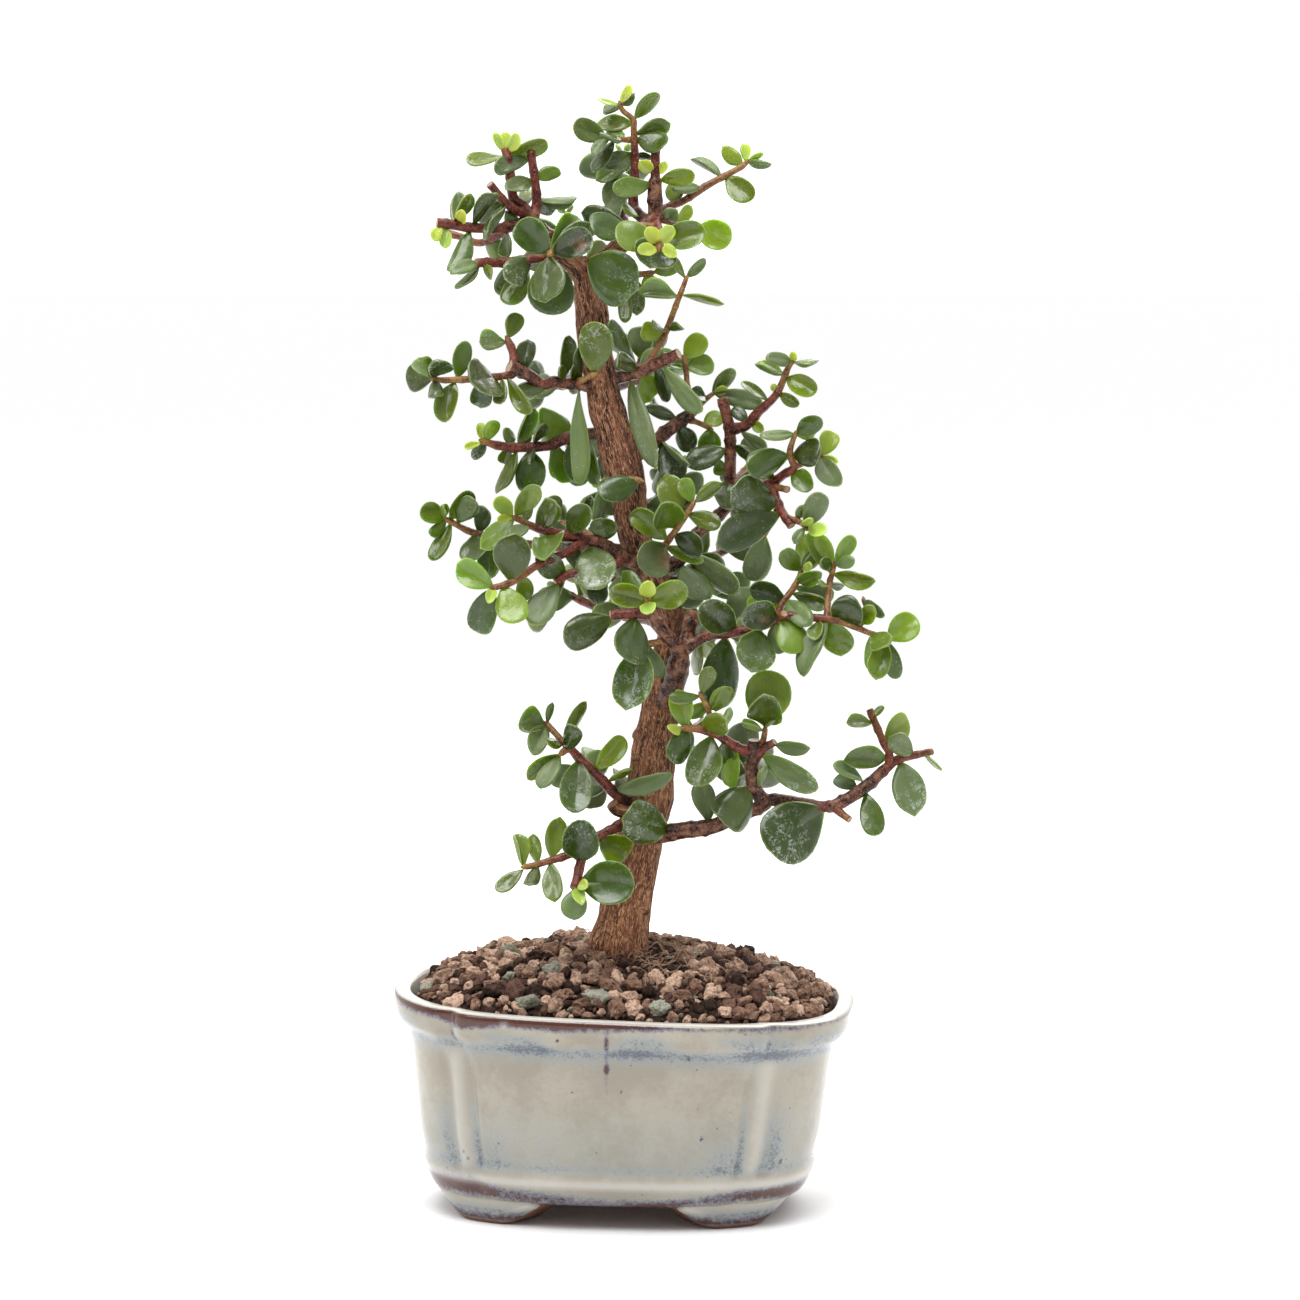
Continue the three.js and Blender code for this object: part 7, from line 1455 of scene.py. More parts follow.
def to_elevation(point):
    """u and v of a point, as the eye in front sees it."""
    d = sub(tuple(point), LOOK_AT)
    k = 1 + dot(d, AWAY) / EYE_DISTANCE
    return dot(d, RIGHT) / k, dot(d, UP) / k


def width_at(s):
    """Half width of the blade as a share, at a share of its length: a wedge at the base, a round tip."""
    if s < WIDEST:
        return math.sin(math.pi / 2 * s / WIDEST) ** 0.92
    return math.sqrt(max(1 - ((s - WIDEST) / (1 - WIDEST)) ** 2.5, 0))


def leaf_template():
    """Unit leaf: (share along, share of the half width, share of the thickness, rim) and its faces."""
    shares = [(1 - math.cos(math.pi * k / (LEAF_STATIONS - 1))) / 2 for k in range(LEAF_STATIONS)]
    rim = [(s, width_at(s)) for s in shares]
    loop = rim + [(s, -w) for s, w in reversed(rim[1:-1])]
    around = len(loop)
    points = []
    for top in (1, -1):
        for r in LEAF_RINGS[1:] if top == 1 else LEAF_RINGS[1:-1]:
            depth = math.sqrt(max(1 - r ** 4.5, 0))
            points += [(LEAF_MIDDLE + (s - LEAF_MIDDLE) * r, w * r, top * depth, r) for s, w in loop]
    centre_top = len(points)
    points += [(LEAF_MIDDLE, 0, 1, 0), (LEAF_MIDDLE, 0, -1, 0)]
    levels = len(LEAF_RINGS) - 1

    def ring_of(top, level):
        """The first point of a ring. Both faces share the one on the rim."""
        if level == levels - 1:
            return (levels - 1) * around
        return (level if top else levels + level) * around

    faces = []
    for top in (True, False):
        centre = centre_top if top else centre_top + 1
        for i in range(around):
            j = (i + 1) % around
            first = ring_of(top, 0)
            column = [[centre, first + i, first + j]]
            for level in range(levels - 1):
                a, b = ring_of(top, level), ring_of(top, level + 1)
                column.append([a + i, b + i, b + j, a + j])
            faces += column if top else [face[::-1] for face in column]
    return np.array(points), faces


LEAF_POINTS, LEAF_FACES = leaf_template()


def leaf_points(leaf, draw):
    """The blade's points, thick, cupped, twisted and curled in the leaf's own way."""
    thickness, curl, belly = LEAF_AGE[leaf.age]
    s, across, level, rim = LEAF_POINTS.T
    u, v = to_elevation(leaf.middle)
    strap = [share for at_u, at_v, share in STRAPS if math.hypot(u - at_u, v - at_v) < STRAP_REACH]
    width = leaf.width * min(strap, default=1)
    seed = draw.uniform(0, 50)
    cup = draw.uniform(*LEAF_LOOKS[leaf.age].cup)
    fold = draw.uniform(*LEAF_LOOKS[leaf.age].fold)
    twist = draw.uniform(*TWIST)
    roll = draw.uniform(*ROLL)
    tip_curl = draw.uniform(*TIP_CURL)
    point_out = draw.choice(TIP_POINTS)
    lean = draw.uniform(*LEAN)

    body = thickness * min(1, 0.6 + leaf.width / 22)
    swell = np.sqrt(np.clip(s * 4, 0.15, 1))
    height = np.where(level * -belly > 0, FLAT_SWELL, BELLY_SWELL) * level * body * swell
    height += belly * body * BELLY_SHIFT + curl * leaf.length * s ** 2
    height += leaf.length * tip_curl * np.clip(s - 0.62, 0, 1) ** 2 * 2.2
    waves = np.array([wobble(seed + a * 1.7, b * 1.4, 3) for a, b in zip(s, across)])
    dents = np.array([wobble(seed + a * 4, b * 2.6, 9) for a, b in zip(s, across)])
    height += width * (0.06 * waves * rim + 0.03 * dents)
    height += width * (cup * across ** 2 + fold * (np.abs(across) - 0.4))
    height += width * across * (twist * (s - 0.35) + roll)
    side = width * (across / 2 * (1 - 0.35 * abs(cup) * across ** 2) + lean * np.sin(np.pi * s))
    pointed = point_out * np.exp(-(across / 0.22) ** 2) * np.clip((s - 0.86) / 0.14, 0, 1)
    along = (s * 1.01 + pointed) * leaf.length - BASE_DEPTH
    blade = np.outer(along, leaf.axis) + np.outer(side, leaf.side) + np.outer(height, leaf.normal)
    return np.array(leaf.base) + blade


def leaf_color(leaf, draw):
    """Its age's colour, brighter or darker and warmer or cooler by chance."""
    look = LEAF_LOOKS[leaf.age]
    bright = 1 + draw.uniform(-look.spread, look.spread)
    warm = draw.uniform(-0.12, 0.2)
    red, green, blue = look.tone
    return red * bright * (1 + warm), green * bright, blue * bright * (1 - warm), 1


def leaf_scars(leaf, points):
    """How scarred each point is, by how near it is to a scar as the eye in front sees it."""
    u, v = to_elevation(leaf.middle)
    scars = np.zeros(len(points))
    for scar_u, scar_v, size in SCARS:
        if math.hypot(u - scar_u, v - scar_v) < leaf.length:
            far = [math.dist(to_elevation(point), (scar_u, scar_v)) for point in points]
            scars = np.maximum(scars, np.clip(1.3 - np.array(far) / size, 0, 1))
    return scars


def add_leaf(heap, leaf, draw):
    """One succulent leaf, with the marks that its material reads."""
    look = LEAF_LOOKS[leaf.age]
    belly = LEAF_AGE[leaf.age][2]
    s, _, level, rim = LEAF_POINTS.T
    points = leaf_points(leaf, draw)
    color = leaf_color(leaf, draw)
    u, v = to_elevation(leaf.middle)
    chalky = any(math.hypot(u - at_u, v - at_v) < CHALKY_REACH for at_u, at_v in CHALKY)
    bloom = (1.0 if chalky else look.bloom * draw.random() ** 1.6) * np.clip(s * 1.6 - 0.35, 0, 1)
    # painted sheen: how much paler a point is painted for looking up towards the top light
    looks_up = np.clip(np.sign(level) * leaf.normal[2], 0, 1) ** 1.5
    sheen = looks_up * draw.uniform(0.3, 1) * look.frosted * np.clip(s * 3, 0, 1)
    below = np.clip(level * belly, 0, 1) * (rim < 0.97)
    root = np.clip(1 - s * 9, 0, 1)
    heap.take(
        points, LEAF_FACES, leaf_color=color, rim=rim, below=below, bloom=bloom, sheen=sheen, root=root,
        scar=leaf_scars(leaf, points), ageing=look.mottled,
    )


YOUNG_LENGTH = 3.4
YOUNG_SPREAD = 2.4  # how far each one's tip lies to the side
FIRST_SPRAY_SEED = 100


def young_pair(name, path):
    """Two young leaves that open on a shoot's growing tip."""
    (before, _), (end, _) = wood_of(path)[-2:]
    along = unit(sub(end, before))
    side = unit(cross(along, (0, 0, 1)))
    tips = [add(add(end, along, YOUNG_LENGTH), side, sign * YOUNG_SPREAD) for sign in (1, -1)]
    return [Leaf(name, end, tip, YOUNG_LENGTH, along, 0, "b") for tip in tips]


def build_sprays():
    """Each spray's shoots as one piece and its leaves as another."""
    leaves = place_leaves()
    for number, spray in enumerate(SPRAYS):
        name = spray["name"]
        draw = random.Random(FIRST_SPRAY_SEED + number)
        shoots, blades = Heap(), Heap()
        for path in spray["stems"]:
            add_shoot(shoots, path, draw)
        own = [leaf for leaf in leaves if leaf.node == name]
        for stem, _, _ in spray.get("grown", []):
            own += young_pair(name, spray["stems"][stem])
        for leaf in own:
            add_leaf(blades, leaf, draw)
        shoots.piece(name + "_shoots", SHOOT, "bark", name)
        blades.piece(name + "_leaves", LEAF, "foliage", name)


# ---------------------------------------------------------------- the pot's shape
# Outside from under the floor up to the lip, then inside down to the floor: half length, height, and how deep
# the notch and the furrows are cut where lobe and panel meet.
POT_PROFILE = [
    (50, FOOT_HEIGHT + 1, 0, 0), (61, FOOT_HEIGHT, 0.6, 0), (64.6, 13.5, 1, 0), (65.9, 17.5, 0.6, 0.3),
    (65.8, 21, 0, 1.1), (67.6, 30, 0, 1.3), (70.2, 52, 0.3, 1.2), (72.2, 60, 1.2, 0), (75.4, 63.8, 2.2, 0),
    (POT_HALF_LENGTH, 66.8, 2.4, 0), (POT_HALF_LENGTH, 71, 2.4, 0), (75.2, POT_HEIGHT, 2, 0),
    (72.2, POT_HEIGHT, 1.4, 0), (70.9, 70.9, 0.6, 0), (67, 58, 0, 0), (57, FLOOR_TOP, 0, 0),
]
FIRST_WALL = 1  # the profile's row where the glazed outside starts
FIRST_INSIDE = 12  # and where the wall turns in
PROFILE_STEP = 1.2
PROFILE_PULL = 0.36  # under SMOOTH_PULL, so that the lip's edges stay crisp
AROUND = [math.radians(k / 2) for k in range(720)]  # every half degree
UNEVEN = 0.18  # how far the hand-made wall strays


def plan_reach(half_length, c, s):
    """How far the plan of this half length reaches in the direction (c, s)."""
    along = abs(c / half_length) ** CORNER_POWER
    deep = abs(s / (half_length - POT_LENGTH_OVER_DEPTH)) ** CORNER_POWER
    return (along + deep) ** (-1 / CORNER_POWER)


def off_long_axis(c, s):
    """Degrees between the direction (c, s) and the pot's long axis, alike in its four quarters."""
    return math.degrees(math.atan2(abs(s), abs(c)))


def seam_cut(off_axis, notch, furrow):
    """How deep the wall is cut in where lobe and panel meet: a notch, and a furrow each side of a ridge."""
    furrows = 0.8 * bell(off_axis, SEAM - 4, 2.2) + bell(off_axis, SEAM + 3.5, 1.5)
    return notch * bell(off_axis, SEAM + 1, 3) + furrow * (furrows - 0.3 * bell(off_axis, SEAM, 1.8))


def leaned(x, y, z):
    """The hand-made pot's lean and its sloping rim, which rises a little more at the left."""
    lift = 1.5 * max((-x - 42) / 34, 0) ** 1.6
    return x + POT_LEAN * (z - POT_HEIGHT), y, z + (RIM_SLOPE * x + lift) * (z / POT_HEIGHT)


def fine_profile():
    """The profile's row numbers, with parts between them, and its finer rows."""
    rows = [np.array(row, float) for row in POT_PROFILE]
    padded = [rows[0], *rows, rows[-1]]
    fine = []
    for i in range(len(rows) - 1):
        steps = max(4, round((rows[i + 1][1] - rows[i][1]) / PROFILE_STEP))
        fine += [(i + k / steps, spline(padded[i:i + 4], k / steps, PROFILE_PULL)) for k in range(steps)]
    fine.append((len(rows) - 1, rows[-1]))
    return fine


# ---------------------------------------------------------------- the pot's glaze
LIP_TOP = 71.7  # where the white on top of the lip ends
WALL_FOOT, WALL_HEAD = 18.5, 60  # heights that the panels lie between
BACK_BREAKS = 0.95  # how strongly the lip's edge breaks at the back
# Along the front from the left, how far the brown edge runs down below the white lip, and how strongly it
# breaks there: over 0.6 it is brown, less is violet.
LIP_BROWN = [
    (-80, 1.5), (-62, 2.2), (-53, 4.3), (-46, 3.4), (-40, 2.2), (-32, 2.4), (-22, 2.8), (-6, 1.9), (11, 1.2),
    (30, 0.8), (46, 2.4), (62, 0.9), (80, 0.8),
]
LIP_BREAKS = [(-80, 1.05), (-10, 1), (11, 0.85), (22, 0.6), (46, 0.46), (62, 0.52), (80, 0.6)]
# The same for the moulding at the base: how far the brown reaches up and down, and how strongly it breaks
BASE_BROWN = [
    (-80, 3.5), (-62, 4), (-53, 3.8), (-40, 3), (-22, 2.9), (-6, 2.6), (11, 1), (30, 2.4), (46, 2.2),
    (60, 3.2), (80, 3.4),
]
BASE_BREAKS = [
    (-80, 0.95), (-50, 0.95), (-40, 0.58), (-22, 0.58), (-6, 0.4), (11, 0.8), (22, 0.5), (30, 0.55),
    (46, 0.85), (80, 0.95),
]
# dark marks in the front's glaze: along the front, height, size
SPOTS = [
    (20.8, 60.5, 0.7), (22.5, 36, 0.4), (25, 33, 0.6), (51, 23, 0.6), (-21.7, 65.3, 0.5), (-51.5, 22.5, 0.6),
    (-53, 24.5, 0.5), (-1, 48, 0.3),
]
# Bands round the pot: their middle's height, how far they reach, how strong they are. The two just under the
# lip are partly pooled glaze and partly a painted shadow of the lip; the one below 0 keeps blue off the painted
# highlight on the base moulding.
POOL_AND_SHADE_BANDS = [
    (61.3, 2.3, 0.665), (58, 3.5, 0.45), (34, 12, 0.34), (24, 6, 0.24), (20.5, 2.2, 0.42), (16.5, 2, -0.4),
]
# patchier bands: under the lip, partly pooled glaze and partly a painted shadow of the lip, and on the lip's
# face
PATCHY_POOL_AND_SHADE_BANDS = [(61.3, 2.3, 0.285), (66, 3.2, 0.75)]
# a run of brown down the front's middle
DRIP_PLACE, DRIP_WIDTH = -5.8, 0.85
DRIP = [(65.5, 2.8, 0.6), (61, 5, 0.25), (55.5, 1.7, 0.85), (50, 9, 0.22)]
CHIP_PLACE, CHIP_LEVEL = -39, 69.6  # a pale chip in the lip's brown edge


def bands(rows, level):
    """How strong bands of glaze are at a height, all together."""
    return sum(strength * bell(level, middle, reach) for middle, reach, strength in rows)


def along_front(table, seen):
    """A table's value at a place along the pot's front."""
    return float(np.interp(seen, *zip(*table)))


def seam_pools(off_axis, level):
    """Glaze that gathers in the furrows beside the seam's ridge and runs off the ridge."""
    beside = 0.42 * bell(off_axis, SEAM - 6, 3.6) * bell(level, 28, 14)
    furrow = 0.48 * bell(off_axis, SEAM + 3.3, 1.1) * held((58 - level) / 30, 0.2)
    lobe = 0.3 * bell(off_axis, SEAM + 8, 6) * bell(level, 24, 9)
    return beside + furrow + lobe - 0.5 * bell(off_axis, SEAM - 0.3, 1.6)


def glaze_marks(x, y, level, off_axis, row):
    """How much the glaze pools, breaks to brown, is bare and is pale at a point of the pot, with painted shade
    under the lip and in the seam's notch, and painted highlights on the lip's top, the base moulding and the
    seam's ridge.
    """
    if row > FIRST_INSIDE + 0.4:
        return 0.0, 0.0, 0.35 * bell(level, 52, 9), 0.25
    drift = wobble(x * 0.03, y * 0.03, level * 0.03)
    patch = held(0.4 + 2.4 * wobble(x * 0.055 + 3, y * 0.055, level * 0.1))
    wall = held(min((level - WALL_FOOT) / 4, (WALL_HEAD - level) / 3))
    seen = x * RIGHT[0] + y * RIGHT[1]
    if y < 0:
        lip, lip_breaks = along_front(LIP_BROWN, seen), along_front(LIP_BREAKS, seen)
        base, base_breaks = along_front(BASE_BROWN, seen), along_front(BASE_BREAKS, seen)
    else:
        lip, lip_breaks = 1.6 + 2.4 * drift, BACK_BREAKS
        base, base_breaks = 2.4 + 2 * drift, 0.75 + 0.5 * drift
    base_level = 9.6 + 3.4 * bell(off_axis, SEAM - 8, 17) + 1.2 * drift

    pool = bands(POOL_AND_SHADE_BANDS, level) + patch * bands(PATCHY_POOL_AND_SHADE_BANDS, level) + wall * seam_pools(off_axis, level)
    pool += 0.6 * bell(level, base_level + 0.8, 1.6 + base * 0.8)

    worn = lip_breaks * held((LIP_TOP - level) / 0.4) * held((level - LIP_TOP + lip) / 3.2 + 0.55)
    worn += base_breaks * bell(level, base_level, 0.8 + base * 0.72)
    # painted shade: a dark crease where the lip is notched at the seam, carried with the glaze's breaks
    worn += 0.55 * bell(off_axis, SEAM + 1.5, 0.9) * bell(level, 64, 3)

    # the white top of the lip is partly white glaze and partly a painted highlight; the pale band at 16 is a
    # painted highlight on the base moulding
    pale = 0.95 * held((level - LIP_TOP) / 0.5) + 0.55 * bell(level, 16, 1.6)
    # painted highlight along the seam's ridge
    pale += 0.28 * wall * bell(off_axis, SEAM - 0.3, 2.4)
    if y < 0:
        worn += bell(seen, DRIP_PLACE, DRIP_WIDTH) * bands(DRIP, level)
        for place, spot_level, size in SPOTS:
            worn += 0.9 * bell(seen, place, size) * bell(level, spot_level, size * 1.3)
        pale += 0.9 * bell(seen, CHIP_PLACE, 1.3) * bell(level, CHIP_LEVEL, 0.5)
    return pool, worn, float(row < FIRST_WALL), pale


def wall_place(c, s, z):
    """Where the glaze's runs are looked up: round the pot, and slowly down it, so that they are long."""
    return c * 70, s * 50, z * 0.16


def take_glazed(heap, points, faces, marks, places):
    """Adds a shape with the marks that the glaze reads."""
    pool, worn, bare, pale = np.array(marks).T
    heap.take(points, faces, pool=pool, worn=worn, bare=bare, pale=pale, wall_place=np.array(places))


# ---------------------------------------------------------------- building the pot
FOOT_START, FOOT_END = 0.32, 1.02  # the angles that a foot lies between, from the long axis
FOOT_SECTIONS = 33
FOOT_ENDS = 2.7  # how steeply its two ends come down
# its section: half length of the plan, and height as a share of the foot's
FOOT_OUTLINE = [
    (61.6, 1.2), (61.2, 0.95), (60.4, 0.6), (59.4, 0.24), (58.6, 0.05), (57.8, 0), (48.6, 0), (47.6, 0.1),
    (46.3, 0.5), (44, 1.2),
]
FOOT_INSIDE = 58  # the half length where its unglazed side starts


def add_foot(heap, sign_x, sign_y):
    """A bracket foot under one corner, low at its two ends."""
    points, marks, places = [], [], []
    for k in range(FOOT_SECTIONS):
        t = k / (FOOT_SECTIONS - 1)
        angle = FOOT_START + (FOOT_END - FOOT_START) * t
        c, s = math.cos(angle) * sign_x, math.sin(angle) * sign_y
        soft = min(min(t, 1 - t) * FOOT_ENDS, 1)
        drop = FOOT_HEIGHT * (0.25 + 0.75 * math.sin(math.pi / 2 * soft) ** 1.15)
        for half_length, rise in FOOT_OUTLINE:
            reach = plan_reach(half_length, c, s)
            z = FOOT_HEIGHT - drop + drop * rise
            points.append((reach * c + POT_LEAN * (z - POT_HEIGHT), reach * s, z))
            bare = 1.0 if half_length < FOOT_INSIDE else held(0.8 - z / 4.6)
            marks.append((0.95 * bell(z, 4.4, 2.2), 0.72 * bell(z, 2.6, 1.6), bare, 0.6 * bell(z, 6.9, 1.1)))
            places.append(wall_place(c, s, z))
    count = len(FOOT_OUTLINE)
    points += [np.mean(points[:count], axis=0), np.mean(points[-count:], axis=0)]
    marks += [marks[0], marks[-1]]
    places += [places[0], places[-1]]
    faces = ring_faces(FOOT_SECTIONS, count)
    if sign_x * sign_y > 0:
        faces = [face[::-1] for face in faces]
    take_glazed(heap, points, faces, marks, places)


DRAIN_SIDES = 40
FLOOR_SHIFT = POT_LEAN * (FLOOR_TOP - POT_HEIGHT)


def cut_drain_holes(pot):
    """Cuts the two drain holes through the floor, as a boolean that is applied to the mesh."""
    angles = np.arange(DRAIN_SIDES) / DRAIN_SIDES * 2 * math.pi
    for x in (FLOOR_SHIFT - DRAIN_HOLE_X, FLOOR_SHIFT + DRAIN_HOLE_X):
        across, deep = x + DRAIN_HOLE_RADIUS * np.cos(angles), DRAIN_HOLE_RADIUS * np.sin(angles)
        ends = (0, 2 * FLOOR_TOP)
        rings = [np.stack([across, deep, np.full(DRAIN_SIDES, z)], 1) for z in ends]
        points = np.concatenate([*rings, [(x, 0, z) for z in ends]])
        cutter = mesh_object("drain_cutter", points, ring_faces(2, DRAIN_SIDES))
        modifier = pot.modifiers.new("drain", "BOOLEAN")
        modifier.object = cutter
        modifier.operation = "DIFFERENCE"
        modifier.solver = "EXACT"
        bpy.context.view_layer.update()
        evaluated = pot.evaluated_get(bpy.context.evaluated_depsgraph_get())
        cut = bpy.data.meshes.new_from_object(evaluated)
        pot.modifiers.clear()
        pot.data = cut
        bpy.data.objects.remove(cutter)


def build_pot():
    """The wall, lip and floor as one lofted skin, the four feet, and the drain holes cut through them."""
    profile = fine_profile()
    points, marks, places = [], [], []
    for row, (half_length, z, notch, furrow) in profile:
        for angle in AROUND:
            c, s = math.cos(angle), math.sin(angle)
            off_axis = off_long_axis(c, s)
            reach = plan_reach(half_length, c, s) - seam_cut(off_axis, notch, furrow)
            x, y, level = leaned(reach * c, reach * s, z)
            grow = 1 + UNEVEN * wobble(x * 0.05, y * 0.05, level * 0.05) / math.hypot(x, y)
            points.append((x * grow, y * grow, level))
            marks.append(glaze_marks(x, y, z, off_axis, row))
            places.append(wall_place(c, s, z))
    points += [(0, 0, FOOT_HEIGHT + 1), (0, 0, FLOOR_TOP)]
    marks += [(0.1, 0, 1, 0), (0.1, 0, 0.8, 0)]
    places += [(0, 0, 0), (0, 0, 0)]
    heap = Heap()
    take_glazed(heap, points, ring_faces(len(profile), len(AROUND)), marks, places)
    for sign_x in (-1, 1):
        for sign_y in (-1, 1):
            add_foot(heap, sign_x, sign_y)
    pot = heap.piece("glazed_pot", GLAZE, "glaze", "pot")
    cut_drain_holes(pot)


# ---------------------------------------------------------------- soil
TRUNK_FOOT = from_front((-10, -98, 0))
WALL_AT_SOIL = 70  # half length of the pot's inside where the heap meets it
FINES_AROUND = 260
FINES_RINGS = 66
FINES_BELOW = 1.5  # how far they lie under the heap's surface
SKIRT = 12  # how far their edge goes down at the wall
DRAWS_PER_GRAIN = 14  # at most, on average over one size of grain
TRUNK_CLEARANCE = 8.5  # from the trunk's middle
GRAIN_NEARNESS = 0.8  # how near two grains may lie, against the sum of their radii
FINES_TONE = -0.16  # how much darker than the dark grains
SOIL_SEED = 5

GrainSize = namedtuple("GrainSize", "radius count detail rough shares")
# the radius from and to, how many, the ball's subdivisions, how rough, and the shares of tan, dark and grey
GRAIN_SIZES = [
    GrainSize((2.4, 3.6), 180, 3, 0.9, (0.80, 0.15, 0.05)),
    GrainSize((1.6, 2.4), 480, 2, 0.9, (0.62, 0.345, 0.035)),
    GrainSize((0.8, 1.5), 900, 1, 0.7, (0.36, 0.61, 0.03)),
]


def soil_surface(x, y):
    """The heap's height at a place."""
    far = max(math.hypot(x, y), 1e-6)
    share = min(far / plan_reach(WALL_AT_SOIL, x / far, y / far), 1)
    return SOIL_EDGE + (SOIL_TOP - SOIL_EDGE) * (1 - share ** 1.25) ** 0.62 + RIM_SLOPE * x


def on_heap(angle, share):
    """The place at an angle round the pot and a share of the way to its wall."""
    c, s = math.cos(angle), math.sin(angle)
    wall = plan_reach(WALL_AT_SOIL, c, s)
    return wall * share * c, wall * share * s


def fineness(x, y):
    """Where the dark fines lie open: over 0.5 by the trunk and in patches."""
    near_trunk = bell(math.hypot(x - TRUNK_FOOT[0] - 12, (y - TRUNK_FOOT[1]) * 1.2), 0, 25)
    return 0.72 * near_trunk + 0.75 * wobble(x * 0.05 + 5, y * 0.05, 2) + 0.14


def build_fines():
    """The dark crumbs that the grains lie in."""
    points = []
    for r in range(FINES_RINGS + 1):
        for k in range(FINES_AROUND):
            x, y = on_heap(k / FINES_AROUND * 2 * math.pi, 1 - r / FINES_RINGS * 0.999)
            crumbs = 1.5 * abs(wobble(x * 0.55, y * 0.55, 0)) + 0.8 * abs(wobble(x * 1.3, y * 1.3, 5))
            rise = crumbs + 0.7 * max(fineness(x, y), 0)
            points.append((x, y, soil_surface(x, y) - FINES_BELOW + rise))
    skirt = [(x, y, z - SKIRT) for x, y, z in points[:FINES_AROUND]]
    middles = [(0, 0, SOIL_EDGE - SKIRT), (0, 0, SOIL_TOP - FINES_BELOW + 0.1)]
    heap = Heap()
    heap.take(skirt + points + middles, ring_faces(FINES_RINGS + 2, FINES_AROUND), tone=FINES_TONE)
    heap.piece("soil_fines", GRIT_DARK, "soil", "soil")


def ball(subdivisions):
    """An icosphere's points and faces."""
    shape = bmesh.new()
    bmesh.ops.create_icosphere(shape, subdivisions=subdivisions, radius=1)
    points = np.array([v.co for v in shape.verts])
    faces = [[v.index for v in face.verts] for face in shape.faces]
    shape.free()
    return points, faces


def broken(p, seed, rough):
    """A grain's reach in the direction p: flat breaks, lumps and pits."""
    coarse = wobble(p[0] * 1.2 + seed, p[1] * 1.2, p[2] * 1.2)
    lumps = abs(wobble(p[0] * 2.4 + seed, p[1] * 2.4, p[2] * 2.4))
    pits = wobble(p[0] * 5.5 + seed, p[1] * 5.5, p[2] * 5.5)
    return 0.93 + rough * (0.5 * coarse + 0.5 * lumps + 0.3 * min(pits, 0.12))


def grain_place(size, placed, draw):
    """A place and radius for a grain, or None where the trunk, open fines or another grain is in the way."""
    angle = draw.uniform(0, 2 * math.pi)
    wall = plan_reach(WALL_AT_SOIL, math.cos(angle), math.sin(angle))
    radius = draw.uniform(*size.radius)
    x, y = on_heap(angle, math.sqrt(draw.random()) * (1 - (radius + 0.2) / wall))
    if math.hypot(x - TRUNK_FOOT[0], y - TRUNK_FOOT[1]) < TRUNK_CLEARANCE + radius:
        return None
    if draw.random() < fineness(x, y) * min(1.2, radius / 1.6):
        return None
    z = soil_surface(x, y) + radius * draw.uniform(-0.45, 0.35)
    if any(math.dist((x, y, z), other[:3]) < GRAIN_NEARNESS * (radius + other[3]) for other in placed):
        return None
    return x, y, z, radius


def build_grains(draw):
    """Broken porous grains of three kinds, bedded in the fines."""
    materials = {"grit_tan": GRIT_TAN, "grit_dark": GRIT_DARK, "grit_grey": GRIT_GREY}
    heaps = {kind: Heap() for kind in materials}
    placed = []
    for size in GRAIN_SIZES:
        sphere, sphere_faces = ball(size.detail)
        made = tries = 0
        while made < size.count and tries < size.count * DRAWS_PER_GRAIN:
            tries += 1
            place = grain_place(size, placed, draw)
            if not place:
                continue
            placed.append(place)
            made += 1
            kind = draw.choices(list(heaps), size.shares)[0]
            turn = Matrix.Rotation(draw.uniform(0, 6.28), 3, (draw.uniform(-1, 1), draw.uniform(-1, 1), 1))
            stretch = np.array([draw.uniform(0.9, 1.35), draw.uniform(0.75, 1.05), draw.uniform(0.6, 0.9)])
            seed = draw.uniform(0, 200)
            lumps = np.array([broken(point, seed, size.rough) for point in sphere])
            grain = (sphere * lumps[:, None] * stretch * place[3]) @ np.array(turn).T + place[:3]
            heaps[kind].take(grain, sphere_faces, tone=draw.uniform(-0.2, 0.32))
    for kind, heap in heaps.items():
        heap.piece(kind, materials[kind], "soil", "soil", smooth=False)


FIBRES = 80
FIBRE_RINGS = 9
FIBRE_SIDES = 5
FIBRE_STEP = 1.1


def build_fibres(draw):
    """Dry root hairs and bits of stalk on the grit, most of them to the right of the trunk."""
    heap = Heap()
    for number in range(FIBRES):
        angle = draw.uniform(-1.5, 0.5) if number % 3 else draw.uniform(-3.1, 3.1)
        far = draw.uniform(9, 36)
        x, y = TRUNK_FOOT[0] + far * math.cos(angle), TRUNK_FOOT[1] + far * math.sin(angle) * 0.75
        heading = draw.uniform(0, 6.28)
        thick = draw.uniform(0.08, 0.2)
        rise = draw.uniform(0.6, 2.6)
        rings = []
        for k in range(FIBRE_RINGS):
            z = soil_surface(x, y) + rise + 0.7 * math.sin(k * 0.8 + angle * 5)
            side = np.array([-math.sin(heading), math.cos(heading), 0])
            for m in range(FIBRE_SIDES):
                turn = m / FIBRE_SIDES * 2 * math.pi
                out = math.cos(turn) * side + np.array([0, 0, math.sin(turn)])
                rings.append(np.array([x, y, z]) + thick * out)
            x, y = x + FIBRE_STEP * math.cos(heading), y + FIBRE_STEP * math.sin(heading)
            heading += draw.uniform(-0.22, 0.22)
        middles = [np.mean(rings[:FIBRE_SIDES], axis=0), np.mean(rings[-FIBRE_SIDES:], axis=0)]
        heap.take(rings + middles, ring_faces(FIBRE_RINGS, FIBRE_SIDES))
    heap.piece("root_fibres", FIBRE, "soil", "soil")


def build_soil():
    """The heap: dark fines, grains in three kinds, and fibres."""
    draw = random.Random(SOIL_SEED)
    build_fines()
    build_grains(draw)
    build_fibres(draw)


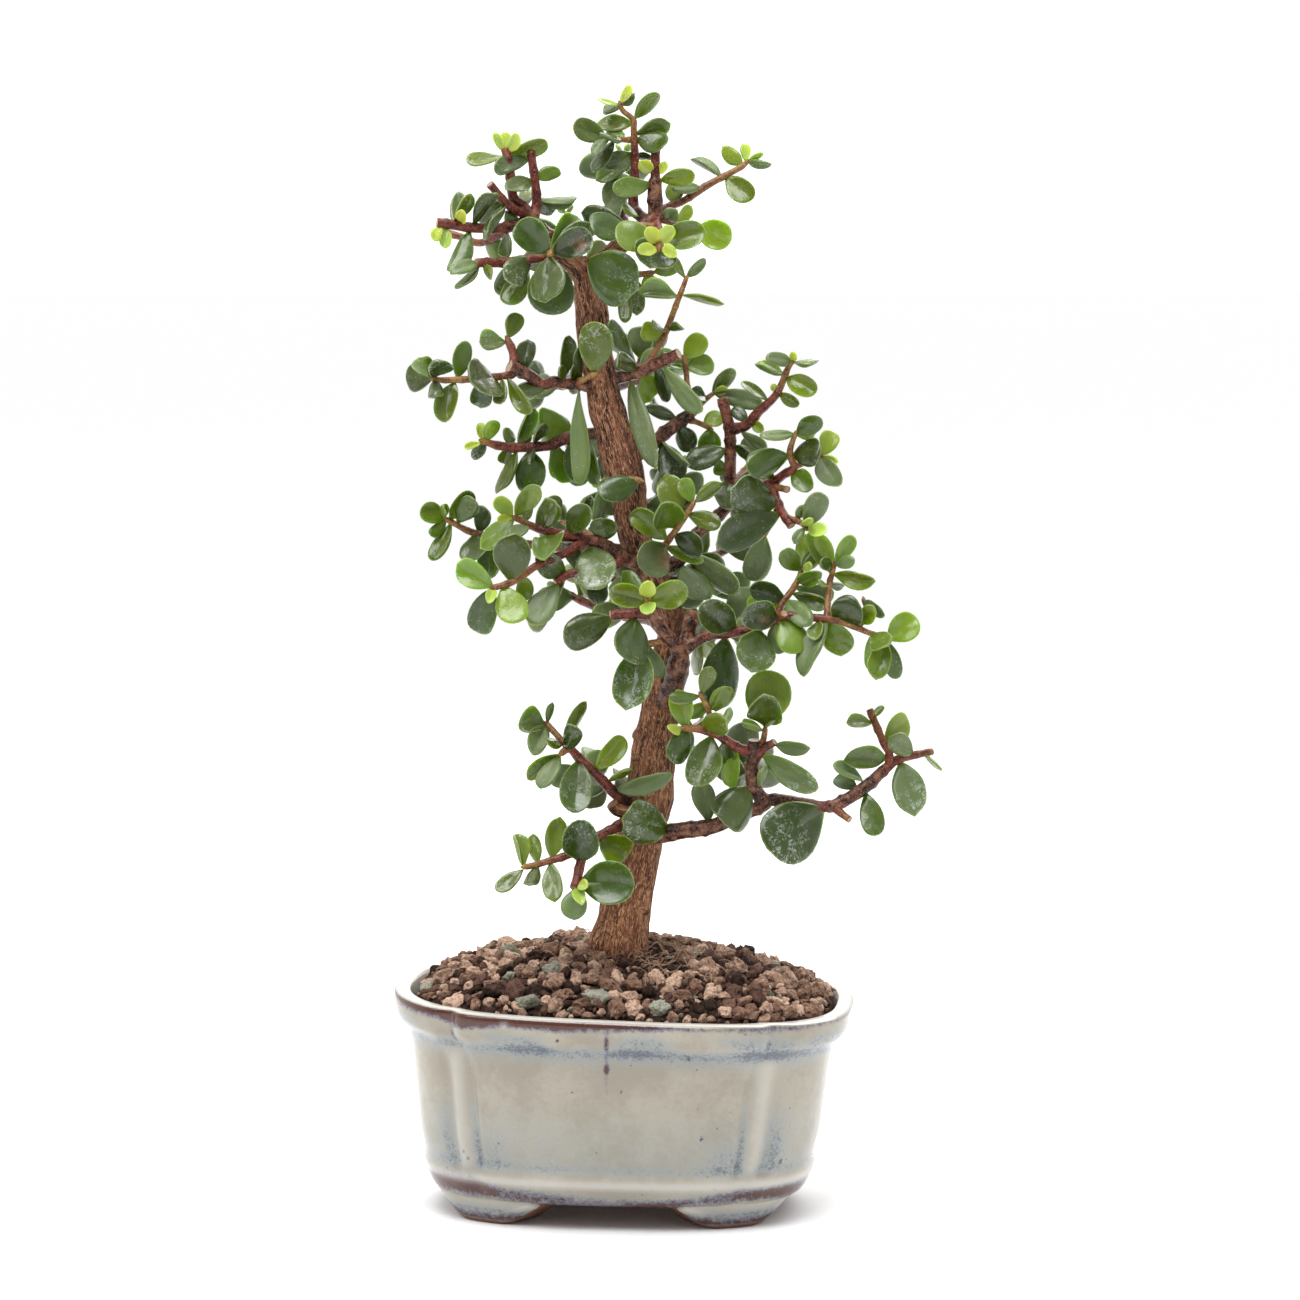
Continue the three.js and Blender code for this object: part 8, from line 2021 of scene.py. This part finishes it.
# ---------------------------------------------------------------- light and camera, in metres
FLOOR_HALF = 30
FRONT_LIGHT = 0.36
BACK_LIGHT = 1.4
TOP_LIGHT = 0.1
LAMP_TARGET = (0, 0, 0.2)
WHITE = (0.92, 0.92, 0.92)
# name, place, width, watts
LAMPS = [
    ("top", (-0.15, -0.4, 1.4), 0.8, 18),
    ("key", (-0.8, -0.7, 1.0), 0.35, 3),
    ("back", (0.35, 1.0, 1.1), 0.9, 10),
]


def build_floor():
    """A white floor that runs out to the white surroundings."""
    corners = [(-1, -1), (1, -1), (1, 1), (-1, 1)]
    mesh = bpy.data.meshes.new("floor")
    mesh.from_pydata([(x * FLOOR_HALF, y * FLOOR_HALF, 0) for x, y in corners], [], [(0, 1, 2, 3)])
    white = Material("floor_white")
    white.paint(WHITE, 0.9, 0.1)
    mesh.materials.append(white.data)
    floor = bpy.data.objects.new("floor", mesh)
    bpy.context.scene.collection.objects.link(floor)


def build_surroundings():
    """White all round, bright behind, dimmer in front, a little brighter above."""
    world = bpy.data.worlds.new("studio")
    world.use_nodes = True
    tree = world.node_tree
    background = tree.nodes["Background"]
    background.inputs["Color"].default_value = (1, 1, 1, 1)
    heading = tree.nodes.new("ShaderNodeSeparateXYZ")
    tree.links.new(tree.nodes.new("ShaderNodeTexCoord").outputs["Generated"], heading.inputs[0])
    total = tree.nodes.new("ShaderNodeMath")  # it adds, as a new one does

    def strength(number, axis, kind, start, end, low, high):
        """From `low` where the heading's axis is at `start` to `high` at `end`."""
        made = tree.nodes.new("ShaderNodeMapRange")
        made.interpolation_type = kind
        for key, value in (("From Min", start), ("From Max", end), ("To Min", low), ("To Max", high)):
            made.inputs[key].default_value = value
        tree.links.new(heading.outputs[axis], made.inputs["Value"])
        tree.links.new(made.outputs["Result"], total.inputs[number])

    strength(0, "Y", "SMOOTHSTEP", -0.9, 0.5, FRONT_LIGHT, BACK_LIGHT)
    strength(1, "Z", "LINEAR", 0.15, 1, 0, TOP_LIGHT)
    tree.links.new(total.outputs[0], background.inputs["Strength"])
    bpy.context.scene.world = world
    bpy.context.scene.view_settings.view_transform = "Standard"


def build_lamps():
    """Square lamps that look at the middle of the tree."""
    for name, place, width, watts in LAMPS:
        lamp = bpy.data.lights.new(name, "AREA")
        lamp.shape = "SQUARE"
        lamp.size = width
        lamp.energy = watts
        obj = bpy.data.objects.new(name, lamp)
        obj.location = place
        obj.rotation_euler = (Vector(LAMP_TARGET) - Vector(place)).to_track_quat("-Z", "Y").to_euler()
        bpy.context.scene.collection.objects.link(obj)


def build_camera():
    """The eye in front: on the sight line of u = 0, v = 0, at the eye's distance, level along RIGHT."""
    camera = bpy.data.cameras.new("camera")
    camera.sensor_width = SENSOR
    camera.lens = SENSOR * EYE_DISTANCE / FILM_WIDTH
    camera.clip_start, camera.clip_end = 0.05, 50
    obj = bpy.data.objects.new("camera", camera)
    at = to_frame(add(LOOK_AT, AWAY, -EYE_DISTANCE))[0]
    turned = Matrix((RIGHT, UP, times(AWAY, -1))).transposed().to_4x4()
    obj.matrix_world = Matrix.Translation(Vector(at)) @ turned
    bpy.context.scene.collection.objects.link(obj)
    bpy.context.scene.camera = obj


# ---------------------------------------------------------------- build
build_trunk()
build_sprays()
build_pot()
build_soil()
for name in ("drain_mesh_left", "drain_mesh_right"):
    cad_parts[name].data.materials.clear()
    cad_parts[name].data.materials.append(MESH_PLASTIC)
build_floor()
build_surroundings()
build_lamps()
build_camera()
